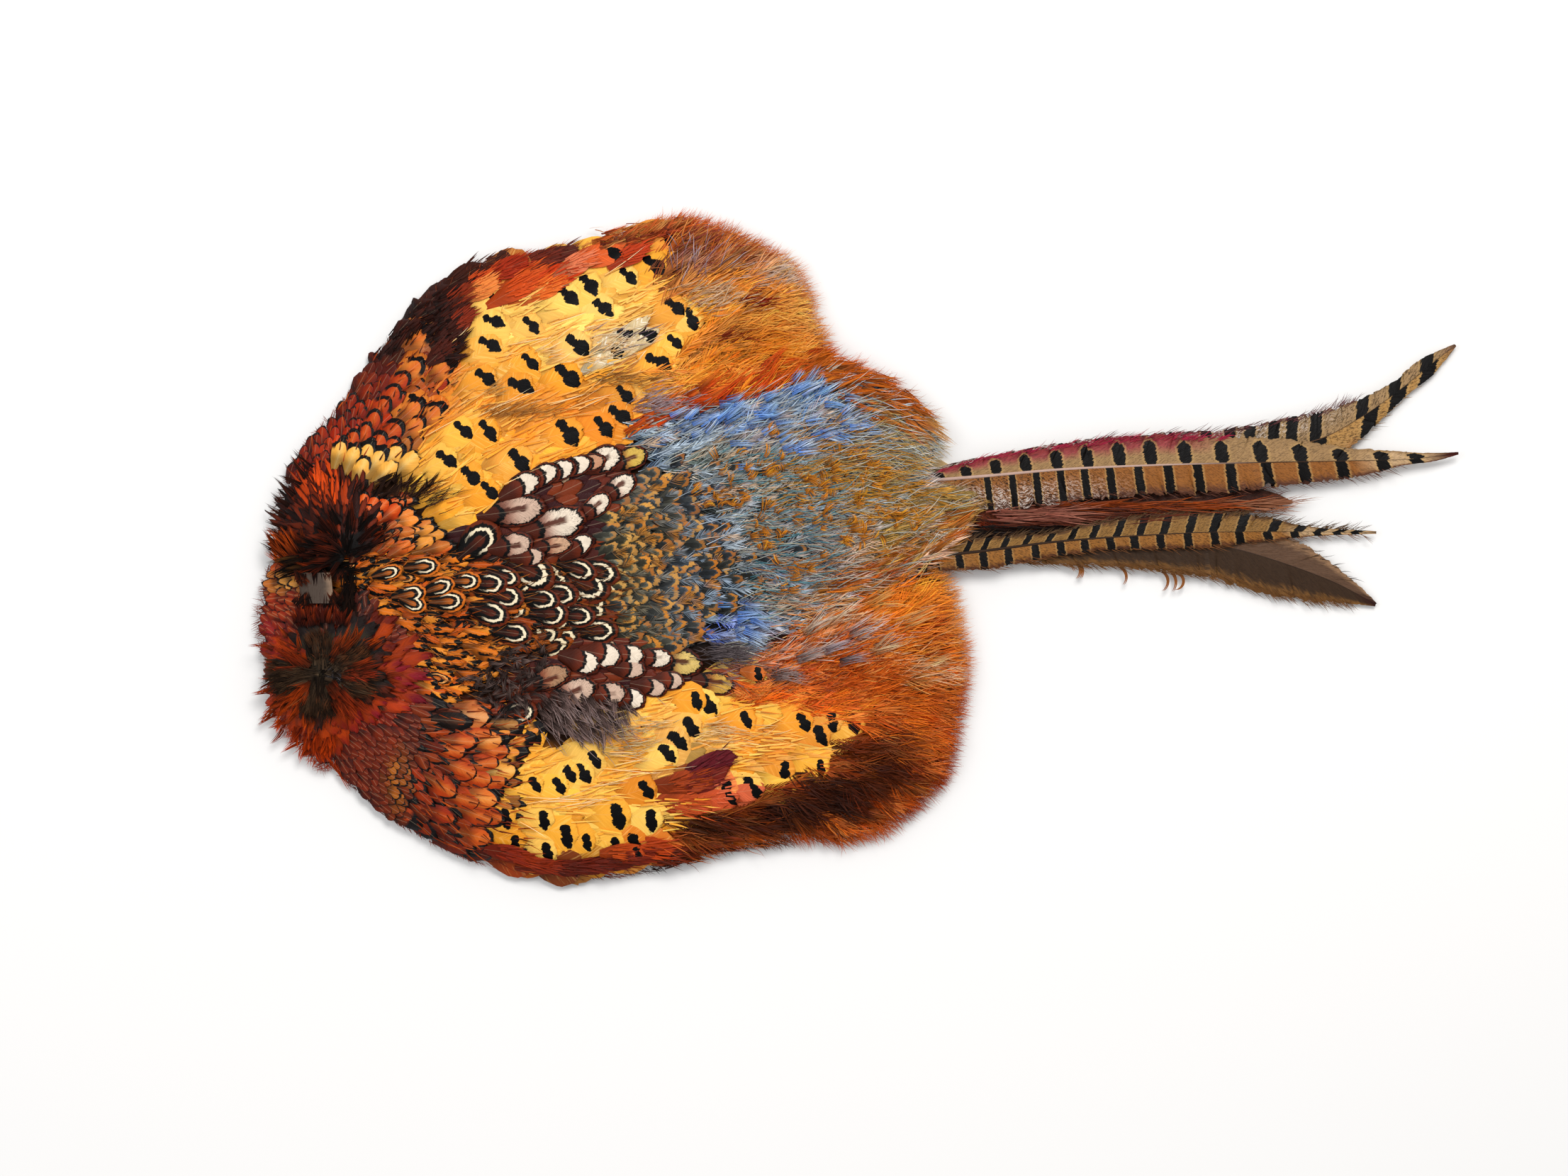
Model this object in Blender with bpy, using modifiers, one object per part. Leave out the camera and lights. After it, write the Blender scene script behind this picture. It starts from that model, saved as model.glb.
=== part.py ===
"""Cock pheasant pelt, lying feather side up on a flat surface.

The dried skin (hide) is a thin flat sheet. The plumage stands on it as one solid for each
feather tract, the tail feathers are single feathers whose quills end under the rump plumage,
and a small bare tab of neck skin stands up between the two neck ruffs.

Plan coordinates are written on a drawing grid: U metres a unit, x towards the tail, y down
the drawing. Heights are in metres above the surface that the pelt lies on. Row frame: +X
towards the tail, +Y towards the upper flank of the drawing, +Z up, origin under the centre
of the overall box.
"""
import math

import bmesh
import bpy

# ---------------------------------------------------------------- driving dimensions
U = 0.000265            # metres in one unit of the drawing grid
CX, CY = 1209.55, 775.70  # drawing point that becomes the origin
HIDE_T = 0.0012         # thickness of the dried skin
GAP = 0.0004            # clearance between touching pieces
PAD_Z0 = HIDE_T + GAP   # underside of the plumage
EDGE_Z = 0.0052         # plumage height at the outline
CROWN_Z = 0.0165        # plumage height well inside the outline
CROWN_D = 0.042         # distance from the outline at which the full height is reached
TAIL_SLOT_Z = 0.0106    # headroom over the quills of the tail
VANE_T = 0.0007         # thickness of a tail feather's vane
QUILL_R = 0.0009        # radius of a tail quill at its base


def plan(x, y):
    return (x - CX) * U, (CY - y) * U


# ---------------------------------------------------------------- outline of the plumage
NECK_LEFT = [(385, 969), (372, 934), (361, 900), (358, 865), (368, 824), (378.5, 800), (392, 793)]
UPPER = [(385, 755), (382, 721), (396, 686), (409.5, 659), (423, 631), (451, 597), (485, 559),
         (516, 517.6), (533.5, 490), (561, 459), (595.5, 417.7), (623, 397), (650.6, 388.8),
         (692, 369.5), (733, 362.6), (788, 347.5), (843.5, 340), (905, 323), (940, 310.5)]
FLUFF_UP = [(965, 308), (988, 312), (1036, 328), (1084.5, 352), (1119, 376.4), (1139.6, 411),
            (1147, 445), (1164, 480), (1170.6, 503.8)]
RUMP_OUT = [(1208.5, 517.6), (1250, 535), (1284, 559), (1312, 583), (1332.5, 615), (1350, 645),
            (1394, 706), (1352, 776), (1318, 807)]
FLUFF_LOW = [(1339, 814), (1353, 865.4), (1363.5, 934), (1356.6, 989), (1349.7, 1037.6),
             (1336, 1092.7), (1298, 1134), (1250, 1172), (1194.7, 1189), (1146.5, 1184),
             (1098, 1192.6), (1029, 1199.5), (974, 1213), (926, 1230.5)]
LOWER = [(871, 1239), (802, 1243), (733, 1233), (664, 1218), (609, 1192.6), (575, 1173.5),
         (554, 1161.6), (519.7, 1134), (492, 1106.5), (475, 1079), (451, 1089), (416, 1051),
         (389, 1020), (382, 996)]
OUTLINE = NECK_LEFT + UPPER + FLUFF_UP + RUMP_OUT + FLUFF_LOW + LOWER

# outline of the skin under it, set back where loose feathers hang past the skin's edge
HIDE = [(398, 800), (402, 745), (424, 665), (464, 606), (500, 565), (545, 500), (600, 440),
        (655, 408), (735, 384), (845, 362), (905, 345), (945, 338), (990, 352), (1035, 385),
        (1066, 430), (1085, 480), (1105, 528), (1180, 552), (1240, 580), (1290, 625),
        (1340, 655), (1352, 700), (1345, 745), (1312, 790), (1270, 838), (1284, 900),
        (1290, 960), (1280, 1030), (1252, 1088), (1200, 1128), (1130, 1150), (1030, 1168),
        (930, 1200), (865, 1214), (800, 1218), (735, 1208), (668, 1193), (612, 1170),
        (562, 1140), (524, 1110), (494, 1078), (455, 1056), (418, 1016), (404, 970),
        (388, 915), (380, 862), (388, 824)]

# the gap between the neck ruffs that the bare tab of skin stands in
NOTCH = [(409, 807), (420, 862), (487, 857), (481, 798)]

TRACTS = {
    "upper_neck_ruff": [(392, 793), (385, 755), (382, 721), (396, 686), (409.5, 659), (432, 640),
                        (480, 655), (540, 668), (600, 684), (650, 731), (643.7, 748), (664, 779),
                        (609, 776), (547, 762), (500, 790), NOTCH[3], NOTCH[0]],
    "lower_neck_ruff": [(378.5, 800), (392, 793)] + NOTCH + [
                        (500, 790), (520, 830), (560, 858), (582, 879), (600, 915), (616, 941),
                        (623, 996), (600, 1010), (560, 1035), (500, 1045), (475, 1079),
                        (451, 1089), (416, 1051), (389, 1020), (382, 996), (385, 969),
                        (372, 934), (361, 900), (358, 865), (368, 824)],
    "throat_feathers": [(475, 1079), (500, 1045), (560, 1035), (600, 1010), (592, 1080),
                        (580, 1130), (575, 1173.5), (554, 1161.6), (519.7, 1134), (492, 1106.5)],
    "upper_breast_feathers": [(409.5, 659), (423, 631), (451, 597), (485, 559), (516, 517.6),
                              (533.5, 490), (561, 459), (595.5, 417.7), (623, 397),
                              (650.6, 388.8), (692, 369.5), (664, 418), (664, 445), (637, 493),
                              (623, 548), (600, 590), (596, 640), (600, 684), (540, 668),
                              (480, 655), (432, 640)],
    "lower_breast_feathers": [(600, 1010), (623, 996), (692, 975.6), (730, 1000), (745, 1040),
                              (735, 1100), (722, 1150), (733, 1233), (664, 1218),
                              (609, 1192.6), (575, 1173.5), (580, 1130), (592, 1080)],
    "mantle_feathers": [(500, 790), (547, 762), (609, 776), (664, 779), (705.7, 783), (733, 790),
                        (802, 793), (857, 790), (871, 803.5), (874, 851.7), (871, 886),
                        (802, 900), (733, 934), (692, 975.6), (623, 996), (616, 941),
                        (600, 915), (582, 879), (560, 858), (520, 830)],
    "upper_scapular_feathers": [(650, 731), (692, 727.7), (705.7, 700), (747, 669), (802, 652),
                                (857, 624.4), (898.6, 617.5), (926, 631), (926, 659),
                                (898.6, 700), (864, 741.5), (857, 790), (802, 793), (733, 790),
                                (705.7, 783), (664, 779), (643.7, 748)],
    "lower_scapular_feathers": [(733, 934), (802, 900), (871, 886), (981, 908), (1009, 924),
                                (1009, 944), (1043, 958), (1036, 979), (1002, 976), (954, 969),
                                (905, 982), (892, 1010), (857, 1066), (800, 1052), (745, 1040),
                                (730, 1000), (692, 975.6)],
    "back_feathers": [(857, 790), (864, 741.5), (898.6, 700), (926, 659), (980, 690), (1030, 740),
                      (1060, 800), (1050, 860), (1020, 900), (1009, 924), (981, 908), (871, 886),
                      (874, 851.7), (871, 803.5)],
    "rump_feathers": [(926, 659), (926, 631), (898.6, 617.5), (905, 595), (940, 572), (1029, 553),
                      (1084, 543), (1133, 523)] + [(1170.6, 503.8)] + RUMP_OUT +
                     [(1270, 824), (1194.7, 851.7), (1139.6, 875.8), (1098, 900), (1050, 924),
                      (1009, 924), (1020, 900), (1050, 860), (1060, 800), (1030, 740),
                      (980, 690)],
    "upper_flank_feathers": [(692, 369.5), (733, 362.6), (788, 347.5), (843.5, 340), (905, 323),
                             (940, 310.5), (950, 340), (945, 370), (945, 418), (991, 462),
                             (954, 507), (955, 540), (940, 572), (905, 595), (898.6, 617.5),
                             (857, 624.4), (802, 652), (747, 669), (705.7, 700), (692, 727.7),
                             (650, 731), (600, 684), (596, 640), (600, 590), (623, 548),
                             (637, 493), (664, 445), (664, 418)],
    "upper_belly_fluff": [(940, 310.5)] + FLUFF_UP + [(1133, 523), (1084, 543), (1029, 553),
                                                      (940, 572), (955, 540), (954, 507),
                                                      (991, 462), (945, 418), (945, 370),
                                                      (950, 340)],
    "lower_flank_feathers": [(745, 1040), (800, 1052), (857, 1066), (892, 1010), (905, 982),
                             (954, 969), (1002, 976), (1036, 979), (1100, 1000), (1180, 1000),
                             (1250, 1000), (1262, 1020), (1200, 1060), (1150, 1095),
                             (1080, 1125), (1000, 1150), (940, 1180), (926, 1230.5),
                             (871, 1239), (802, 1243), (733, 1233), (722, 1150), (735, 1100)],
    "lower_belly_fluff": [(1009, 924), (1050, 924), (1098, 900), (1139.6, 875.8),
                          (1194.7, 851.7), (1270, 824), (1318, 807)] + FLUFF_LOW +
                         [(940, 1180), (1000, 1150), (1080, 1125), (1150, 1095), (1200, 1060),
                          (1262, 1020), (1250, 1000), (1180, 1000), (1100, 1000), (1036, 979),
                          (1043, 958), (1009, 944)],
}

# low swellings of the plumage: (x, y, radius in grid units, extra height in metres)
SWELLS = [(480, 760, 70, 0.0055), (462, 945, 75, 0.0045), (820, 715, 90, 0.0020),
          (880, 940, 90, 0.0018), (1130, 700, 150, 0.0020)]

# Tail feathers: shaft line, upper edge and lower edge, from the base of the vane to the tip, as
# (x, y) on the grid, the height of the shaft at base, middle and tip, and where the quill starts.
TAIL = {
    "tail_feather_top": dict(
        quill=(1262, 688), z=(0.0086, 0.0076, 0.0046),
        shaft=[(1300, 679), (1395, 671), (1499, 662), (1604, 657), (1700, 654), (1800, 652),
               (1900, 650), (1981, 648), (2024, 644), (2060, 639)],
        upper=[(1306, 670), (1395, 643), (1499, 626), (1604, 613), (1700, 613), (1800, 616),
               (1900, 629), (1981, 636), (2024, 638), (2060, 637)],
        lower=[(1306, 688), (1395, 722), (1499, 713), (1604, 702), (1700, 700), (1800, 689),
               (1900, 677), (1981, 657), (2024, 651), (2060, 641)]),
    "tail_feather_upcurved": dict(
        quill=(1262, 676), z=(0.0060, 0.0052, 0.0022),
        shaft=[(1300, 668), (1400, 656), (1510, 647), (1620, 641), (1720, 637), (1800, 631),
               (1863, 619), (1922, 588), (1975, 551), (2018, 516), (2057, 485)],
        upper=[(1306, 662), (1400, 640), (1510, 621), (1620, 610), (1720, 604), (1800, 590),
               (1855, 579), (1903, 566), (1962, 540), (2008, 504), (2055, 484)],
        lower=[(1306, 674), (1400, 672), (1510, 673), (1620, 672), (1720, 670), (1800, 668),
               (1875, 654), (1937, 608), (1984, 561), (2026, 527), (2058, 487)]),
    "tail_feather_rufous": dict(
        quill=(1266, 712), z=(0.0048, 0.0040, 0.0020),
        shaft=[(1304, 712), (1400, 713), (1500, 711), (1600, 708), (1700, 706), (1780, 706),
               (1826, 708)],
        upper=[(1310, 706), (1400, 690), (1500, 684), (1600, 682), (1700, 682), (1780, 688),
               (1826, 706)],
        lower=[(1310, 718), (1400, 744), (1500, 738), (1600, 728), (1700, 722), (1780, 718),
               (1826, 710)]),
    "tail_feather_dark": dict(
        quill=(1266, 746), z=(0.0028, 0.0020, 0.0010),
        shaft=[(1304, 746), (1380, 746), (1460, 745), (1540, 742), (1600, 738)],
        upper=[(1310, 740), (1380, 730), (1460, 728), (1540, 730), (1600, 737)],
        lower=[(1310, 752), (1380, 764), (1460, 764), (1540, 756), (1600, 739)]),
    "tail_feather_barred": dict(
        quill=(1262, 788), z=(0.0082, 0.0072, 0.0040),
        shaft=[(1311, 785), (1389, 777), (1473, 766), (1538, 760), (1617, 755), (1698, 751),
               (1770, 750), (1850, 750), (1944, 751)],
        upper=[(1316, 772), (1389, 757), (1473, 752), (1538, 738), (1617, 725), (1698, 719),
               (1770, 724), (1850, 742), (1944, 749)],
        lower=[(1316, 806), (1389, 805), (1473, 789), (1538, 779), (1617, 776), (1698, 774),
               (1770, 766), (1850, 757), (1944, 753)]),
    "tail_feather_grey": dict(
        quill=(1266, 772), z=(0.0054, 0.0044, 0.0018),
        shaft=[(1311, 768), (1400, 770), (1500, 768), (1600, 766), (1680, 766), (1734, 772),
               (1790, 787), (1846, 806), (1895, 826), (1944, 853)],
        upper=[(1316, 762), (1400, 757), (1500, 747), (1600, 741), (1680, 740), (1750, 744),
               (1835, 762), (1878, 790), (1922, 826), (1946, 851)],
        lower=[(1316, 776), (1400, 790), (1500, 798), (1600, 804), (1680, 814), (1720, 822),
               (1788, 840), (1846, 851), (1900, 852), (1943, 856)]),
}


# ---------------------------------------------------------------- helpers
def distance_inside(x, y, ring):
    """Distance from a point to a closed ring, positive inside it."""
    best, inside = 1e9, False
    for i in range(len(ring)):
        ax, ay = ring[i - 1]
        bx, by = ring[i]
        t = ((x - ax) * (bx - ax) + (y - ay) * (by - ay)) / ((bx - ax) ** 2 + (by - ay) ** 2)
        t = max(0.0, min(1.0, t))
        best = min(best, math.hypot(x - ax - t * (bx - ax), y - ay - t * (by - ay)))
        if (ay > y) != (by > y) and x < ax + (y - ay) * (bx - ax) / (by - ay):
            inside = not inside
    return best if inside else -best


RING = [plan(*p) for p in OUTLINE]


def crown(x, y):
    """Height of the plumage's surface over a point of the row frame."""
    d = max(0.0, distance_inside(x, y, RING))
    t = min(1.0, d / CROWN_D)
    z = EDGE_Z + (CROWN_Z - EDGE_Z) * (1 - (1 - t) ** 2)
    for sx, sy, r, h in SWELLS:
        px, py = plan(sx, sy)
        z += h * math.exp(-((x - px) ** 2 + (y - py) ** 2) / (r * U) ** 2)
    return z


def inset(ring, by):
    """The ring moved inwards by a small distance, mitred at its corners."""
    area = sum(ring[i - 1][0] * ring[i][1] - ring[i][0] * ring[i - 1][1] for i in range(len(ring)))
    side = 1 if area > 0 else -1
    made = []
    for i in range(len(ring)):
        p, q, r = ring[i - 1], ring[i], ring[(i + 1) % len(ring)]
        a, b = math.hypot(q[0] - p[0], q[1] - p[1]), math.hypot(r[0] - q[0], r[1] - q[1])
        n1 = (-(q[1] - p[1]) / a * side, (q[0] - p[0]) / a * side)
        n2 = (-(r[1] - q[1]) / b * side, (r[0] - q[0]) / b * side)
        k = max(0.25, 1 + n1[0] * n2[0] + n1[1] * n2[1])
        made.append((q[0] + (n1[0] + n2[0]) / k * by, q[1] + (n1[1] + n2[1]) / k * by))
    return made


def material(name, colour, roughness=0.7):
    m = bpy.data.materials.new(name)
    m.use_nodes = True
    b = m.node_tree.nodes["Principled BSDF"]
    b.inputs["Base Color"].default_value = (*colour, 1)
    b.inputs["Roughness"].default_value = roughness
    b.inputs["Metallic"].default_value = 0.0
    m.diffuse_color = (*colour, 1)
    return m


for old in list(bpy.data.objects):
    bpy.data.objects.remove(old)
pelt = bpy.data.collections.new("pheasant_pelt")
cutters = bpy.data.collections.new("pheasant_pelt_cutters")
for c in (pelt, cutters):
    bpy.context.scene.collection.children.link(c)
cutters.hide_render = True


def place(name, mesh, to, mat=None):
    obj = bpy.data.objects.new(name, mesh)
    to.objects.link(obj)
    if mat:
        mesh.materials.clear()
        mesh.materials.append(mat)
    if to is cutters:
        obj.hide_render = True
        obj.display_type = "WIRE"
    return obj


def slab(name, ring, z0, z1):
    """A flat outline as a filled 2D curve, given its thickness, and made a mesh."""
    curve = bpy.data.curves.new(name, "CURVE")
    curve.dimensions, curve.fill_mode, curve.extrude = "2D", "BOTH", (z1 - z0) / 2
    spline = curve.splines.new("POLY")
    spline.points.add(len(ring) - 1)
    for point, (x, y) in zip(spline.points, ring):
        point.co = (x, y, 0, 1)
    spline.use_cyclic_u = True
    guide = bpy.data.objects.new(name + "_outline", curve)
    bpy.context.scene.collection.objects.link(guide)
    guide.location.z = (z0 + z1) / 2
    bpy.context.view_layer.update()
    mesh = bpy.data.meshes.new_from_object(guide.evaluated_get(bpy.context.evaluated_depsgraph_get()))
    mesh.transform(guide.matrix_world)
    bpy.data.objects.remove(guide)
    bm = bmesh.new()
    bm.from_mesh(mesh)
    bmesh.ops.remove_doubles(bm, verts=bm.verts, dist=1e-6)
    bmesh.ops.recalc_face_normals(bm, faces=bm.faces)
    bm.to_mesh(mesh)
    bm.free()
    mesh.name = name
    return mesh


def boolean(obj, other, operation):
    m = obj.modifiers.new(operation.lower(), "BOOLEAN")
    m.operation, m.solver, m.object = operation, "EXACT", other


def smooth(curve_points, n):
    """n points along a Catmull-Rom curve through the given ones, evenly spaced in parameter."""
    p = [curve_points[0]] + list(curve_points) + [curve_points[-1]]
    spans = len(curve_points) - 1
    made = []
    for k in range(n):
        s = k / (n - 1) * spans
        i = min(int(s), spans - 1)
        t = s - i
        a, b, c, d = p[i], p[i + 1], p[i + 2], p[i + 3]
        made.append(tuple(0.5 * (2 * b[j] + (c[j] - a[j]) * t + (2 * a[j] - 5 * b[j] + 4 * c[j] - d[j]) * t * t
                                 + (3 * b[j] - a[j] - 3 * c[j] + d[j]) * t ** 3) for j in range(len(b))))
    return made


# ---------------------------------------------------------------- the skin
hide_ring = [plan(*p) for p in HIDE]
place("hide", slab("hide", hide_ring, 0.0, HIDE_T), pelt, material("dried_skin", (0.62, 0.45, 0.26), 0.62))

# ---------------------------------------------------------------- the plumage's common crown
nx, ny = 32, 29
bm = bmesh.new()
bmesh.ops.create_grid(bm, x_segments=nx, y_segments=ny, size=0.5)
x0, y0 = plan(340, 1262)
x1, y1 = plan(1412, 292)
for v in bm.verts:
    v.co.x, v.co.y = x0 + (v.co.x + 0.5) * (x1 - x0), y0 + (v.co.y + 0.5) * (y1 - y0)
    v.co.z = crown(v.co.x, v.co.y)
under = bmesh.ops.extrude_face_region(bm, geom=bm.faces[:])
for v in under["geom"]:
    if isinstance(v, bmesh.types.BMVert):
        v.co.z = -0.004
bmesh.ops.recalc_face_normals(bm, faces=bm.faces)
crown_mesh = bpy.data.meshes.new("crown")
bm.to_mesh(crown_mesh)
bm.free()
crown_cutter = place("crown_cutter", crown_mesh, cutters)

# room under the rump for the quills and the bases of the tail's vanes
slot_ring = [plan(1240, 820), plan(1420, 828), plan(1420, 632), plan(1240, 652)]
slot_cutter = place("tail_slot_cutter", slab("tail_slot_cutter", slot_ring, -0.01, TAIL_SLOT_Z), cutters)

COLOURS = {
    "upper_neck_ruff": (0.12, 0.03, 0.01), "lower_neck_ruff": (0.20, 0.04, 0.02),
    "throat_feathers": (0.13, 0.02, 0.01), "upper_breast_feathers": (0.36, 0.08, 0.02),
    "lower_breast_feathers": (0.40, 0.10, 0.03), "mantle_feathers": (0.45, 0.18, 0.05),
    "upper_scapular_feathers": (0.15, 0.05, 0.03), "lower_scapular_feathers": (0.15, 0.06, 0.04),
    "back_feathers": (0.12, 0.10, 0.06), "rump_feathers": (0.25, 0.32, 0.36),
    "upper_flank_feathers": (0.75, 0.42, 0.10), "upper_belly_fluff": (0.55, 0.24, 0.06),
    "lower_flank_feathers": (0.72, 0.38, 0.09), "lower_belly_fluff": (0.42, 0.16, 0.04),
}
for name, ring in TRACTS.items():
    ring = inset([plan(*p) for p in ring], GAP / 2)
    obj = place(name, slab(name, ring, PAD_Z0, 0.04), pelt, material(name + "_mat", COLOURS[name]))
    boolean(obj, crown_cutter, "INTERSECT")
    if name in ("rump_feathers", "lower_belly_fluff"):
        boolean(obj, slot_cutter, "DIFFERENCE")

# ---------------------------------------------------------------- the bare tab of neck skin
# A strap that rises from the skin and bends over at its top: its side view, along x, is a line
# that is given width and then thickness.
tab = [(424, PAD_Z0 + 0.0001), (423, 0.0070), (423, 0.0125), (426, 0.0168), (434, 0.0188), (447, 0.0196),
       (460, 0.0198), (470, 0.0194)]
tab_line = smooth([(x, z * 1e5) for x, z in tab], 14)
bm = bmesh.new()
line = [bm.verts.new(((x - CX) * U, (CY - 851) * U, z / 1e5)) for x, z in tab_line]
edges = [bm.edges.new(pair) for pair in zip(line, line[1:])]
wide = bmesh.ops.extrude_edge_only(bm, edges=edges)
bmesh.ops.translate(bm, vec=(0, 43 * U, 0), verts=[g for g in wide["geom"] if isinstance(g, bmesh.types.BMVert)])
for v in bm.verts:  # its sides run with the gap between the ruffs
    v.co.x += 0.10 * ((CY - 851) * U - v.co.y) + 0.0012
bmesh.ops.recalc_face_normals(bm, faces=bm.faces)
tab_mesh = bpy.data.meshes.new("neck_skin_tab")
bm.to_mesh(tab_mesh)
bm.free()
tab_obj = place("neck_skin_tab", tab_mesh, pelt, material("neck_skin", (0.42, 0.36, 0.30), 0.5))
thick = tab_obj.modifiers.new("thickness", "SOLIDIFY")
thick.thickness, thick.offset = 0.0009, 0.0

# ---------------------------------------------------------------- the tail feathers
TAIL_COLOURS = {
    "tail_feather_top": (0.36, 0.24, 0.11), "tail_feather_upcurved": (0.38, 0.26, 0.13),
    "tail_feather_rufous": (0.22, 0.07, 0.03), "tail_feather_dark": (0.05, 0.03, 0.02),
    "tail_feather_barred": (0.33, 0.20, 0.09), "tail_feather_grey": (0.10, 0.07, 0.05),
}
ROWS = 22
for name, f in TAIL.items():
    shaft, upper, lower = (smooth(f[k], ROWS) for k in ("shaft", "upper", "lower"))
    z_base, z_mid, z_tip = f["z"]
    bm = bmesh.new()
    bmesh.ops.create_grid(bm, x_segments=ROWS - 1, y_segments=4, size=0.5)
    for v in bm.verts:
        i, side = round((v.co.x + 0.5) * (ROWS - 1)), v.co.y * 2   # side runs from -1 to 1
        edge = upper[i] if side > 0 else lower[i]
        x = shaft[i][0] + (edge[0] - shaft[i][0]) * abs(side)
        y = shaft[i][1] + (edge[1] - shaft[i][1]) * abs(side)
        t = i / (ROWS - 1)
        z = z_base * (1 - t) * (1 - 2 * t) + z_mid * 4 * t * (1 - t) + z_tip * t * (2 * t - 1)
        wide = math.hypot(edge[0] - shaft[i][0], edge[1] - shaft[i][1]) * U
        v.co.x, v.co.y = plan(x, y)
        v.co.z = z - 0.05 * wide * side * side
    bmesh.ops.recalc_face_normals(bm, faces=bm.faces)
    mesh = bpy.data.meshes.new(name)
    bm.to_mesh(mesh)
    bm.free()
    vane = place(name, mesh, pelt, material(name + "_mat", TAIL_COLOURS[name], 0.45))
    sheet = vane.modifiers.new("vane", "SOLIDIFY")
    sheet.thickness, sheet.offset = VANE_T, 0.0
    # the shaft: thick where it is a bare quill, fine at the tip
    line = [(*f["quill"], z_base / U)]
    for i in range(ROWS - 1):
        t = i / (ROWS - 1)
        z = z_base * (1 - t) * (1 - 2 * t) + z_mid * 4 * t * (1 - t) + z_tip * t * (2 * t - 1)
        line.append((*shaft[i], z / U))
    curve = bpy.data.curves.new(name + "_shaft", "CURVE")
    curve.dimensions, curve.bevel_depth, curve.bevel_resolution, curve.use_fill_caps = "3D", 1.0, 1, True
    spline = curve.splines.new("POLY")
    spline.points.add(len(line) - 1)
    for k, (point, (x, y, z)) in enumerate(zip(spline.points, line)):
        point.co = (*plan(x, y), z * U, 1)
        point.radius = QUILL_R * (1 - 0.62 * k / (len(line) - 1))
    guide = bpy.data.objects.new(name + "_shaft", curve)
    bpy.context.scene.collection.objects.link(guide)
    bpy.context.view_layer.update()
    shaft_mesh = bpy.data.meshes.new_from_object(guide.evaluated_get(bpy.context.evaluated_depsgraph_get()))
    shaft_mesh.transform(guide.matrix_world)
    bpy.data.objects.remove(guide)
    bm = bmesh.new()
    bm.from_mesh(shaft_mesh)
    bmesh.ops.remove_doubles(bm, verts=bm.verts, dist=1e-6)
    bmesh.ops.recalc_face_normals(bm, faces=bm.faces)
    bm.to_mesh(shaft_mesh)
    bm.free()
    boolean(vane, place(name + "_shaft_body", shaft_mesh, cutters), "UNION")
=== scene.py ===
"""Looks of the dried cock pheasant pelt: feathers as vanes, loose plumage as single barbs.

Plan coordinates are on the drawing grid of the part: U metres a unit, x towards the tail and
y down the drawing. Heights are metres above the surface that the pelt lies on. Directions are
degrees, 0 towards the tail, counted towards the upper flank of the drawing.
"""
import bpy
import math
import numpy as np
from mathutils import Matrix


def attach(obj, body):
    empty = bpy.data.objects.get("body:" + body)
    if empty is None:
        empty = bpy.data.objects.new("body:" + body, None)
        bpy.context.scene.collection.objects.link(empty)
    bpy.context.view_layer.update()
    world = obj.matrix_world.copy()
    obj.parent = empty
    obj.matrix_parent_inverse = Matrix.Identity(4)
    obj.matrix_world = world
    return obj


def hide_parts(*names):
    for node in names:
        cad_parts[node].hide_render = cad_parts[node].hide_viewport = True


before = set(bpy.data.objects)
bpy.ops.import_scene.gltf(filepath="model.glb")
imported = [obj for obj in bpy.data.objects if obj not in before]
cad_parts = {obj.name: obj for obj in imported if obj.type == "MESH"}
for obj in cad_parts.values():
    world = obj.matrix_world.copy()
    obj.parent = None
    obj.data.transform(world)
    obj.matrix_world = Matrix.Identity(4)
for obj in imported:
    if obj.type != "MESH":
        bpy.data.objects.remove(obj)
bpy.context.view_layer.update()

U = 0.000265
CX, CY = 1209.55, 775.70
rng = np.random.default_rng(20)


def lin(*c):
    """sRGB 0..255 to linear."""
    c = np.asarray(c if len(c) > 1 else c[0], float) / 255
    if c.ndim:
        c = np.clip(c.mean(-1, keepdims=True) * -0.08 + c * 1.08, 0, 1)
    return np.where(c <= 0.04045, c / 12.92, ((c + 0.055) / 1.055) ** 2.4)


# ================================================================ the plumage's surface
OUTLINE = np.array([
    (385, 969), (372, 934), (361, 900), (358, 865), (368, 824), (378.5, 800), (392, 793),
    (385, 755), (382, 721), (396, 686), (409.5, 659), (423, 631), (451, 597), (485, 559),
    (516, 517.6), (533.5, 490), (561, 459), (595.5, 417.7), (623, 397), (650.6, 388.8),
    (692, 369.5), (733, 362.6), (788, 347.5), (843.5, 340), (905, 323), (940, 310.5),
    (965, 308), (988, 312), (1036, 328), (1084.5, 352), (1119, 376.4), (1139.6, 411),
    (1147, 445), (1164, 480), (1170.6, 503.8), (1208.5, 517.6), (1250, 535), (1284, 559),
    (1312, 583), (1330, 612), (1334, 634), (1318, 654), (1308, 674), (1350, 690), (1394, 706), (1352, 776), (1318, 807),
    (1339, 814), (1353, 865.4), (1363.5, 934), (1356.6, 989), (1349.7, 1037.6),
    (1336, 1092.7), (1298, 1134), (1250, 1172), (1194.7, 1189), (1146.5, 1184),
    (1098, 1192.6), (1029, 1199.5), (974, 1213), (926, 1230.5), (871, 1239), (802, 1243),
    (733, 1233), (664, 1218), (609, 1192.6), (575, 1173.5), (554, 1161.6), (519.7, 1134),
    (492, 1106.5), (475, 1079), (451, 1089), (416, 1051), (389, 1020), (382, 996)], float)


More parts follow.
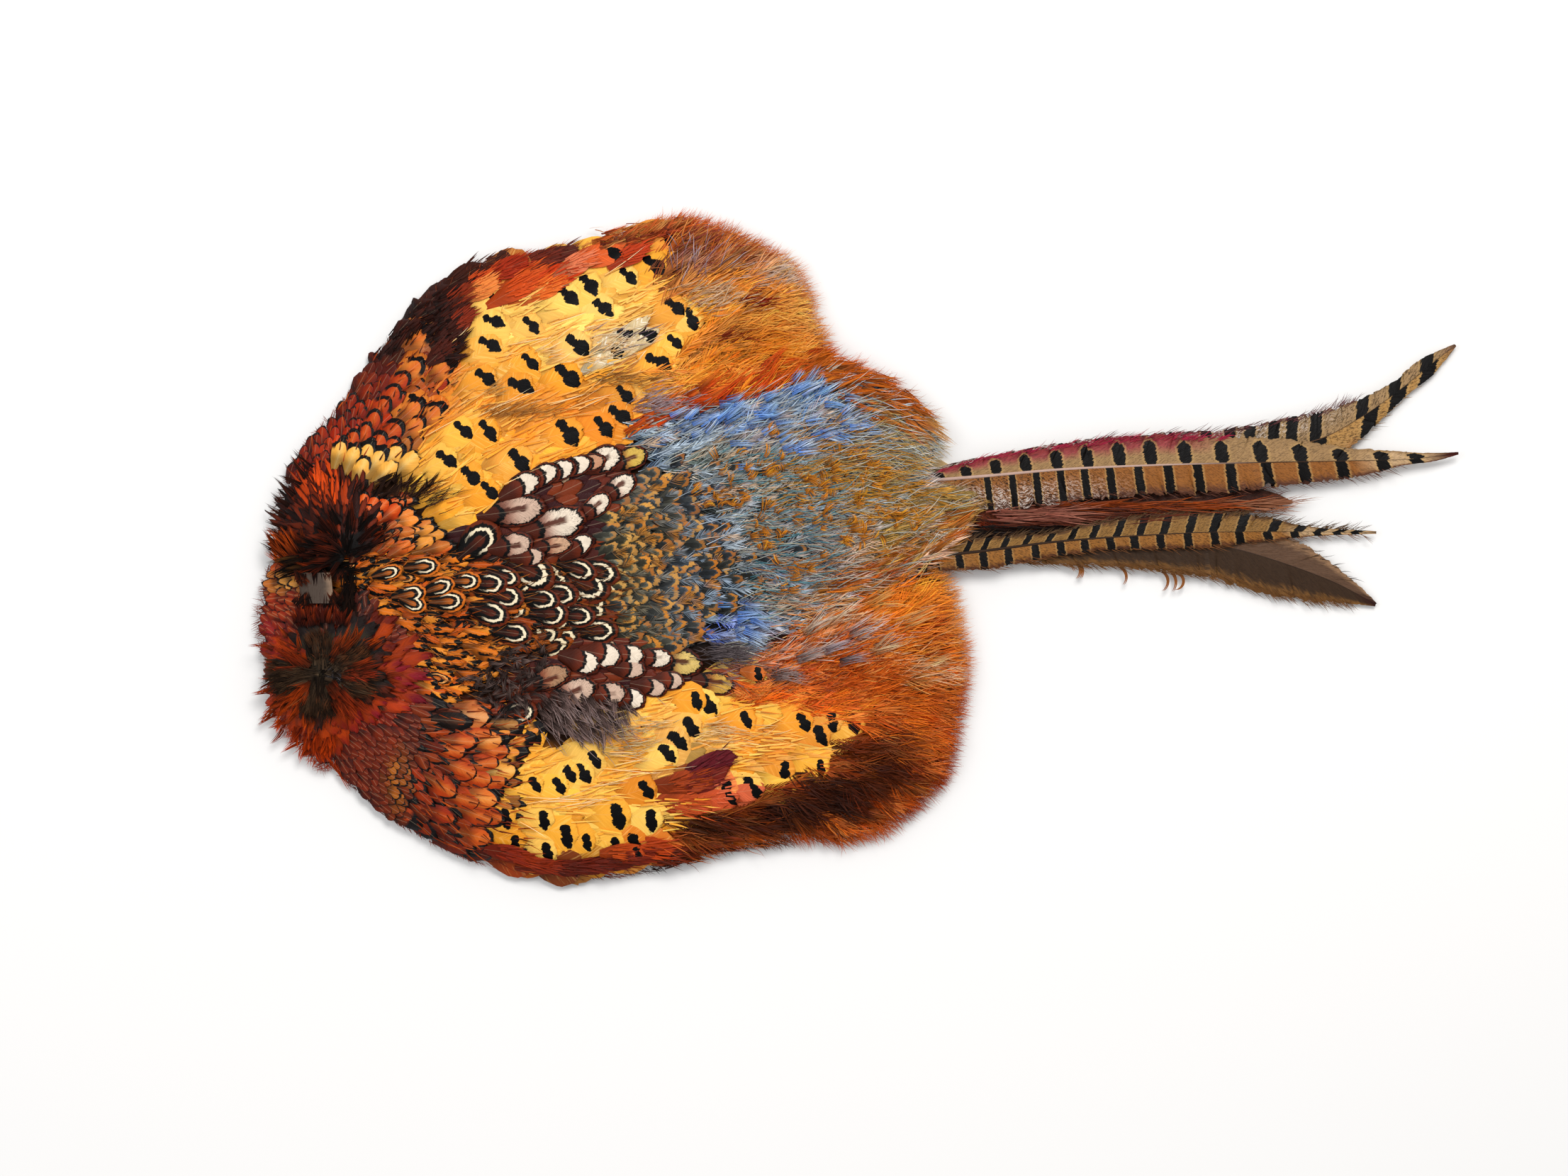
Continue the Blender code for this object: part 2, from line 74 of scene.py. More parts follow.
def inside(x, y, ring):
    """Signed distance in grid units to a closed ring, positive inside it."""
    x, y = np.asarray(x, float), np.asarray(y, float)
    best, odd = np.full(x.shape, 1e9), np.zeros(x.shape, bool)
    for (ax, ay), (bx, by) in zip(np.roll(ring, 1, axis=0), ring):
        t = np.clip(((x - ax) * (bx - ax) + (y - ay) * (by - ay)) / ((bx - ax) ** 2 + (by - ay) ** 2), 0, 1)
        best = np.minimum(best, np.hypot(x - ax - t * (bx - ax), y - ay - t * (by - ay)))
        if ay != by:
            odd ^= ((ay > y) != (by > y)) & (x < ax + (y - ay) * (bx - ax) / (by - ay))
    return np.where(odd, best, -best)


SWELLS = [(480, 760, 70, 0.0055), (462, 945, 75, 0.0045), (820, 715, 90, 0.0020),
          (880, 940, 90, 0.0018), (1130, 700, 150, 0.0020)]
X0, Y0, STEP = 300.0, 250.0, 5.0
_gx, _gy = np.meshgrid(np.arange(X0, 1480, STEP), np.arange(Y0, 1320, STEP))
_d = inside(_gx, _gy, OUTLINE) * U
_t = np.clip(_d / 0.042, 0, 1)
_s = 0.0052 + 0.0113 * (1 - (1 - _t) ** 2)
for _x, _y, _r, _h in SWELLS:
    _s = _s + _h * np.exp(-((_gx - _x) ** 2 + (_gy - _y) ** 2) / _r ** 2) * np.clip(_d / 0.004 + 1, 0, 1)
SURF = np.where(_d >= 0, _s, np.maximum(0.0010, _s + _d * 0.55))
# the rump's point lies on the quills of the tail feathers
RUMP_POINT = np.array([(1190, 640), (1290, 640), (1306, 664), (1350, 690), (1400, 704), (1345, 762), (1300, 795), (1240, 815), (1190, 800)], float)
_p = inside(_gx, _gy, RUMP_POINT)
SURF = np.maximum(SURF, 0.0116 * np.clip(1 + _p / 26, 0, 1))
DIST = _d


def sample(grid, x, y):
    fx = np.clip((np.asarray(x) - X0) / STEP, 0, grid.shape[1] - 1.001)
    fy = np.clip((np.asarray(y) - Y0) / STEP, 0, grid.shape[0] - 1.001)
    i, j = fx.astype(int), fy.astype(int)
    u, v = fx - i, fy - j
    return (grid[j, i] * (1 - u) * (1 - v) + grid[j, i + 1] * u * (1 - v)
            + grid[j + 1, i] * (1 - u) * v + grid[j + 1, i + 1] * u * v)


def surf(x, y):
    return sample(SURF, x, y)


# which way the feathers lie: x, y, direction
FLOW = np.array([
    (493, 623, 85), (470, 640, 90), (567, 597, 50), (593, 557, 40), (520, 560, 68), (480, 590, 85),
    (560, 480, 52), (600, 430, 38), (660, 400, 28), (700, 380, 22), (760, 370, 18), (850, 350, 17),
    (930, 330, 20), (650, 500, 26), (750, 450, 22), (850, 400, 20), (800, 500, 18), (900, 480, 20),
    (700, 600, 25), (650, 640, 30), (600, 640, 35), (780, 600, 18), (880, 570, 15),
    (980, 340, 32), (1000, 400, 25), (1080, 400, 14), (1110, 450, 8), (1000, 500, 25),
    (1100, 500, 8), (950, 560, 20), (1150, 490, 5),
    (1000, 560, 28), (1080, 540, 34), (1130, 520, 36), (1180, 520, 10), (1240, 550, -12),
    (1290, 580, -32), (1330, 625, -30), (950, 640, 22), (1050, 600, 32), (1150, 580, 25),
    (1000, 750, 5), (1100, 700, 8), (1200, 640, 5), (1250, 700, 0), (1330, 690, 2), (1300, 770, 33),
    (1370, 725, 30), (1200, 800, 12), (1100, 850, 0), (1050, 885, -8), (1150, 840, 12),
    (1250, 800, 22), (1100, 930, 25), (1160, 890, 30), (1250, 860, 24), (1330, 850, 15),
    (1345, 950, 3), (1335, 1050, -8), (1260, 1150, -22), (1150, 1185, -30), (1200, 950, 18),
    (1200, 1050, 0), (1100, 1150, -5), (1000, 1190, -5), (950, 1000, 12), (1050, 1010, 6),
    (1150, 1020, 0), (900, 1080, 12), (800, 1100, 8), (850, 1180, -3), (950, 1150, 0),
    (760, 1210, -6), (900, 1225, 5), (1000, 1110, -3), (750, 1050, 10), (640, 1180, -32),
    (680, 1120, -15), (660, 1050, -5), (620, 1100, -38), (700, 1200, -14), (610, 1160, -42),
    (520, 800, 20), (560, 800, 10), (600, 800, 5), (560, 860, -18), (600, 920, -20),
    (640, 960, -10), (700, 850, 0), (800, 840, 0), (860, 850, 0), (680, 930, 0), (520, 840, -15),
    (680, 740, 22), (750, 700, 24), (800, 670, 24), (900, 640, 15), (780, 760, 12), (850, 740, 12),
    (800, 950, 5), (900, 950, -2), (1000, 960, -4), (900, 750, 10), (950, 800, 3), (900, 850, 0),
    (980, 880, -5)], float)


def flow(x, y, spread=0.0):
    x, y = np.asarray(x, float), np.asarray(y, float)
    w = 1.0 / ((x[:, None] - FLOW[:, 0]) ** 2 + (y[:, None] - FLOW[:, 1]) ** 2 + 150) ** 1.6
    a = np.radians(FLOW[:, 2])
    out = np.degrees(np.arctan2((w * np.sin(a)).sum(1), (w * np.cos(a)).sum(1)))
    return out + rng.normal(0, 1, len(x)) * spread


def scatter(ring, dx, dy, jitter=0.3, margin=0.0):
    """Points on a staggered grid inside a ring."""
    ring = np.array(ring, float)
    lo, hi = ring.min(0), ring.max(0)
    xs, ys = np.arange(lo[0] - dx, hi[0] + dx, dx), np.arange(lo[1] - dy, hi[1] + dy, dy)
    gx, gy = np.meshgrid(xs, ys)
    gx = gx + (np.arange(len(ys)) % 2)[:, None] * dx / 2
    gx = gx + rng.uniform(-jitter, jitter, gx.shape) * dx
    gy = gy + rng.uniform(-jitter, jitter, gy.shape) * dy
    x, y = gx.ravel(), gy.ravel()
    keep = inside(x, y, ring) > margin
    return x[keep], y[keep]


def near(x, y, cx, cy, rx, ry=None, power=1.0):
    """1 at a point, falling to 0 around it."""
    ry = ry or rx
    return np.exp(-(((x - cx) / rx) ** 2 + ((y - cy) / ry) ** 2) ** power)


def blend(a, b, w):
    w = np.asarray(w)[..., None]
    return a * (1 - w) + b * w


_waves = [(rng.uniform(-1, 1), rng.uniform(-1, 1), rng.uniform(0, 6.3)) for _ in range(10)]


def clump(x, y, size, amount):
    """A factor around 1 that wanders over the plumage. On colours it is painted light and shade over clumps of
    feathers; it also bends directions.
    """
    x, y = np.asarray(x, float) / size, np.asarray(y, float) / size
    f = sum(np.sin(6.3 * (kx * x + ky * y) + ph) for kx, ky, ph in _waves) / math.sqrt(5)
    return np.clip(1 + amount * f, 0.3, 1.8)[:, None]


def reined(x, y, a, reach, ring, margin=0.0):
    """Tips pulled back along their feathers until these end inside a ring."""
    ax, ay = np.cos(np.radians(a)), -np.sin(np.radians(a))
    x, y = np.array(x, float), np.array(y, float)
    for _ in range(3):
        pull = np.clip(margin - inside(x + ax * reach, y + ay * reach, ring), 0, 22)
        x, y = x - ax * pull, y - ay * pull
    return x, y


# ================================================================ mesh builders
class Buf:
    def __init__(self):
        self.v, self.q, self.t, self.n, self.at = [], [], [], 0, {}

    def add(self, verts, quads=None, tris=None, **at):
        self.v.append(verts)
        if quads is not None:
            self.q.append(quads + self.n)
        if tris is not None:
            self.t.append(tris + self.n)
        for k, a in at.items():
            self.at.setdefault(k, []).append(np.broadcast_to(a, (len(verts), a.shape[-1])).astype(np.float32))
        self.n += len(verts)

    def build(self, name, mat, smooth=True):
        v = np.concatenate(self.v)
        q = np.concatenate(self.q) if self.q else np.zeros((0, 4), int)
        t = np.concatenate(self.t) if self.t else np.zeros((0, 3), int)
        mesh = bpy.data.meshes.new(name)
        mesh.vertices.add(len(v))
        mesh.vertices.foreach_set("co", np.column_stack([(v[:, 0] - CX) * U, (CY - v[:, 1]) * U, v[:, 2]]).astype(np.float32).ravel())
        mesh.loops.add(q.size + t.size)
        mesh.loops.foreach_set("vertex_index", np.concatenate([q.ravel(), t.ravel()]).astype(np.int32))
        mesh.polygons.add(len(q) + len(t))
        mesh.polygons.foreach_set("loop_start", np.concatenate([np.arange(len(q)) * 4, q.size + np.arange(len(t)) * 3]).astype(np.int32))
        mesh.update(calc_edges=True)
        for k, parts in self.at.items():
            a = np.concatenate(parts)
            if a.shape[1] == 4:
                mesh.attributes.new(k, "FLOAT_COLOR", "POINT").data.foreach_set("color", a.ravel())
            else:
                mesh.attributes.new(k, "FLOAT_VECTOR", "POINT").data.foreach_set("vector", a.ravel())
        if smooth:
            mesh.polygons.foreach_set("use_smooth", np.ones(len(mesh.polygons), bool))
        mesh.materials.append(mat)
        mesh.validate()
        obj = bpy.data.objects.new(name, mesh)
        bpy.context.scene.collection.objects.link(obj)
        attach(obj, "root")
        print("PIECE %-28s %7d triangles" % (name, len(q) * 2 + len(t)))
        return obj


def rgba(c):
    c = np.asarray(c, float)
    return np.concatenate([c, np.ones(c.shape[:-1] + (1,))], -1)


def vanes(buf, x, y, a, L, W, ca, cb=None, kz=0.0, qm=0.7, rows=(3, 5), cols=5, lift=0.0, slope=0.10,
          dome=0.14, bend=None, jag=0.02, base_w=0.35, curl=0.0, point=2.0, root=None):
    """Closed-vane feathers. x, y is the tip, a the direction, L the length and W the half width."""
    x, y = np.asarray(x, float), np.asarray(y, float)
    n = len(x)
    if n == 0:
        return
    full = lambda s: np.broadcast_to(np.asarray(s, float), (n,)).copy()
    a, L, W, kz, lift, curl = np.radians(full(a)), full(L), full(W), full(kz), full(lift), full(curl)
    # a feather's root stays on the skin
    for _ in range(8):
        bx, by = x - np.cos(a) * L, y + np.sin(a) * L
        out = sample(DIST, bx, by) < 0.0012
        L = np.where(out & (L > 18), L * 0.86, L)
    bend = rng.normal(0, 0.05, n) if bend is None else full(bend)
    qs = np.concatenate([np.linspace(0, qm, rows[0])[:-1], qm + (1 - qm) * np.sin(np.linspace(0, 1, rows[1]) * np.pi / 2 * 0.96)])
    ps = np.linspace(-1, 1, cols)
    q, p = np.meshgrid(qs, ps, indexing="ij")
    q, p = q[None], p[None]
    t = np.clip((q - qm) / (1 - qm), 0, 1)
    w = np.where(q < qm, base_w + (1 - base_w) * np.sin(np.pi / 2 * np.clip(q / qm, 0, 1)), np.maximum(1 - t ** point, 0.003) ** (1 / 2))
    Ln, Wn = L[:, None, None], W[:, None, None]
    noise = rng.normal(0, 1, (n,) + q.shape[1:])
    edge = np.abs(p) ** 2
    along = (q - 1) * Ln + jag * Ln * noise * (edge * 0.7 + 0.3 * (q > 0.9))
    lat = p * w * Wn * (1 + 0.5 * jag * noise) + bend[:, None, None] * Ln * (1 - q) ** 2
    ca_, sa = np.cos(a)[:, None, None], np.sin(a)[:, None, None]
    px = x[:, None, None] + ca_ * along - sa * lat
    py = y[:, None, None] - sa * along - ca_ * lat
    z = (surf(px, py) + lift[:, None, None] - (1 - q) * Ln * U * slope - dome * Wn * U * p * p
         + curl[:, None, None] * q * q)
    z = np.maximum(z, 0.0009)
    r, c = q.shape[1:]
    idx = np.arange(n * r * c).reshape(n, r, c)
    quads = np.stack([idx[:, :-1, :-1], idx[:, 1:, :-1], idx[:, 1:, 1:], idx[:, :-1, 1:]], -1).reshape(-1, 4)
    one = np.ones((n, r, c))
    rnd = rng.uniform(0, 1, n)[:, None, None] * one
    cb = ca if cb is None else cb
    ca = np.broadcast_to(ca, (n, 3))
    cb = np.broadcast_to(cb, (n, 3))
    rep = lambda s: np.repeat(s, r * c, axis=0)
    buf.add(np.stack([px, py, z], -1).reshape(-1, 3), quads=quads,
            fp=np.stack([p * one, q * one, rnd], -1).reshape(-1, 3),
            kv=np.stack([Ln * U * 1000 * one, Wn * U * 1000 * one, kz[:, None, None] * one], -1).reshape(-1, 3),
            ca=rep(rgba(ca)), cb=rep(rgba(cb)))


def strands(buf, x, y, z, a, L, w, c0, c1, bend=0.0, rise=0.0, droop=0.0, segs=3, tilt=0.5, power=1.0, floor=0.0007):
    """Single barbs: tapered ribbons from a root at x, y, z."""
    x, y = np.asarray(x, float), np.asarray(y, float)
    z = np.broadcast_to(np.asarray(z, float), x.shape)
    n = len(x)
    if n == 0:
        return
    full = lambda s: np.broadcast_to(np.asarray(s, float), (n,)).copy()
    a, L, w, bend, rise, droop = (full(s) for s in (a, L, w, bend, rise, droop))
    u = np.linspace(0, 1, segs + 1)[None]
    ang = np.radians(a[:, None] + bend[:, None] * u)
    step = L[:, None] / segs
    mid = (ang[:, 1:] + ang[:, :-1]) / 2
    px = x[:, None] + np.concatenate([np.zeros((n, 1)), np.cumsum(np.cos(mid) * step, 1)], 1)
    py = y[:, None] - np.concatenate([np.zeros((n, 1)), np.cumsum(np.sin(mid) * step, 1)], 1)
    pz = z[:, None] + L[:, None] * U * (rise[:, None] * u - droop[:, None] * u * u)
    tau = rng.normal(0, tilt, n)[:, None]
    half = w[:, None] / 2 * (1 - u) ** 0.6 / U
    half = half * (0.65 + 0.35 * np.minimum(1, u * 4 + 0.3))
    ox, oy, oz = -np.sin(ang) * np.cos(tau) * half, -np.cos(ang) * np.cos(tau) * half, np.sin(tau) * half * U
    left = np.stack([px + ox, py + oy, np.maximum(pz + oz, floor)], -1)
    right = np.stack([px - ox, py - oy, np.maximum(pz - oz, floor)], -1)
    pair = np.stack([left[:, :-1], right[:, :-1]], 2).reshape(n, 2 * segs, 3)
    v = np.concatenate([pair, left[:, -1:]], 1)
    k = 2 * segs + 1
    base = np.arange(n)[:, None] * k
    quads = np.concatenate([base + np.array([[2 * i, 2 * i + 2, 2 * i + 3, 2 * i + 1]]) for i in range(segs - 1)], 0) if segs > 1 else None
    tris = base + np.array([[2 * segs - 2, 2 * segs, 2 * segs - 1]])
    uu = np.concatenate([np.repeat(u[0, :-1], 2), [1.0]]) ** power
    c0, c1 = np.broadcast_to(c0, (n, 3)), np.broadcast_to(c1, (n, 3))
    col = c0[:, None] * (1 - uu[None, :, None]) + c1[:, None] * uu[None, :, None]
    buf.add(v.reshape(-1, 3), quads=quads, tris=tris, col=rgba(col.reshape(-1, 3)))


def locks(buf, x, y, z, a, L, n, w, spread, c0, c1, bend=0.0, rise=0.03, droop=0.08, conv=1.0, shade=0.18, segs=3, power=1.0):
    """Barbs that cling together: n strands side by side that run to one point."""
    x, y = np.asarray(x, float), np.asarray(y, float)
    m = len(x)
    if m == 0:
        return
    full = lambda s: np.broadcast_to(np.asarray(s, float), (m,)).copy()[:, None]
    z, a, L, spread, bend = (full(s) for s in (z, a, L, spread, bend))
    u = rng.uniform(-1, 1, (m, n))
    ar = np.radians(a)
    rx, ry = x[:, None] - np.sin(ar) * u * spread, y[:, None] - np.cos(ar) * u * spread
    ang = a - np.degrees(np.arctan2(u * spread * conv, L)) * 1.0 + rng.normal(0, 2.0, (m, n))
    # random tone per strand, times painted shade that darkens the strands towards the lock's sides
    tone = (np.clip(rng.normal(1, shade, (m, n)), 0.3, 2) * (1.12 - 0.35 * np.abs(u)))[..., None]
    c0, c1 = (np.clip(np.broadcast_to(c, (m, 3))[:, None] * tone, 0, 1).reshape(-1, 3) for c in (c0, c1))
    one = np.ones((m, n))
    strands(buf, rx.ravel(), ry.ravel(), (z + 0.0004 * (1 - np.abs(u)) + rng.uniform(0, 0.0002, (m, n))).ravel(), ang.ravel(),
            (L * rng.uniform(0.72, 1.0, (m, n))).ravel(), w * rng.uniform(0.7, 1.3, m * n), c0, c1, bend=(bend * one).ravel(),
            rise=rise, droop=droop, segs=segs, tilt=0.4, power=power)


def plumes(buf, x, y, a, L, W, nb, c0, c1, c2=None, shaft=None, lift=0.0, slope=0.08, width=0.00022, open_=(48, 14),
           rise=0.05, droop=0.05, jitter=6.0, bend=None, segs=3, tilt=0.5, curve=-14.0, shade=0.12, q0=0.12, shaft_w=0.00035):
    """Loose-barbed feathers: a shaft with separate barbs on both sides. x, y is the tip."""
    x, y = np.asarray(x, float), np.asarray(y, float)
    n = len(x)
    if n == 0:
        return
    full = lambda s: np.broadcast_to(np.asarray(s, float), (n,)).copy()
    a, L, W, lift = full(a), full(L), full(W), full(lift)
    for _ in range(8):
        bx, by = x - np.cos(np.radians(a)) * L, y + np.sin(np.radians(a)) * L
        out = sample(DIST, bx, by) < 0.0015
        L = np.where(out & (L > 18), L * 0.86, L)
    bend = rng.normal(0, 0.06, n) if bend is None else full(bend)
    q = np.linspace(q0, 0.97, nb)[None, :, None] + rng.uniform(-0.4, 0.4, (n, nb, 2)) / nb
    side = np.array([1.0, -1.0])[None, None, :]
    ar = np.radians(a)[:, None, None]
    along = (q - 1) * L[:, None, None]
    off = bend[:, None, None] * L[:, None, None] * (1 - q) ** 2
    px = x[:, None, None] + np.cos(ar) * along - np.sin(ar) * off
    py = y[:, None, None] - np.sin(ar) * along - np.cos(ar) * off
    turn = np.degrees(-2 * bend[:, None, None] * (1 - q))
    phi = open_[0] + (open_[1] - open_[0]) * q ** 1.3
    ang = a[:, None, None] + turn + side * (phi + rng.normal(0, jitter, q.shape))
    prof = np.sin(np.pi * np.clip(q * 0.82 + 0.12, 0, 1)) ** 0.7
    bl = W[:, None, None] * prof / np.sin(np.radians(np.maximum(phi, 26))) * rng.uniform(0.7, 1.15, q.shape)
    z = surf(px, py) + lift[:, None, None] - (1 - q) * L[:, None, None] * U * slope
    tone = rng.normal(1, shade, q.shape)[..., None]
    c2 = c1 if c2 is None else c2
    c0, c1, c2 = (np.broadcast_to(c, (n, 3))[:, None, None, :] for c in (c0, c1, c2))
    qq = np.clip(q, 0, 1)[..., None]
    root = np.where(qq < 0.5, c0 + (c1 - c0) * qq * 2, c1 + (c2 - c1) * (qq * 2 - 1)) * tone
    tip = np.where(qq < 0.4, c1, c2) * tone
    fl = lambda s: np.broadcast_to(s, q.shape).reshape(-1)
    fc = lambda s: np.broadcast_to(s, q.shape + (3,)).reshape(-1, 3)
    strands(buf, fl(px), fl(py), fl(z), fl(ang), fl(bl), width * rng.uniform(0.7, 1.3, q.size), np.clip(fc(root), 0, 1), np.clip(fc(tip), 0, 1),
            bend=fl(side * curve), rise=rise, droop=droop, segs=segs, tilt=tilt)
    if shaft is not None:
        bx, by = x - np.cos(np.radians(a)) * L, y + np.sin(np.radians(a)) * L
        bx, by = bx - np.sin(np.radians(a)) * bend * L, by - np.cos(np.radians(a)) * bend * L
        strands(buf, bx, by, surf(x, y) + lift - L * U * slope + 0.0003, a + np.degrees(-2 * bend), L, shaft_w,
                np.broadcast_to(shaft, (n, 3)), np.broadcast_to(shaft, (n, 3)), bend=np.degrees(2 * bend), rise=slope, tilt=0.15)


# ================================================================ materials
class Val:
    """A value in a node tree, with the usual arithmetic."""
    def __init__(self, g, s):
        self.g, self.s = g, s

    def _op(self, op, *o, flip=False):
        args = [self, *o]
        if flip:
            args = args[::-1]
        return self.g.math(op, *args)

    def __add__(self, o): return self._op("ADD", o)
    def __radd__(self, o): return self._op("ADD", o)
    def __sub__(self, o): return self._op("SUBTRACT", o)
    def __rsub__(self, o): return self._op("SUBTRACT", o, flip=True)
    def __mul__(self, o): return self._op("MULTIPLY", o)
    def __rmul__(self, o): return self._op("MULTIPLY", o)
    def __truediv__(self, o): return self._op("DIVIDE", o)
    def __pow__(self, o): return self._op("POWER", o)
    def abs(self): return self._op("ABSOLUTE")
    def sqrt(self): return self._op("SQRT")
    def sin(self): return self._op("SINE")
    def frac(self): return self._op("FRACT")
    def min(self, o): return self._op("MINIMUM", o)
    def max(self, o): return self._op("MAXIMUM", o)

    def step(self, lo, hi):
        """0 at lo, 1 at hi, smooth between; lo may be above hi."""
        n = self.g.t.nodes.new("ShaderNodeMapRange")
        n.interpolation_type = "SMOOTHSTEP"
        flip = lo > hi
        self.g.put(n.inputs["Value"], self)
        n.inputs["From Min"].default_value, n.inputs["From Max"].default_value = min(lo, hi), max(lo, hi)
        n.inputs["To Min"].default_value, n.inputs["To Max"].default_value = (1.0, 0.0) if flip else (0.0, 1.0)
        return Val(self.g, n.outputs["Result"])


class Mat:
    def __init__(self, name, roughness=0.5, specular=0.4, sheen=0.0, two_sided=True):
        self.m = bpy.data.materials.new(name)
        self.m.use_nodes = True
        self.t = self.m.node_tree
        self.b = self.t.nodes["Principled BSDF"]
        self.b.inputs["Roughness"].default_value = roughness
        self.b.inputs["Specular IOR Level"].default_value = specular * 0.3
        if sheen:
            self.b.inputs["Sheen Weight"].default_value = sheen
            self.b.inputs["Sheen Roughness"].default_value = 0.4

    def put(self, sock, v):
        if isinstance(v, Val):
            self.t.links.new(v.s, sock)
        elif isinstance(v, (tuple, list, np.ndarray)):
            v = [float(x) for x in v]
            sock.default_value = v + [1.0] if len(v) == 3 and len(sock.default_value) == 4 else v
        else:
            sock.default_value = float(v)

    def math(self, op, *args):
        n = self.t.nodes.new("ShaderNodeMath")
        n.operation = op
        for s, v in zip(n.inputs, args):
            self.put(s, v)
        return Val(self, n.outputs[0])

    def attr(self, name, kind="Vector"):
        n = self.t.nodes.new("ShaderNodeAttribute")
        n.attribute_name = name
        return Val(self, n.outputs[kind])

    def split(self, v):
        n = self.t.nodes.new("ShaderNodeSeparateXYZ")
        self.put(n.inputs[0], v)
        return [Val(self, o) for o in n.outputs]

    def vec(self, x, y, z=0.0):
        n = self.t.nodes.new("ShaderNodeCombineXYZ")
        for s, v in zip(n.inputs, (x, y, z)):
            self.put(s, v)
        return Val(self, n.outputs[0])

    def noise(self, v, scale=1.0, detail=2.0, rough=0.5):
        n = self.t.nodes.new("ShaderNodeTexNoise")
        self.put(n.inputs["Vector"], v)
        n.inputs["Scale"].default_value, n.inputs["Detail"].default_value, n.inputs["Roughness"].default_value = scale, detail, rough
        return Val(self, n.outputs[0])

    def place(self):
        n = self.t.nodes.new("ShaderNodeNewGeometry")
        return Val(self, n.outputs["Position"])

    def here(self):
        n = self.t.nodes.new("ShaderNodeTexCoord")
        return Val(self, n.outputs["Object"])

    def mix(self, a, b, f, mode="MIX"):
        n = self.t.nodes.new("ShaderNodeMix")
        n.data_type, n.blend_type = "RGBA", mode
        self.put(n.inputs["Factor"], f)
        self.put(n.inputs["A"] if False else n.inputs[6], a)
        self.put(n.inputs[7], b)
        return Val(self, n.outputs[2])

    def scale(self, c, v):
        """Colour c times value v."""
        n = self.t.nodes.new("ShaderNodeVectorMath")
        n.operation = "SCALE"
        self.put(n.inputs[0], c)
        self.put(n.inputs["Scale"], v)
        return Val(self, n.outputs[0])

    def bump(self, height, strength=0.4, distance=0.0003):
        n = self.t.nodes.new("ShaderNodeBump")
        n.inputs["Strength"].default_value, n.inputs["Distance"].default_value = strength, distance
        self.put(n.inputs["Height"], height)
        self.t.links.new(n.outputs[0], self.b.inputs["Normal"])

    def colour(self, c):
        self.put(self.b.inputs["Base Color"], c)


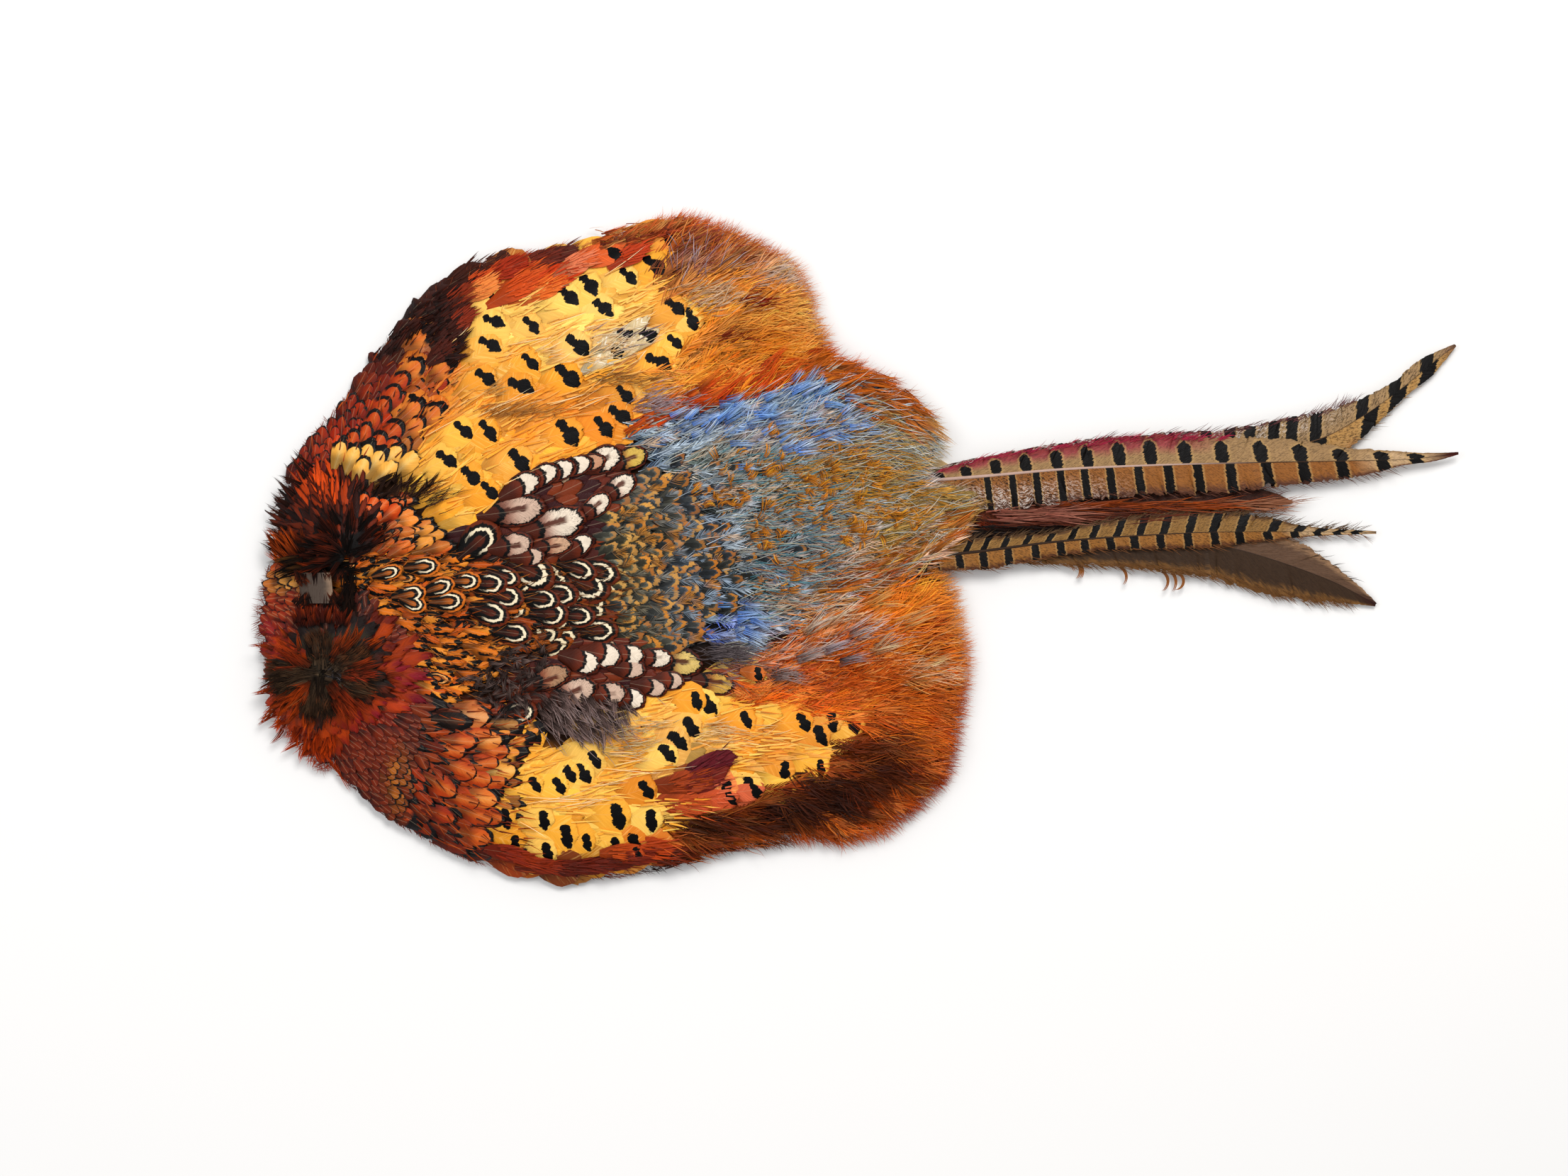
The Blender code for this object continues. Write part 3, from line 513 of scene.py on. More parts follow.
def feather(name, kind, qm=0.7, roughness=0.5, specular=0.35, streak=0.42, shaft=0.5, shaft_col=(0.75, 0.6, 0.4)):
    """Material of closed vanes. The markings are drawn on each feather, from its own coordinates."""
    g = Mat(name, roughness, specular)
    p, q, r = g.split(g.attr("fp"))
    L, W, k = g.split(g.attr("kv"))
    ca, cb = g.attr("ca", "Color"), g.attr("cb", "Color")
    t = ((q - qm) / (1 - qm)).max(0.0)
    w = (1.0 - t * t).max(0.0).sqrt()
    lat = p * w                                   # -1..1 of the full width
    rho = (lat * lat + t * t).sqrt()
    barb = q * L - lat.abs() * W * 1.1            # runs along the barbs
    side = lat * W
    n1 = g.noise(g.vec(barb * 1.1, side * 0.16, r * 61.0), 1.0, 3.0, 0.6)
    n2 = g.noise(g.vec(barb * 3.2, side * 0.3, r * 37.0), 1.0, 1.0)
    wob = g.noise(g.vec(barb * 0.55, side * 0.55, r * 91.0), 1.0, 2.0) - 0.5
    tip_mm = (1.0 - q) * L
    c, spot = ca, None
    if kind == "gold":
        # streaks of cb over ca; on the flank vanes cb carries painted highlight
        c = g.mix(c, cb, (n1 - 0.5).step(0.02, 0.16))
        # painted shade: darker towards the feather's base, where the feathers above it would shade it
        c = g.scale(c, 1.0 - (q.step(0.62, 0.30)) * 0.42)
        # a black mark near the tip, of the size k: a small lobe set back and a large one; below 0 two lobes alike
        s = (k.abs() * 1.26).max(0.001)
        u = side / s
        v = tip_mm / s
        up = k.step(-0.01, 0.01)
        rag = (n1 - 0.5) * 1.0 + wob * 0.7
        d = None
        for (cu, cv, add), (lu, lv, ladd) in (((2.5, 5.0, 0.50), (1.6, 4.2, 0.20)), ((1.1, 4.4, 0.75), (0.4, 3.9, 0.45)), ((-0.9, 3.2, -0.30), (-1.2, 3.2, -0.05)),
                                              ((-2.3, 2.7, 0.50), (-2.4, 2.8, 0.55)), ((-3.4, 2.3, 1.20), (-3.4, 2.5, 1.20))):
            du = u - (up * (cu - lu) + lu) + (r - 0.5) * 0.9
            dv = v - (up * (cv - lv) + lv) + wob * 1.4
            e = (du * du + dv * dv * 1.1).sqrt() + (up * (add - ladd) + ladd)
            d = e if d is None else d.min(e)
        d = d + rag
        spot = d.step(2.06, 1.86) * k.abs().step(0.05, 0.15)
        c = g.mix(c, tuple(lin(4, 3, 4)), spot)
        # painted shade: slightly darker at the vane's edge
        c = g.scale(c, 1.0 - (rho.step(0.86, 1.0)) * 0.06)
    elif kind == "scale":
        # copper feather with a thin dark border at its tip; k is the border's width
        c = g.mix(c, cb, (lat.abs() + wob * 0.5).step(0.55, 0.05) * 0.6)
        # painted shade: darker towards the feather's base, where the feathers above it would shade it
        c = g.scale(c, 1.0 - q.step(0.66, 0.30) * 0.65)
        edge = (rho + wob * 0.10 + k * 0.30).step(1.04, 1.10) * q.step(0.55, 0.72)
        c = g.mix(c, tuple(lin(12, 7, 8)), edge)
    elif kind == "mantle":
        # orange feather with a black drop; k above 0.3 has a pale line inside a black border
        ring = rho + wob * 0.26
        off = lat + (r - 0.5) * 0.5 + wob * 1.1
        flank_ = (off.abs() + (n1 - 0.5) * 0.25).step(0.36, 0.48) * (lat.abs() + wob * 0.6).step(0.96, 0.84)
        wedge = (off.abs() * 1.3 + (0.90 - q).abs() * 5.0 + (n1 - 0.5) * 0.5).step(0.75, 0.6) * (r * 7.0).frac().step(0.4, 0.5)
        drop = flank_.max(wedge) * q.step(0.42, 0.52)
        wide = k.step(0.27, 0.33)
        dark = drop * (1.0 - wide) + ring.step(0.86, 0.80) * wide
        pale = ring.step(0.47, 0.52) * ring.step(0.68, 0.63) * (q + wob * 0.6).step(0.34, 0.46)
        heart = ring.step(0.30, 0.22)
        c = g.mix(c, tuple(lin(9, 6, 6)), dark)
        c = g.mix(c, cb, pale * wide)
        c = g.mix(c, g.scale(ca, 0.8), heart * 0.8 * wide)
        c = g.mix(c, tuple(lin(12, 7, 6)), (rho + wob * 0.3).step(0.99, 1.04))
        # painted shade: darker towards the feather's base, where the feathers above it would shade it
        c = g.scale(c, 1.0 - q.step(0.62, 0.30) * 0.75)
    elif kind == "scapular":
        # chestnut feather with a white crescent inside its tip, open towards the base
        # (k is how far the crescent's arms reach back; k below 0 has none)
        ring = rho + wob * 0.34 + (n1 - 0.5) * 0.20
        bow = 1.0 - lat * lat * 2.0
        back_ = q + wob * 0.10 + (n1 - 0.5) * 0.06 - (bow * 0.085 - k.max(0.0) * 0.55 + 0.650)
        has = k.step(-0.4, -0.1)
        spk = g.noise(g.vec(barb * 2.6, side * 2.0, r * 17.0), 1.0, 2.0, 0.7)
        mid = ((lat - (r - 0.5) * 0.3).abs() + wob * 0.4).step(0.26, 0.12) * q.step(0.78, 0.68) * k.step(0.18, 0.32)
        c = g.mix(c, tuple(lin(26, 7, 8)), rho.step(0.88, 0.98) * 0.7)
        c = g.mix(c, tuple(lin(6, 3, 4)), ring.step(0.92, 0.86) * back_.step(-0.09, -0.05) * has)
        pale = g.mix(cb, g.scale(ca, 1.7), q.step(0.66, 0.36) * 0.8)
        pale = g.mix(pale, g.scale(ca, 0.5), mid * 0.95)
        pale = g.scale(pale, 0.74 + n1 * 0.5)
        pale = g.mix(pale, tuple(lin(20, 10, 9)), (spk - 0.5).step(0.06, 0.12) * ring.step(0.3, 0.8) * k.step(0.1, 0.3))
        c = g.mix(c, pale, ring.step(0.80, 0.74) * back_.step(0.0, 0.025) * has)
        c = g.mix(c, tuple(lin(14, 7, 8)), (rho + wob * 0.2).step(0.96, 1.02))
        # painted shade: darker towards the feather's base, where the feathers above it would shade it
        c = g.scale(c, 1.0 - q.step(0.56, 0.28) * 0.6)
    elif kind == "back":
        ring = rho + wob * 0.55 + (n1 - 0.5) * 0.25
        band = ring.step(0.50, 0.58) * ring.step(0.90, 0.82) * q.step(0.46, 0.62)
        c = g.mix(c, tuple(lin(12, 11, 10)), ring.step(0.46, 0.30) * 0.6)
        c = g.mix(c, cb, band * k)
        c = g.mix(c, tuple(lin(14, 13, 15)), (ring - 0.96).abs().step(0.07, 0.02) * 0.8)
        # painted shade: darker towards the feather's base, where the feathers above it would shade it
        c = g.scale(c, 1.0 - q.step(0.6, 0.3) * 0.5)
    c = g.scale(c, 1.0 - streak * 0.5 + n1 * streak)
    c = g.scale(c, 0.88 + n2 * 0.24)
    if shaft:
        line = side.abs().step(0.20, 0.06) * q.step(0.995, 0.93)
        if spot is not None:
            line = line * (1.0 - spot)
        c = g.mix(c, shaft_col, line * shaft)
    g.colour(c)
    g.bump(n1 * 0.7 + n2 * 0.5, 0.55, 0.00035)
    return g.m


def strand_material(name, roughness=0.5, specular=0.3, sheen=0.0):
    g = Mat(name, roughness, specular, sheen)
    n = g.noise(g.place(), 900.0, 2.0)
    g.colour(g.scale(g.attr("col", "Color"), 0.86 + n * 0.28))
    return g.m


# ================================================================ colours of the plumage
def tint(x, y, palette, patches=(), spread=0.06):
    """A colour for each feather: one of a small palette, drawn towards the patches that it lies in."""
    pal = np.array([lin(p) for p in palette])
    c = pal[rng.integers(0, len(pal), len(x))]
    for px, py, rx, ry, col, k in patches:
        c = blend(c, lin(col), k * near(x, y, px, py, rx, ry, 1.5))
    return np.clip(c * rng.normal(1, spread, (len(x), 1)), 0, 1)


GOLD = [(248, 184, 76), (245, 172, 60), (240, 158, 46), (251, 198, 98)]
UPPER_GOLD = [
    (800, 440, 130, 50, (250, 208, 120), 0.55), (700, 440, 60, 50, (246, 194, 96), 0.6), (800, 380, 100, 20, (246, 192, 104), 0.5), (700, 520, 60, 40, (238, 160, 60), 0.6), (560, 600, 20, 20, (240, 180, 90), 0.5),
    (780, 575, 110, 40, (226, 136, 42), 0.75), (870, 590, 50, 35, (226, 130, 40), 0.7),
    (740, 640, 60, 45, (232, 146, 46), 0.7), (640, 655, 50, 45, (243, 180, 70), 0.6),
    (920, 520, 40, 30, (228, 140, 45), 0.7), (940, 440, 40, 50, (234, 168, 78), 0.6),
    (880, 485, 44, 22, (226, 204, 160), 0.6), (618, 560, 34, 50, (206, 92, 30), 0.8), (604, 466, 30, 24, (196, 96, 50), 0.95), (638, 512, 22, 20, (214, 96, 34), 0.8), (592, 510, 20, 18, (176, 60, 20), 0.9),
    (600, 620, 30, 30, (228, 140, 44), 0.7), (745, 382, 30, 16, (186, 60, 26), 0.85),
    (700, 392, 26, 14, (176, 58, 28), 0.8), (636, 448, 26, 34, (58, 24, 16), 0.95),
    (690, 380, 44, 13, (84, 28, 14), 0.97), (765, 360, 46, 10, (140, 44, 20), 0.96), (846, 344, 50, 9, (190, 88, 34), 0.85), (936, 322, 44, 14, (200, 104, 40), 0.85), (880, 545, 40, 18, (150, 110, 60), 0.35),
    (715, 585, 50, 10, (150, 104, 52), 0.4)]
LOWER_GOLD = [
    (830, 1110, 70, 40, (245, 190, 84), 0.5), (760, 1120, 40, 60, (240, 180, 70), 0.5),
    (950, 1020, 60, 30, (248, 198, 108), 0.5), (1000, 1040, 40, 24, (236, 190, 120), 0.4),
    (1110, 1030, 60, 24, (240, 160, 72), 0.5), (985, 1082, 34, 22, (120, 34, 20), 0.9),
    (960, 1110, 40, 20, (176, 74, 28), 0.7), (1035, 1118, 34, 20, (226, 112, 76), 0.7),
    (1120, 1075, 50, 18, (214, 130, 76), 0.6), (760, 1226, 50, 18, (140, 44, 16), 0.97), (830, 1234, 60, 16, (110, 34, 14), 0.98),
    (900, 1230, 60, 18, (110, 36, 14), 0.98), (870, 1246, 100, 14, (100, 32, 14), 0.98), (975, 1216, 60, 20, (116, 42, 18), 0.99), (946, 1226, 40, 16, (90, 30, 12), 0.98), (700, 1130, 24, 60, (208, 96, 40), 0.6),
    (940, 1190, 40, 16, (204, 96, 40), 0.7), (1190, 1030, 30, 30, (190, 104, 42), 0.6)]

TRACT = {
    "upper_flank": [(640, 395), (692, 372), (733, 365), (788, 350), (843, 343), (905, 326), (938, 315),
                    (950, 340), (948, 370), (952, 418), (996, 462), (962, 507), (960, 540), (925, 590),
                    (857, 626), (802, 654), (747, 671), (706, 702), (680, 735), (640, 728), (590, 690),
                    (592, 640), (590, 600), (612, 548), (630, 493), (655, 445)],
    "upper_breast": [(405, 665), (412, 640), (440, 607), (485, 561), (516, 520), (534, 493), (561, 462),
                     (596, 421), (623, 400), (651, 391), (690, 375), (672, 418), (668, 450), (650, 493),
                     (640, 548), (625, 590), (600, 620), (575, 640), (540, 655), (480, 655), (430, 668)],
    "lower_flank": [(745, 1040), (800, 1062), (857, 1066), (892, 1015), (905, 990), (954, 972), (1002, 978),
                    (1036, 985), (1100, 1000), (1180, 1005), (1215, 1018), (1195, 1050), (1150, 1085),
                    (1080, 1118), (1000, 1145), (940, 1180), (926, 1226), (871, 1235), (802, 1239),
                    (740, 1231), (722, 1190), (730, 1150), (738, 1100)],
    "lower_breast": [(592, 1030), (612, 1000), (640, 990), (692, 985), (735, 1005), (752, 1040), (745, 1100),
                     (740, 1150), (745, 1232), (664, 1215), (609, 1189), (578, 1172), (582, 1130), (588, 1080)],
    "mantle": [(500, 795), (547, 765), (609, 778), (664, 781), (706, 785), (733, 792), (802, 795), (857, 792),
               (880, 810), (882, 852), (878, 886), (830, 900), (760, 925), (700, 965), (650, 990),
               (625, 985), (616, 941), (595, 910), (578, 879), (550, 858), (515, 835)],
    "upper_scap": [(655, 745), (692, 728), (706, 700), (747, 669), (802, 652), (857, 626), (896, 619),
                   (915, 631), (912, 659), (894, 695), (866, 741), (857, 785), (802, 790), (733, 787),
                   (706, 780), (664, 776)],
    "lower_scap": [(740, 940), (802, 905), (871, 890), (975, 912), (990, 925), (985, 958), (954, 965),
                   (905, 980), (885, 995), (820, 990), (765, 985), (735, 965)],
    "back": [(868, 770), (878, 720), (905, 680), (935, 655), (985, 690), (1020, 740), (1042, 800),
             (1034, 850), (1015, 895), (990, 918), (930, 908), (876, 892), (880, 850), (876, 803)],
    "rump": [(930, 655), (905, 622), (915, 590), (960, 574), (1029, 562), (1084, 552), (1133, 535),
             (1175, 525), (1208, 535), (1250, 555), (1284, 578), (1308, 600), (1326, 630), (1342, 660),
             (1370, 706), (1340, 765), (1300, 800), (1262, 816), (1195, 845), (1140, 872), (1098, 896),
             (1050, 922), (1012, 918), (1035, 860), (1045, 800), (1020, 740), (985, 690)],
    "upper_fluff": [(945, 316), (965, 312), (988, 316), (1036, 332), (1080, 356), (1115, 380), (1133, 413),
                    (1138, 447), (1155, 482), (1160, 510), (1133, 530), (1084, 548), (1029, 562), (960, 580),
                    (925, 590), (950, 545), (958, 507), (991, 462), (948, 418), (946, 370), (950, 340)],
    "lower_fluff": [(1030, 948), (1060, 925), (1110, 900), (1150, 876), (1205, 850), (1270, 826), (1312, 818),
                    (1326, 822), (1338, 866), (1348, 934), (1342, 989), (1336, 1035), (1320, 1086),
                    (1288, 1124), (1243, 1160), (1190, 1178), (1146, 1175), (1098, 1184), (1029, 1192),
                    (974, 1206), (932, 1220), (944, 1182), (1000, 1148), (1080, 1118), (1150, 1085),
                    (1195, 1050), (1215, 1018), (1180, 1005), (1100, 1000), (1036, 985), (1040, 965)],
    "throat": [(480, 1072), (500, 1045), (560, 1035), (598, 1010), (600, 1060), (592, 1120), (580, 1168),
               (554, 1158), (522, 1131), (495, 1103)],
}

# ================================================================ materials in use
mat_gold = feather("flank_vane", "gold", qm=0.62, roughness=0.46, streak=0.20, shaft=0.10, shaft_col=(0.8, 0.6, 0.36))
mat_scale = feather("copper_vane", "scale", qm=0.62, roughness=0.38, specular=0.5, streak=0.40, shaft=0.12)
mat_mantle = feather("mantle_vane", "mantle", qm=0.55, roughness=0.5, streak=0.36, shaft=0.10)
mat_scap = feather("scapular_vane", "scapular", qm=0.6, roughness=0.42, specular=0.45, streak=0.25, shaft=0.15)
mat_back = feather("back_vane", "back", qm=0.5, roughness=0.5, streak=0.5, shaft=0.0)
mat_barb = strand_material("loose_barbs", 0.5, 0.30)
mat_down = strand_material("down", 0.75, 0.15, 0.1)


# ================================================================ under-plumage
def over_quills(x, y, a=0.0, L=0.0):
    """True where a feather would cross the gap in which the top tail feather's base shows."""
    hit = np.zeros(np.shape(x), bool)
    for f in (0.0, 0.3, 0.6):
        qx, qy = x - np.cos(np.radians(a)) * L * f, y + np.sin(np.radians(a)) * L * f
        hit |= np.hypot((qx - 1338) / 32, (qy - 675) / 12) < 1
    return hit


def bed():
    step = 9.0
    gx, gy = np.meshgrid(np.arange(345, 1410, step), np.arange(295, 1260, step))
    d = inside(gx, gy, OUTLINE)
    ok = d > 5
    dd = np.clip(d, 0, None) * U
    z = np.minimum(sample(SURF, gx, gy) - 0.0026, 0.0016 + (dd - 5 * U) * 1.1)
    # over the bases of the tail feathers it stays above them
    z = np.where((gx > 1236) & (gy > 640) & (gy < 822), np.maximum(z, 0.0102), z)
    z = np.maximum(z, 0.0016)
    ok &= ~((gx > 1338) & (gy > 640) & (gy < 822)) & ~over_quills(gx, gy)
    idx = np.arange(gx.size).reshape(gx.shape)
    cell = ok[:-1, :-1] & ok[1:, :-1] & ok[1:, 1:] & ok[:-1, 1:]
    quads = np.stack([idx[:-1, :-1], idx[1:, :-1], idx[1:, 1:], idx[:-1, 1:]], -1)[cell]
    used, inv = np.unique(quads, return_inverse=True)
    x, y = gx.ravel()[used], gy.ravel()[used]
    c = np.tile(lin(42, 26, 16), (len(x), 1))
    for ring, col in ((TRACT["upper_flank"], (170, 110, 44)), (TRACT["lower_flank"], (170, 106, 44)),
                      (TRACT["upper_fluff"], (150, 84, 36)), (TRACT["lower_fluff"], (104, 46, 16)),
                      (TRACT["rump"], (40, 42, 50)), (TRACT["back"], (26, 25, 24)), (TRACT["upper_breast"], (96, 34, 12)),
                      (TRACT["lower_breast"], (96, 36, 16)), (TRACT["throat"], (52, 16, 8))):
        c = blend(c, lin(col), np.clip(inside(x, y, np.array(ring, float)) / 14 + 0.5, 0, 1))
    c = blend(c, lin(34, 16, 8), np.clip((1060 - x) / 60 + (y - 1120) / 30, 0, 1) * (x > 980) * (y > 1110))
    b = Buf()
    b.add(np.column_stack([x, y, z.ravel()[used]]), quads=inv.reshape(-1, 4), col=rgba(c))
    return b.build("under_plumage", mat_down)


bed_obj = bed()

# ================================================================ flanks
SPOTS_UP = np.array([
    (602, 463, 0.7), (636, 509, 0.85), (591, 509, 0.6), (736, 371, 0.7), (806, 368, 0.8), (856, 360, 0.9), (733, 400, 0.75),
    (700, 422, 0.75), (833, 402, 1.0), (886, 390, 0.9), (804, 418, 0.95), (851, 433, 1.0), (700, 454, 0.8), (751, 459, 0.8),
    (694, 488, 0.9), (818, 487, 1.1), (750, 513, 0.85), (688, 532, 0.85), (739, 544, 0.95), (806, 532, 1.1), (926, 374, 1.0),
    (943, 335, 1.0), (953, 435, 1.0), (978, 452, 0.8), (930, 511, 1.15), (876, 585, 1.05), (853, 603, 1.0), (805, 611, 1.25),
    (691, 610, 0.95), (656, 606, 0.85), (593, 565, 0.7), (621, 572, 0.7), (634, 647, 0.8), (667, 672, 1.05), (693, 693, 0.9),
    (735, 649, 1.15), (953, 484, 0.7), (884, 556, 0.7)], float)
SPOTS_LOW = np.array([
    (755, 1106, 0.75), (789, 1106, 0.85), (805, 1089, 0.75), (825, 1089, 0.85), (839, 1070, 0.9), (768, 1154, 0.9),
    (801, 1176, 0.95), (828, 1186, 0.7), (872, 1149, 1.25), (773, 1202, 0.75), (868, 1193, 0.8), (897, 1190, 0.95),
    (744, 1219, 0.6), (918, 1156, 1.1), (911, 1111, 0.95), (941, 1063, 1.05), (957, 1045, 1.05), (975, 1022, 1.0),
    (982, 988, 0.9), (1000, 992, 1.0), (1068, 954, 0.9), (1052, 1015, 0.85), (1132, 1016, 0.95), (1157, 1034, 0.9),
    (1174, 1015, 0.9), (1204, 1020, 0.9), (1238, 1003, 0.8), (1107, 1086, 0.8), (1157, 1081, 0.7), (1027, 1115, 0.8),
    (1061, 1109, 0.85), (1113, 1115, 0.6), (943, 1194, 0.6), (755, 1036, 0.9), (731, 1027, 0.8),
    (728, 1188, 0.7), (716, 1153, 0.7), (855, 1215, 0.6), (812, 1226, 0.5)], float)


def off_marks(x, y, a, L, reach=17.0):
    """True where a strand from x, y stays off the black marks."""
    ok = np.ones(len(x), bool)
    for f in (0.0, 0.25, 0.5, 0.75, 1.0):
        qx, qy = x + np.cos(np.radians(a)) * L * f, y - np.sin(np.radians(a)) * L * f
        for spots in (SPOTS_UP, SPOTS_LOW):
            ok &= (np.hypot(qx[:, None] - spots[:, 0], qy[:, None] - spots[:, 1]) > reach * (0.3 + 0.7 * spots[:, 2])).all(1)
    return ok


def flank(name, ring, spots, patches, hand, node, extra=()):
    b = Buf()
    x, y = scatter(ring, 25, 21, 0.4)
    a = flow(x, y, 6)
    # the side near the neck has smaller feathers than the side near the tail
    size = np.clip(0.62 + (x - 600) / 650, 0.62, 1.1)
    x, y = reined(x + np.cos(np.radians(a)) * 10, y - np.sin(np.radians(a)) * 10, a, 0, OUTLINE, 4)
    keep = inside(x, y, OUTLINE) > 14
    x, y, a, size = x[keep], y[keep], a[keep], size[keep]
    # clump adds painted light and shade over clumps of feathers
    c = tint(x, y, GOLD, patches, 0.10) * clump(x, y, 46, 0.16)
    # painted highlight: cream mixed into the streak colour stands in for the gloss on the gold feathers
    c2 = blend(np.clip(c * 1.12, 0, 1), lin(254, 222, 146), rng.uniform(0, 0.45, len(x)) * np.clip((c[:, 0] - 0.45) * 3, 0, 1))
    vanes(b, x, y, a, rng.uniform(78, 100, len(x)) * size, rng.uniform(23, 30, len(x)) * size, c, c2, 0.0, qm=0.62,
          rows=(3, 8), cols=9, lift=rng.uniform(-0.0004, 0.0002, len(x)), slope=0.050, jag=0.05, dome=0.10, point=1.4)
    sx, sy, k = spots.T
    k = 0.30 + 0.78 * k
    a = flow(sx, sy, 10)
    tx, ty = sx + np.cos(np.radians(a)) * 15 * k, sy - np.sin(np.radians(a)) * 15 * k
    c = tint(tx, ty, GOLD, patches)
    # painted highlight on the marked feathers too
    c2 = blend(np.clip(c * 1.1, 0, 1), lin(250, 212, 130), rng.uniform(0, 0.4, len(k)))
    vanes(b, tx, ty, a, 64 + 28 * k, (19 + 15 * k) * rng.uniform(0.8, 1.15, len(k)), c, c2, k * rng.uniform(0.8, 1.0, len(k)) * hand, qm=0.62, rows=(4, 8), cols=9,
          lift=rng.uniform(0.0006, 0.0009, len(k)), slope=0.07, jag=0.02, dome=0.10, point=1.9)
    for j, (ex, ey, ea, eL, eW, col, k_) in enumerate(extra):
        vanes(b, [ex + 3], [ey], ea, eL * 1.12, eW * 1.05, lin(*col), np.clip(lin(*col) * 1.3, 0, 1), k_ * hand, qm=0.62, rows=(4, 8), cols=9, lift=0.0010 + 0.00008 * j, slope=0.07, jag=0.04, dome=0.12,
              point=1.25 if k_ == 0 else 1.8)
    o = b.build(name, mat_gold)
    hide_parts(node)
    # soft, separate barbs over the vanes, except on the black marks
    b = Buf()
    x, y = scatter(ring, 11, 8, 0.5)
    a = flow(x, y, 9)
    L = rng.uniform(22, 46, len(x))
    clear = np.ones(len(x), bool)
    for f in (0.0, 0.35, 0.7, 1.0):
        qx, qy = x + np.cos(np.radians(a)) * L * f, y - np.sin(np.radians(a)) * L * f
        clear &= (np.hypot(qx[:, None] - sx, qy[:, None] - sy) > 15 * k + 2).all(1)
        for ex, ey, ea, eL, eW, col, k_ in extra:
            if sum(col) < 260:
                mx, my = ex - math.cos(math.radians(ea)) * eL * 0.35, ey + math.sin(math.radians(ea)) * eL * 0.35
                clear &= np.hypot(qx - mx, qy - my) > 24
            if k_:
                clear &= np.hypot(qx - ex + 12 * math.cos(math.radians(ea)), qy - ey - 12 * math.sin(math.radians(ea))) > 20
    # none runs out over the neighbouring plumage
    clear &= inside(x + np.cos(np.radians(a)) * L, y - np.sin(np.radians(a)) * L, np.array(ring, float)) > -8
    x, y, a, L = x[clear], y[clear], a[clear], L[clear]
    n = len(x)
    c = tint(x, y, GOLD, patches, 0.10)
    strands(b, x, y, surf(x, y) + rng.uniform(0.0002, 0.0010, n), a, L, rng.uniform(0.0006, 0.0011, n), c * rng.uniform(0.86, 1.04, (n, 1)),
            blend(c, lin(252, 214, 140), rng.uniform(0, 1, n) ** 3 * 0.6), bend=rng.normal(0, 8, n), rise=0.015, droop=0.04, tilt=0.2)
    m = 44
    i = rng.choice(np.flatnonzero((x < 1000) & (inside(x + np.cos(np.radians(a)) * 90, y - np.sin(np.radians(a)) * 90, np.array(ring, float)) > 4)), m)
    L = rng.uniform(44, 90, m)
    i, L = i[off_marks(x[i], y[i], a[i], L)], L[off_marks(x[i], y[i], a[i], L)]
    strands(b, x[i], y[i], surf(x[i], y[i]) + 0.0014, a[i], L, 0.00032, lin(236, 190, 120), lin(255, 240, 205), bend=rng.normal(0, 6, len(i)), rise=0.02, droop=0.03, segs=5)
    for j, (ex, ey, ea, eL, eW, col, k_) in enumerate(extra):
        m = 36 if k_ == 0 else 12
        f, p = rng.uniform(0.3, 0.9, m) if k_ == 0 else rng.uniform(0.15, 0.4, m), rng.uniform(-0.75, 0.75, m)
        ca_, sa_ = math.cos(math.radians(ea)), math.sin(math.radians(ea))
        x, y = ex - ca_ * eL * (1 - f) - sa_ * p * eW, ey + sa_ * eL * (1 - f) - ca_ * p * eW
        strands(b, x, y, surf(x, y) + 0.0013 + 0.00008 * j, ea + p * 16 + rng.normal(0, 3, m), rng.uniform(12, 26, m), 0.0006, lin(*col) * rng.uniform(0.7, 1.1, (m, 1)),
                np.clip(lin(*col) * rng.uniform(0.9, 1.5, (m, 1)), 0, 1), rise=0.0, droop=0.05, tilt=0.2)
    b.build(name.replace("vanes", "barbs"), mat_barb)
    return o


flank("upper_flank_vanes", TRACT["upper_flank"], SPOTS_UP, UPPER_GOLD, 1, "upper_flank_feathers", [
    (676, 372, 34, 60, 16, (58, 24, 14), 0), (716, 360, 22, 64, 13, (66, 30, 20), 0), (706, 382, 28, 66, 17, (184, 70, 24), 0), (664, 408, 34, 56, 16, (120, 40, 16), 0),
    (812, 350, 16, 84, 12, (84, 34, 24), 0), (786, 358, 20, 70, 16, (100, 36, 22), 0), (770, 378, 22, 70, 17, (200, 84, 34), 0), (816, 376, 24, 96, 19, (186, 58, 18), 0), (800, 392, 24, 84, 15, (214, 104, 40), 0),
    (652, 430, 36, 50, 15, (60, 24, 16), 0), (648, 462, 38, 46, 14, (54, 22, 15), 0), (636, 484, 40, 42, 13, (70, 26, 16), 0), (668, 440, 32, 46, 13, (120, 40, 18), 0), (700, 396, 26, 54, 15, (222, 130, 64), 0),
    (742, 366, 24, 70, 15, (150, 44, 18), 0), (760, 392, 24, 76, 15, (196, 76, 26), 0), (838, 362, 20, 60, 14, (214, 120, 82), 0), (876, 351, 18, 74, 17, (204, 92, 44), 0.85), (914, 348, 24, 60, 13, (176, 60, 26), 0)])
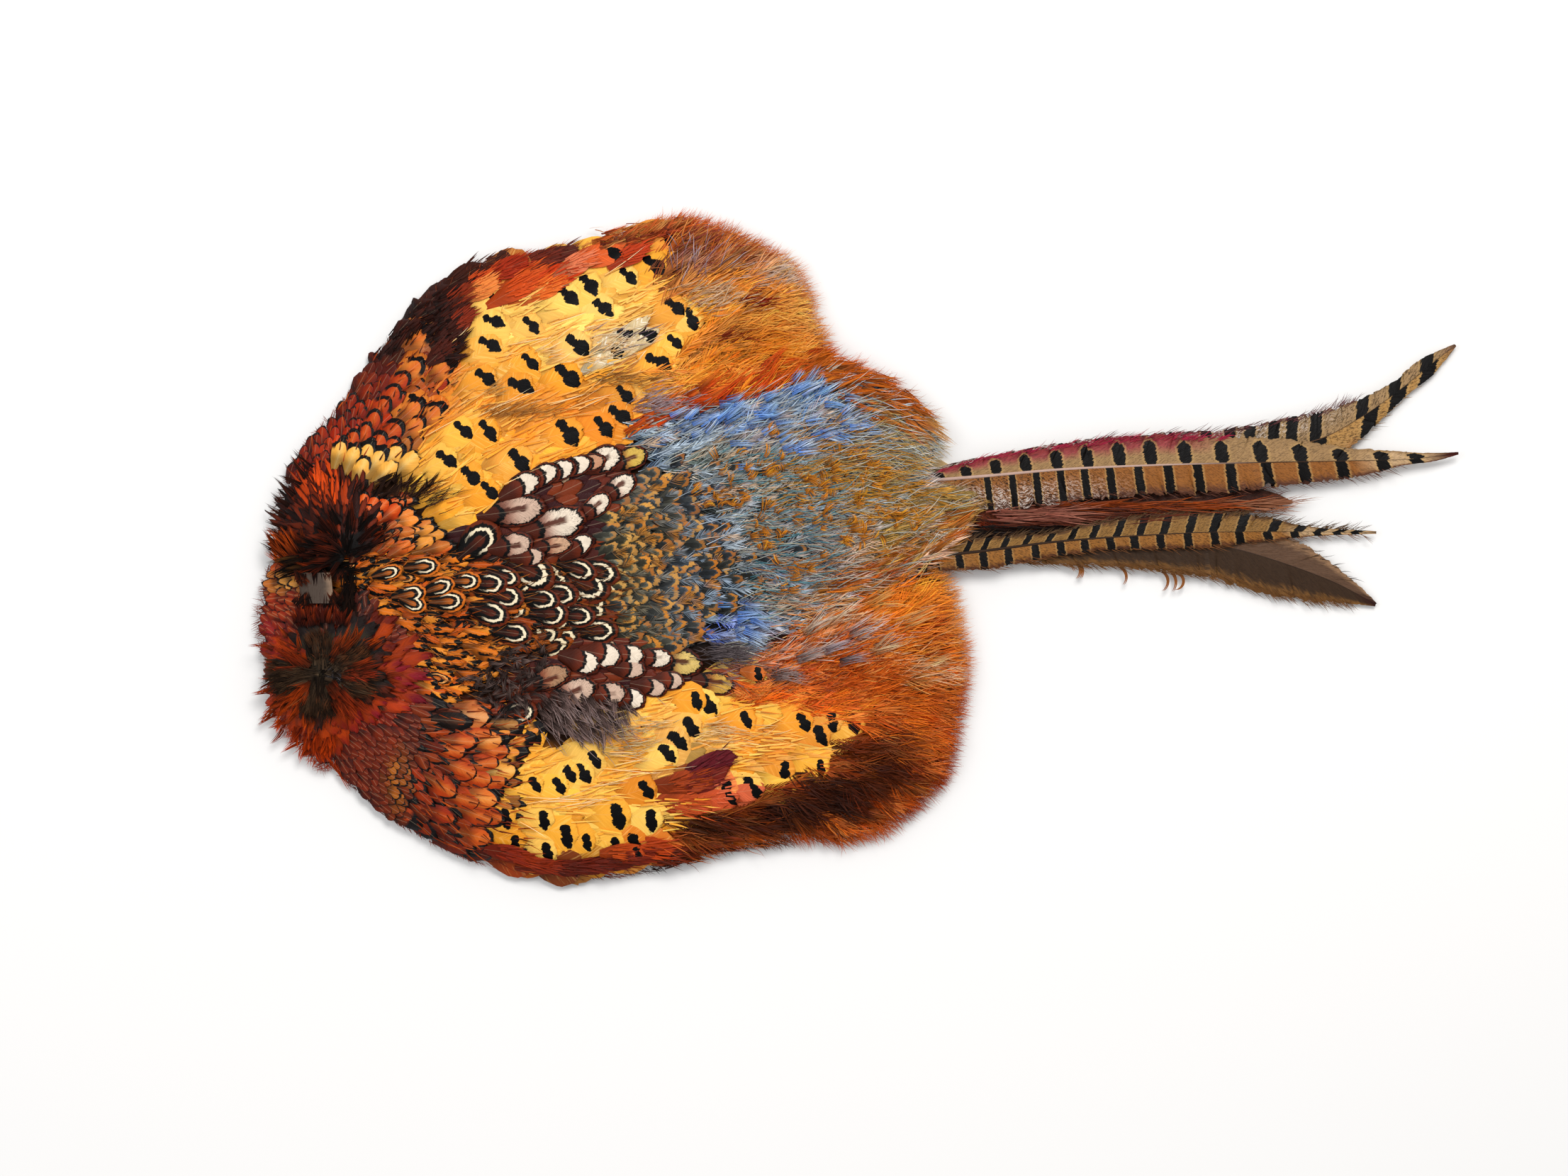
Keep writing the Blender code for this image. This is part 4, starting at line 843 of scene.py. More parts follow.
flank("lower_flank_vanes", TRACT["lower_flank"], SPOTS_LOW, LOWER_GOLD, -1, "lower_flank_feathers", [
    (1076, 1112, 6, 80, 21, (206, 100, 66), 0.75), (1040, 1124, 4, 90, 22, (196, 84, 48), 0.7), (1000, 1138, -6, 80, 20, (178, 74, 32), 0),
    (1034, 1064, 26, 96, 19, (92, 24, 32), 0), (1024, 1086, 20, 90, 20, (112, 36, 26), 0), (1002, 1098, 10, 84, 17, (150, 60, 24), 0),
    (948, 1198, -2, 70, 16, (168, 62, 20), 0), (985, 1199, 2, 64, 15, (150, 50, 18), 0.6), (926, 1208, 2, 70, 13, (112, 34, 14), 0), (895, 1216, 2, 70, 12, (84, 24, 10), 0),
    (862, 1222, 0, 66, 12, (96, 28, 12), 0), (826, 1226, -2, 66, 12, (84, 24, 10), 0), (790, 1224, -6, 60, 12, (120, 38, 14), 0), (760, 1216, -10, 56, 12, (140, 46, 16), 0),
    (735, 1208, -14, 50, 12, (124, 36, 14), 0), (906, 1204, -2, 56, 14, (176, 70, 24), 0.55)])

# a few pale, barred vanes and dusky ends over the upper flank
b = Buf()
for j, (x, y, a, L, W, k) in enumerate(((862, 503, 26, 50, 11, 0.0), (884, 492, 26, 60, 12, 0.85), (874, 474, 34, 50, 10, 0.0), (908, 480, 28, 60, 12, 0.0), (896, 464, 34, 54, 11, 0.80), (930, 466, 32, 60, 12, 0.90),
                                        (914, 450, 38, 50, 10, 0.0))):
    vanes(b, [x], [y], a, L, W, lin(214, 190, 146), lin(244, 234, 214), k, qm=0.62, rows=(4, 7), cols=9, lift=0.0012 + 0.00009 * j, slope=0.05, jag=0.05, point=1.5)
for x, y, a, L, W, k, col in ((1080, 951, -8, 36, 11, -0.60, (196, 104, 44)),):
    vanes(b, [x], [y], a, L, W, lin(*col), np.clip(lin(*col) * 1.3, 0, 1), k, qm=0.62, rows=(4, 7), cols=9, lift=0.0030, slope=0.05, jag=0.06)
pale = b.build("pale_flank_vanes", mat_gold)


# ================================================================ copper scales of the breast
b = Buf()
x, y = scatter(TRACT["upper_breast"], 15, 12.5, 0.28)
a = flow(x, y, 7)
size = np.clip(0.8 + (x - 480) / 320, 0.7, 1.3)
c = tint(x, y, [(152, 34, 8), (176, 48, 10), (120, 22, 8), (84, 14, 6)], [
    (600, 440, 72, 62, (34, 11, 5), 0.99), (560, 484, 54, 46, (40, 13, 6), 0.95), (640, 415, 46, 40, (40, 14, 8), 0.94),
    (520, 520, 26, 30, (96, 28, 10), 0.8), (440, 610, 26, 30, (112, 26, 12), 0.7), (655, 445, 14, 22, (146, 44, 18), 0.9),
    (596, 482, 20, 12, (214, 130, 80), 0.8), (560, 640, 34, 18, (228, 152, 60), 0.85), (520, 645, 22, 14, (236, 176, 90), 0.8),
    (600, 540, 22, 22, (214, 116, 50), 0.7), (612, 580, 20, 24, (220, 130, 56), 0.7), (470, 625, 30, 14, (186, 62, 22), 0.6), (690, 378, 30, 10, (120, 32, 16), 0.8),
    (590, 610, 16, 16, (236, 160, 76), 0.7)])
# clump adds painted light and shade over clumps of feathers
c = c * clump(x, y, 60, 0.22) * 0.82
c2 = blend(c, lin(212, 84, 14), rng.uniform(0.0, 0.40, len(x)) ** 1.3)
c2 = blend(c2, c, near(x, y, 600, 445, 96, 80, 2))
k = rng.uniform(0.5, 1.25, len(x)) * (1 - 0.97 * near(x, y, 600, 445, 84, 70, 3)) * np.clip((560 - y) / -60 + 1, 0.35, 1)
vanes(b, x, y, a, 46 * size, 12.5 * size * rng.uniform(0.85, 1.15, len(x)), c, c2, k, qm=0.62, rows=(3, 5), cols=7,
      lift=rng.uniform(0, 0.0005, len(x)), slope=0.09, dome=0.2, jag=0.03, point=1.5)
# broad black tips at the border to the flank
for x, y, a, w, k in ((602, 466, 40, 16, 3.4), (636, 512, 42, 15, 3.4), (594, 511, 46, 16, 3.0), (574, 528, 50, 15, 2.8),
                      (560, 545, 52, 15, 2.8), (548, 564, 56, 15, 2.8), (566, 598, 50, 20, 3.4), (540, 612, 66, 18, 3.0),
                      (595, 568, 42, 15, 3.2), (622, 574, 38, 16, 3.2), (598, 592, 44, 15, 2.8), (524, 620, 76, 15, 3.0),
                      (500, 608, 80, 13, 2.4), (518, 598, 70, 13, 2.6), (530, 580, 64, 13, 2.6), (482, 616, 84, 12, 2.4), (560, 620, 54, 15, 2.4)):
    vanes(b, [x + 4], [y - 3], a + rng.normal(0, 6), 52, w, lin(166, 54, 14) if x < 590 else lin(212, 122, 50), lin(206, 96, 34), k * 0.46, qm=0.62, rows=(3, 6), cols=7,
          lift=0.0012, slope=0.08, dome=0.18)
for x, y, a, L, W, k in ((486, 618, 78, 46, 13, 1.4), (506, 624, 70, 50, 15, 1.5), (528, 622, 62, 50, 15, 1.5), (548, 632, 52, 54, 16, 1.6), (572, 626, 46, 54, 16, 1.5), (520, 644, 66, 44, 13, 1.1),
                         (592, 640, 40, 50, 14, 0.4), (560, 652, 50, 44, 13, 0.4)):
    vanes(b, [x], [y], a + rng.normal(0, 4), L, W, lin(236, 172, 76), lin(250, 206, 120), k, qm=0.62, rows=(3, 6), cols=7, lift=0.0016, slope=0.08, dome=0.16, jag=0.04)
o = b.build("upper_breast_scales", mat_scale)
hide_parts("upper_breast_feathers")
# the dark brown patch above them, soft and close
b = Buf()
x, y = scatter([(530, 506), (560, 466), (598, 428), (640, 396), (655, 406), (662, 438), (656, 500), (644, 520), (624, 486), (598, 466), (566, 488)], 11, 9, 0.5)
n = len(x)
a = flow(x, y, 9)
x, y = reined(x, y, a, 26, OUTLINE, 1)
locks(b, x - 8, y + 8, surf(x, y) + rng.uniform(0.0012, 0.0018, n), a, rng.uniform(22, 38, n), 8, 0.0006, 6, lin(24, 10, 7) * rng.uniform(0.6, 1.5, (n, 1)), lin(58, 22, 14) * rng.uniform(0.5, 1.5, (n, 1)),
      bend=rng.normal(0, 8, n), rise=0.0, droop=0.06, shade=0.3)
b.build("upper_breast_dark_barbs", mat_barb)

b = Buf()
x, y = scatter(TRACT["lower_breast"], 19, 15, 0.3)
a = flow(x, y, 8)
c = tint(x, y, [(148, 46, 8), (120, 32, 6), (170, 62, 12), (84, 22, 6), (50, 14, 6), (186, 80, 20)], [
    (600, 1050, 30, 34, (70, 24, 12), 0.85), (620, 1120, 26, 40, (150, 48, 20), 0.6), (640, 1195, 60, 20, (130, 38, 14), 0.7),
    (650, 1010, 44, 16, (50, 28, 18), 0.85), (720, 1060, 20, 30, (228, 160, 80), 0.7), (700, 1090, 24, 14, (214, 112, 66), 0.6),
    (730, 1130, 16, 30, (228, 160, 74), 0.7), (620, 1080, 20, 20, (110, 40, 18), 0.6)])
# clump adds painted light and shade over clumps of feathers
c = c * clump(x, y, 50, 0.25) * 0.74
c2 = blend(c, lin(204, 90, 18), rng.uniform(0.0, 0.55, len(x)) ** 1.5)
vanes(b, x + 4, y, a + rng.normal(0, 7, len(x)), rng.uniform(60, 80, len(x)), rng.uniform(8, 14, len(x)), c, c2, np.where(rng.uniform(0, 1, len(x)) < 0.22, 3.0, rng.uniform(0.5, 1.5, len(x))), qm=0.62,
      rows=(3, 6), cols=7, lift=rng.uniform(0, 0.0007, len(x)), slope=0.09, dome=0.2, jag=0.04, point=1.15)
for x, y, a, w, k in ((700, 1075, -8, 18, 0.6), (712, 1100, -6, 17, 0.8), (690, 1100, -12, 17, 0.6), (715, 1060, -2, 16, 0.7),
                      (690, 1157, -16, 17, 0.6), (708, 1157, -10, 16, 1.0), (672, 1132, -20, 17, 0.6), (668, 1092, -10, 19, 0.6),
                      (730, 1027, 10, 14, 2.4), (752, 1036, 14, 14, 2.6), (770, 1020, 14, 13, 2.6), (690, 1035, 0, 19, 0.6),
                      (716, 1040, 6, 14, 2.4), (742, 1060, 6, 14, 2.2), (655, 1060, -6, 17, 0.8), (640, 1120, -24, 16, 0.7)):
    vanes(b, [x + 6], [y], a + rng.normal(0, 5), 62, w, lin(170, 60, 14) if x < 722 else lin(226, 150, 58), lin(216, 120, 50), k, qm=0.62, rows=(3, 6), cols=7,
          lift=0.0011, slope=0.08, dome=0.18)
for x, y, a, L, W, c0, c1, k in ((690, 1012, 4, 66, 22, (196, 110, 54), (238, 176, 116), 1.6), (736, 1022, 10, 58, 18, (60, 30, 14), (214, 150, 80), 2.6), (708, 1042, 0, 60, 17, (206, 112, 44), (238, 170, 96), 1.4),
                                 (672, 1046, -6, 56, 15, (176, 66, 20), (226, 130, 60), 1.8), (726, 1086, 0, 56, 17, (226, 150, 60), (244, 196, 110), 1.2), (664, 1018, 0, 60, 14, (30, 16, 10), (90, 50, 26), 3.0),
                                 (700, 1130, -10, 60, 17, (214, 110, 40), (238, 160, 80), 1.5), (690, 1186, -16, 54, 15, (196, 84, 24), (222, 120, 50), 1.5), (640, 1158, -26, 54, 14, (150, 44, 12), (206, 90, 30), 1.8)):
    vanes(b, [x + 6], [y], a + rng.normal(0, 4), L, W, lin(*c0), lin(*c1), k * 0.6, qm=0.62, rows=(3, 6), cols=7, lift=0.0014, slope=0.08, dome=0.18, jag=0.03, point=1.4)
o = b.build("lower_breast_scales", mat_scale)
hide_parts("lower_breast_feathers")


b = Buf()
for ring, dx, dy, lo, hi in ((TRACT["lower_breast"], 17, 12, 16, 32), (TRACT["upper_breast"], 19, 14, 12, 24)):
    x, y = scatter(ring, dx, dy, 0.5)
    n = len(x)
    a, L = flow(x, y, 12), rng.uniform(lo, hi, n)
    x, y = reined(x, y, a, L, OUTLINE, 2)
    hue = rng.uniform(0, 1, n)
    dark = blend(np.tile(lin(30, 10, 6), (n, 1)), lin(120, 36, 10), hue)
    light = blend(np.tile(lin(84, 24, 8), (n, 1)), lin(222, 104, 26), hue ** 1.4)
    shade_ = 1 - 0.8 * near(x, y, 600, 445, 84, 70, 3)[:, None]
    strands(b, x, y, surf(x, y) + rng.uniform(0.0010, 0.0018, n), a, L, rng.uniform(0.00035, 0.0007, n), dark * shade_, light * shade_, bend=rng.normal(0, 10, n), rise=0.02, droop=0.06, tilt=0.2)
b.build("breast_barbs", mat_barb)

# ================================================================ mantle
b = Buf()
x, y = scatter(TRACT["mantle"], 21, 14, 0.34)
right = np.clip((x - 690) / 90 - (y - 880).clip(0) / 60, 0, 1)
a = flow(x, y, 9) + (1 - right) * rng.normal(0, 8, len(x))
c = tint(x, y, [(212, 116, 30), (200, 102, 24), (220, 136, 46), (188, 84, 20)], spread=0.12)
c = blend(c, lin(86, 32, 14) * rng.uniform(0.7, 1.6, (len(x), 1)), right * rng.uniform(0.6, 1, len(x)))
c2 = blend(np.tile(lin(228, 150, 60), (len(x), 1)), lin(240, 222, 184), np.clip(right * 1.3 + 0.15, 0, 1))
k = np.where(rng.uniform(0, 1, len(x)) < right * 0.85 + 0.08, 0.6, 0.1)
vanes(b, x, y, a, 56 + 14 * right, 10.5 + 7.5 * right, c, c2, k, qm=0.55, rows=(3, 7), cols=7, lift=rng.uniform(-0.0003, 0.0007, len(x)), slope=0.09, dome=0.2,
      jag=0.03, point=1.5)
# the ones whose pale line shows best
for x, y, a, L, W, kk, lo in ((600, 834, 14, 50, 15, 1, 0), (620, 797, 12, 52, 14, 1, 0), (566, 802, 20, 44, 11, 1, 0), (640, 822, 8, 48, 14, 1, 0), (655, 846, 8, 52, 16, 1, 0),
                          (677, 820, 2, 48, 14, 1, 0), (700, 742, 36, 74, 26, 1, 0), (714, 824, -2, 56, 18, 1, 0), (737, 848, -12, 56, 18, 1, 0), (717, 872, -10, 60, 19, 1, 0),
                          (748, 898, -14, 56, 18, 1, 0), (732, 822, -20, 52, 15, 1, 0), (780, 822, -12, 84, 27, 1, 0), (788, 850, -16, 56, 18, 1, 0), (814, 842, -20, 60, 19, 1, 0),
                          (800, 866, -6, 56, 21, 1, 0), (858, 838, -20, 76, 25, 1, 0), (872, 816, -14, 70, 20, 1, 0), (840, 812, -10, 60, 17, 1, 0), (870, 888, -4, 62, 19, 1, 0),
                          (838, 870, -8, 54, 17, 1, 0), (756, 1000, 8, 56, 19, 1, 1), (600, 858, -8, 44, 13, 1, 0)):
    vanes(b, [x + 4], [y], a + rng.normal(0, 5), L, W, lin(96, 38, 18) if x > 690 or lo else lin(200, 108, 36), lin(244, 228, 196), kk, qm=0.55, rows=(4, 8), cols=9,
          lift=0.0013 + 0.000003 * (900 - x), slope=0.08, dome=0.16, jag=0.015)
o = b.build("mantle_vanes", mat_mantle)
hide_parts("mantle_feathers")
b = Buf()
x, y = scatter(TRACT["mantle"], 13, 9, 0.5)
n = len(x)
right = np.clip((x - 690) / 90, 0, 1)
strands(b, x, y, surf(x, y) + rng.uniform(0.0006, 0.0015, n), flow(x, y, 16), rng.uniform(14, 32, n), rng.uniform(0.0003, 0.0005, n),
        blend(np.tile(lin(8, 5, 4), (n, 1)), lin(150, 70, 20), rng.uniform(0, 1, n) ** 2 * (1 - right * 0.7)),
        blend(np.tile(lin(20, 10, 7), (n, 1)), lin(228, 140, 56), rng.uniform(0, 1, n) ** 1.3 * (1 - right * 0.6)), bend=rng.normal(0, 12, n), rise=0.03, droop=0.06)
b.build("mantle_barbs", mat_barb)


# ================================================================ scapulars
def scapulars(name, ring, hearts, node, bare):
    b = Buf()
    x, y = scatter(ring, 25, 16, 0.3)
    a = flow(x, y, 5)
    c = tint(x, y, [(92, 32, 14), (70, 22, 12), (116, 48, 20), (50, 14, 16)])
    vanes(b, x + 8, y, a, rng.uniform(56, 70, len(x)), rng.uniform(12, 16, len(x)), c, lin(190, 160, 130), np.where(rng.uniform(0, 1, len(x)) < bare, -1, 0.5), qm=0.6,
          rows=(3, 6), cols=7, lift=rng.uniform(-0.0004, 0.0002, len(x)), slope=0.085, dome=0.18)
    for x, y, a, L, W, col, k in hearts:
        vanes(b, [x + 7 * math.cos(math.radians(a))], [y - 7 * math.sin(math.radians(a))], a + rng.normal(0, 2), L, W,
              lin(104, 40, 18) * rng.uniform(0.8, 1.2), lin(*col), k, qm=0.6, rows=(4, 8), cols=9, lift=0.0012 + 0.000005 * (950 - x),
              slope=0.07, dome=0.18, jag=0.02)
    o = b.build(name, mat_scap)
    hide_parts(node)


CREAM, BUFF, OLIVE = (236, 220, 200), (206, 176, 156), (206, 172, 84)
scapulars("upper_scapular_vanes", TRACT["upper_scap"], [
    (758, 676, 26, 66, 18, CREAM, 0.20), (784, 664, 22, 60, 16, CREAM, 0.12), (807, 658, 20, 58, 15, CREAM, 0.12),
    (830, 653, 18, 58, 15, CREAM, 0.12), (850, 650, 16, 56, 13, (190, 140, 110), 0.1), (872, 641, 18, 66, 20, CREAM, 0.30), (908, 641, 14, 60, 17, OLIVE, 0.5),
    (892, 676, 34, 62, 17, CREAM, 0.4), (856, 702, 40, 58, 16, CREAM, 0.4), (766, 715, 12, 100, 23, BUFF, 0.62),
    (822, 729, 14, 104, 25, CREAM, 0.60), (748, 766, 12, 66, 19, BUFF, 0.45), (804, 768, 10, 62, 14, (200, 160, 130), 0.5), (832, 762, 30, 56, 15, CREAM, 0.1),
    (764, 784, 6, 50, 14, BUFF, 0.1)], "upper_scapular_feathers", 0.97)
scapulars("lower_scapular_vanes", TRACT["lower_scap"], [
    (842, 938, -12, 62, 18, CREAM, 0.14), (872, 928, -16, 62, 19, CREAM, 0.18), (905, 925, -6, 58, 16, CREAM, 0.2), (906, 944, -6, 54, 15, BUFF, 0.2),
    (944, 930, -4, 60, 15, CREAM, 0.25), (986, 936, -4, 74, 20, (214, 184, 110), 0.5), (838, 966, 22, 84, 21, BUFF, 0.55),
    (880, 976, 8, 62, 18, BUFF, 0.25), (906, 986, -8, 56, 17, CREAM, 0.14), (936, 972, -4, 54, 14, BUFF, 0.2),
    (1032, 966, -4, 66, 17, (204, 160, 76), 0.6), (800, 948, 14, 70, 18, (170, 130, 100), 0.6), (960, 960, -4, 50, 14, BUFF, 0.1)], "lower_scapular_feathers", 0.94)


# ================================================================ back
b = Buf()
x, y = scatter(TRACT["back"], 16, 12.5, 0.36)
a = flow(x, y, 15)
c = tint(x, y, [(76, 74, 60), (88, 82, 60), (58, 60, 58), (98, 98, 86)], [(985, 840, 50, 60, (70, 82, 96), 0.7), (930, 690, 40, 30, (84, 92, 100), 0.6), (1000, 760, 40, 60, (70, 82, 94), 0.6)], 0.2)
c2 = tint(x, y, [(196, 128, 50), (182, 112, 42), (206, 150, 74)], [(885, 800, 24, 60, (206, 168, 98), 0.7)])
# clump adds painted light and shade over clumps of feathers
vanes(b, x, y, a, rng.uniform(36, 46, len(x)), rng.uniform(10, 14.5, len(x)), c * clump(x, y, 50, 0.2), c2, rng.uniform(0.55, 1, len(x)), qm=0.5, rows=(3, 6), cols=7,
      lift=rng.uniform(0, 0.0008, len(x)), slope=0.10, dome=0.22, jag=0.07, point=1.6)
o = b.build("back_vanes", mat_back)
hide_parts("back_feathers")
b = Buf()
x, y = scatter(TRACT["back"], 25, 20, 0.45)
far = np.clip((x - 920) / 80, 0, 1)
ochre = (rng.uniform(0, 1, len(x)) < 0.4)[:, None]
plumes(b, x + 6, y, flow(x, y, 16), 32, 10, 8, lin(10, 10, 12), blend(np.tile(lin(50, 48, 42), (len(x), 1)), lin(84, 98, 112), far),
       np.where(ochre, lin(168, 112, 46), blend(np.tile(lin(104, 98, 84), (len(x), 1)), lin(140, 154, 170), far)), lift=0.0007, width=0.00040, q0=0.5, shade=0.4)
b.build("back_barbs", mat_barb)


# ================================================================ rump
RUMP_TINTS = [
    (1024, 580, 30, 26, (84, 134, 212), 0.85), (1078, 592, 32, 26, (96, 150, 226), 0.9), (1143, 552, 34, 20, (104, 158, 236), 0.95),
    (1200, 600, 30, 20, (96, 138, 204), 0.8), (1138, 626, 34, 18, (118, 160, 214), 0.8), (960, 600, 40, 26, (92, 120, 170), 0.8),
    (1160, 664, 44, 20, (130, 134, 78), 0.75), (1233, 668, 26, 14, (170, 128, 48), 0.8), (1210, 740, 30, 16, (160, 110, 44), 0.7),
    (1050, 884, 40, 24, (76, 112, 214), 0.97), (1140, 756, 60, 50, (112, 142, 166), 0.7), (1268, 646, 30, 16, (176, 184, 176), 0.8),
    (1290, 716, 50, 24, (104, 96, 54), 0.8), (1350, 720, 40, 24, (160, 116, 44), 0.9), (1280, 772, 60, 20, (150, 98, 36), 0.9),
    (1240, 812, 70, 14, (178, 84, 22), 0.95), (1330, 770, 50, 14, (176, 92, 28), 0.9), (1150, 850, 60, 14, (150, 80, 30), 0.8), (1090, 892, 50, 12, (140, 76, 28), 0.7),
    (1100, 820, 50, 24, (76, 106, 150), 0.6), (1040, 760, 40, 60, (84, 92, 102), 0.6), (1250, 600, 30, 16, (150, 120, 60), 0.6),
    (1300, 640, 24, 18, (186, 170, 124), 0.7), (1090, 660, 40, 16, (104, 124, 130), 0.6), (1060, 700, 20, 14, (176, 116, 40), 0.5),
    (1120, 702, 26, 10, (156, 112, 36), 0.75), (1186, 706, 24, 10, (164, 116, 40), 0.75), (1082, 742, 24, 10, (150, 104, 40), 0.7), (1166, 772, 22, 9, (156, 110, 44), 0.7),
    (1236, 742, 30, 10, (150, 112, 48), 0.75), (1110, 782, 24, 9, (146, 100, 40), 0.6), (1204, 690, 30, 8, (96, 128, 104), 0.5), (1180, 640, 24, 12, (156, 190, 220), 0.6),
    (1060, 560, 40, 12, (110, 160, 230), 0.8), (1250, 700, 20, 10, (118, 140, 120), 0.5)]


def rump():
    x, y = scatter(TRACT["rump"], 18.5, 14.5, 0.40)
    a = flow(x, y, 13)
    c = tint(x, y, [(90, 108, 120), (74, 96, 122), (106, 118, 112), (66, 80, 96)], RUMP_TINTS, 0.2) * (0.88 + 0.22 * near(x, y, 1090, 590, 150, 50, 1.5))[:, None]
    ochre = rng.uniform(0, 1, len(x)) < np.clip(0.20 + 0.40 * near(x, y, 1080, 690, 120, 130) + 0.35 * near(x, y, 1200, 660, 120, 60), 0, 1)
    tipc = blend(blend(c, lin(186, 204, 222), rng.uniform(0.15, 0.75, len(x))), lin(190, 134, 44), np.where(ochre, rng.uniform(0.6, 0.95, len(x)), 0))
    warm = near(x, y, 1270, 790, 150, 46, 1.5) + near(x, y, 1360, 716, 60, 50, 1.5)
    tipc = blend(tipc, lin(196, 128, 46), np.clip(warm, 0, 0.85))
    size = np.clip(0.72 + (x - 950) / 700, 0.72, 1.3)
    # painted light and shade over clumps of plumes
    clump_shade = clump(x, y, 40, 0.34)
    c, tipc = np.clip(c * clump_shade, 0, 1), np.clip(blend(tipc, lin(226, 232, 232), 0.25) * clump_shade ** 0.7, 0, 1)
    x, y = reined(x + 8, y, a, 15 * size, OUTLINE, 2)
    keep = ~over_quills(x, y, a, 60 * size)
    x, y, a, c, tipc, size = x[keep], y[keep], a[keep], c[keep], tipc[keep], size[keep]
    order = np.argsort(y + rng.normal(0, 4, len(y)))
    for part, sel in (("upper", order[: len(x) // 2]), ("lower", order[len(x) // 2:])):
        b = Buf()
        s = sel
        plumes(b, x[s], y[s], a[s], (60 * size)[s], (18 * size)[s], 15, np.clip(c[s] * 0.16, 0, 1), c[s], tipc[s],
               shaft=np.clip(tipc[s] * 0.9, 0, 1), lift=rng.uniform(0, 0.0013, len(s)), width=0.00050, open_=(44, 16), slope=0.085, shade=0.34, tilt=0.5,
               rise=0.06, droop=0.05, jitter=6)
        o = b.build("rump_plumes_" + part, mat_barb)
        if part == "upper":
            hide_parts("rump_feathers")


rump()
# the point over the quills: long, loose ochre barbs
b = Buf()
x, y = scatter([(1236, 668), (1290, 655), (1330, 668), (1372, 700), (1340, 742), (1300, 778), (1256, 796), (1220, 780)], 15, 12, 0.4)
a = flow(x, y, 10) + (715 - y) * -0.25
keep = ~over_quills(x + 26, y, a, 84)
x, y, a = x[keep], y[keep], a[keep]
c = tint(x, y, [(132, 112, 60), (150, 116, 56), (116, 104, 64)], [(1290, 770, 60, 16, (176, 92, 28), 0.9), (1340, 745, 40, 12, (178, 100, 34), 0.9), (1270, 665, 40, 14, (170, 164, 130), 0.7)], 0.16)
x, y = reined(x + 26, y, a, 14, OUTLINE, 1)
plumes(b, x, y, a, 84, 17, 13, np.clip(c * 0.25, 0, 1), c, blend(c, lin(214, 168, 92), rng.uniform(0.2, 0.8, len(x))), shaft=lin(190, 160, 100), lift=rng.uniform(0.0002, 0.0016, len(x)),
       width=0.00046, open_=(34, 7), slope=0.05, shade=0.3, rise=0.03, droop=0.03, jitter=5)
b.build("rump_point", mat_barb)

# curls of ochre barbs, in groups
b = Buf()
for cx, cy, sx, sy, m in ((1020, 704, 24, 14, 9), (1068, 660, 34, 14, 11), (1146, 684, 28, 14, 11), (1086, 744, 26, 18, 11), (1192, 722, 30, 18, 11), (1212, 652, 20, 10, 9), (1232, 678, 22, 9, 9),
                          (1214, 754, 18, 9, 9), (1258, 726, 18, 7, 6), (1130, 800, 26, 14, 6), (1290, 742, 22, 10, 5), (1110, 610, 30, 10, 4)):
    m = int(1.7 * m)
    x, y = rng.normal(cx, sx, m), rng.normal(cy, sy, m)
    locks(b, x, y, surf(x, y) + rng.uniform(0.0018, 0.0032, m), flow(x, y, 40), rng.uniform(11, 23, m), 8, 0.00038, 4, lin(130, 72, 16) * rng.uniform(0.4, 1.2, (m, 1)),
          lin(232, 146, 40) * rng.uniform(0.75, 1.2, (m, 1)), bend=rng.normal(0, 60, m), rise=0.05, droop=0.10, conv=-0.9, shade=0.4)
# tufts of long blue barbs at the top, and single pale hairs
for cx, cy, sx, sy, m in ((1020, 584, 20, 10, 12), (1078, 592, 18, 10, 12), (1140, 554, 22, 8, 14), (1146, 618, 22, 8, 10), (1204, 598, 18, 8, 9), (970, 606, 20, 10, 8), (1100, 640, 24, 8, 6), (1052, 884, 22, 12, 14)):
    x, y = rng.normal(cx, sx, m), rng.normal(cy, sy, m)
    locks(b, x, y, surf(x, y) + rng.uniform(0.0020, 0.0032, m), flow(x, y, 16), rng.uniform(22, 40, m), 10, 0.00032, 6, lin(66, 104, 172) * rng.uniform(0.5, 1.2, (m, 1)),
          blend(np.tile(lin(126, 178, 240), (m, 1)), lin(222, 234, 246), rng.uniform(0.1, 0.95, m)) * rng.uniform(0.8, 1.05, (m, 1)), bend=rng.normal(0, 14, m), rise=0.06, droop=0.08, conv=0.4, shade=0.35)
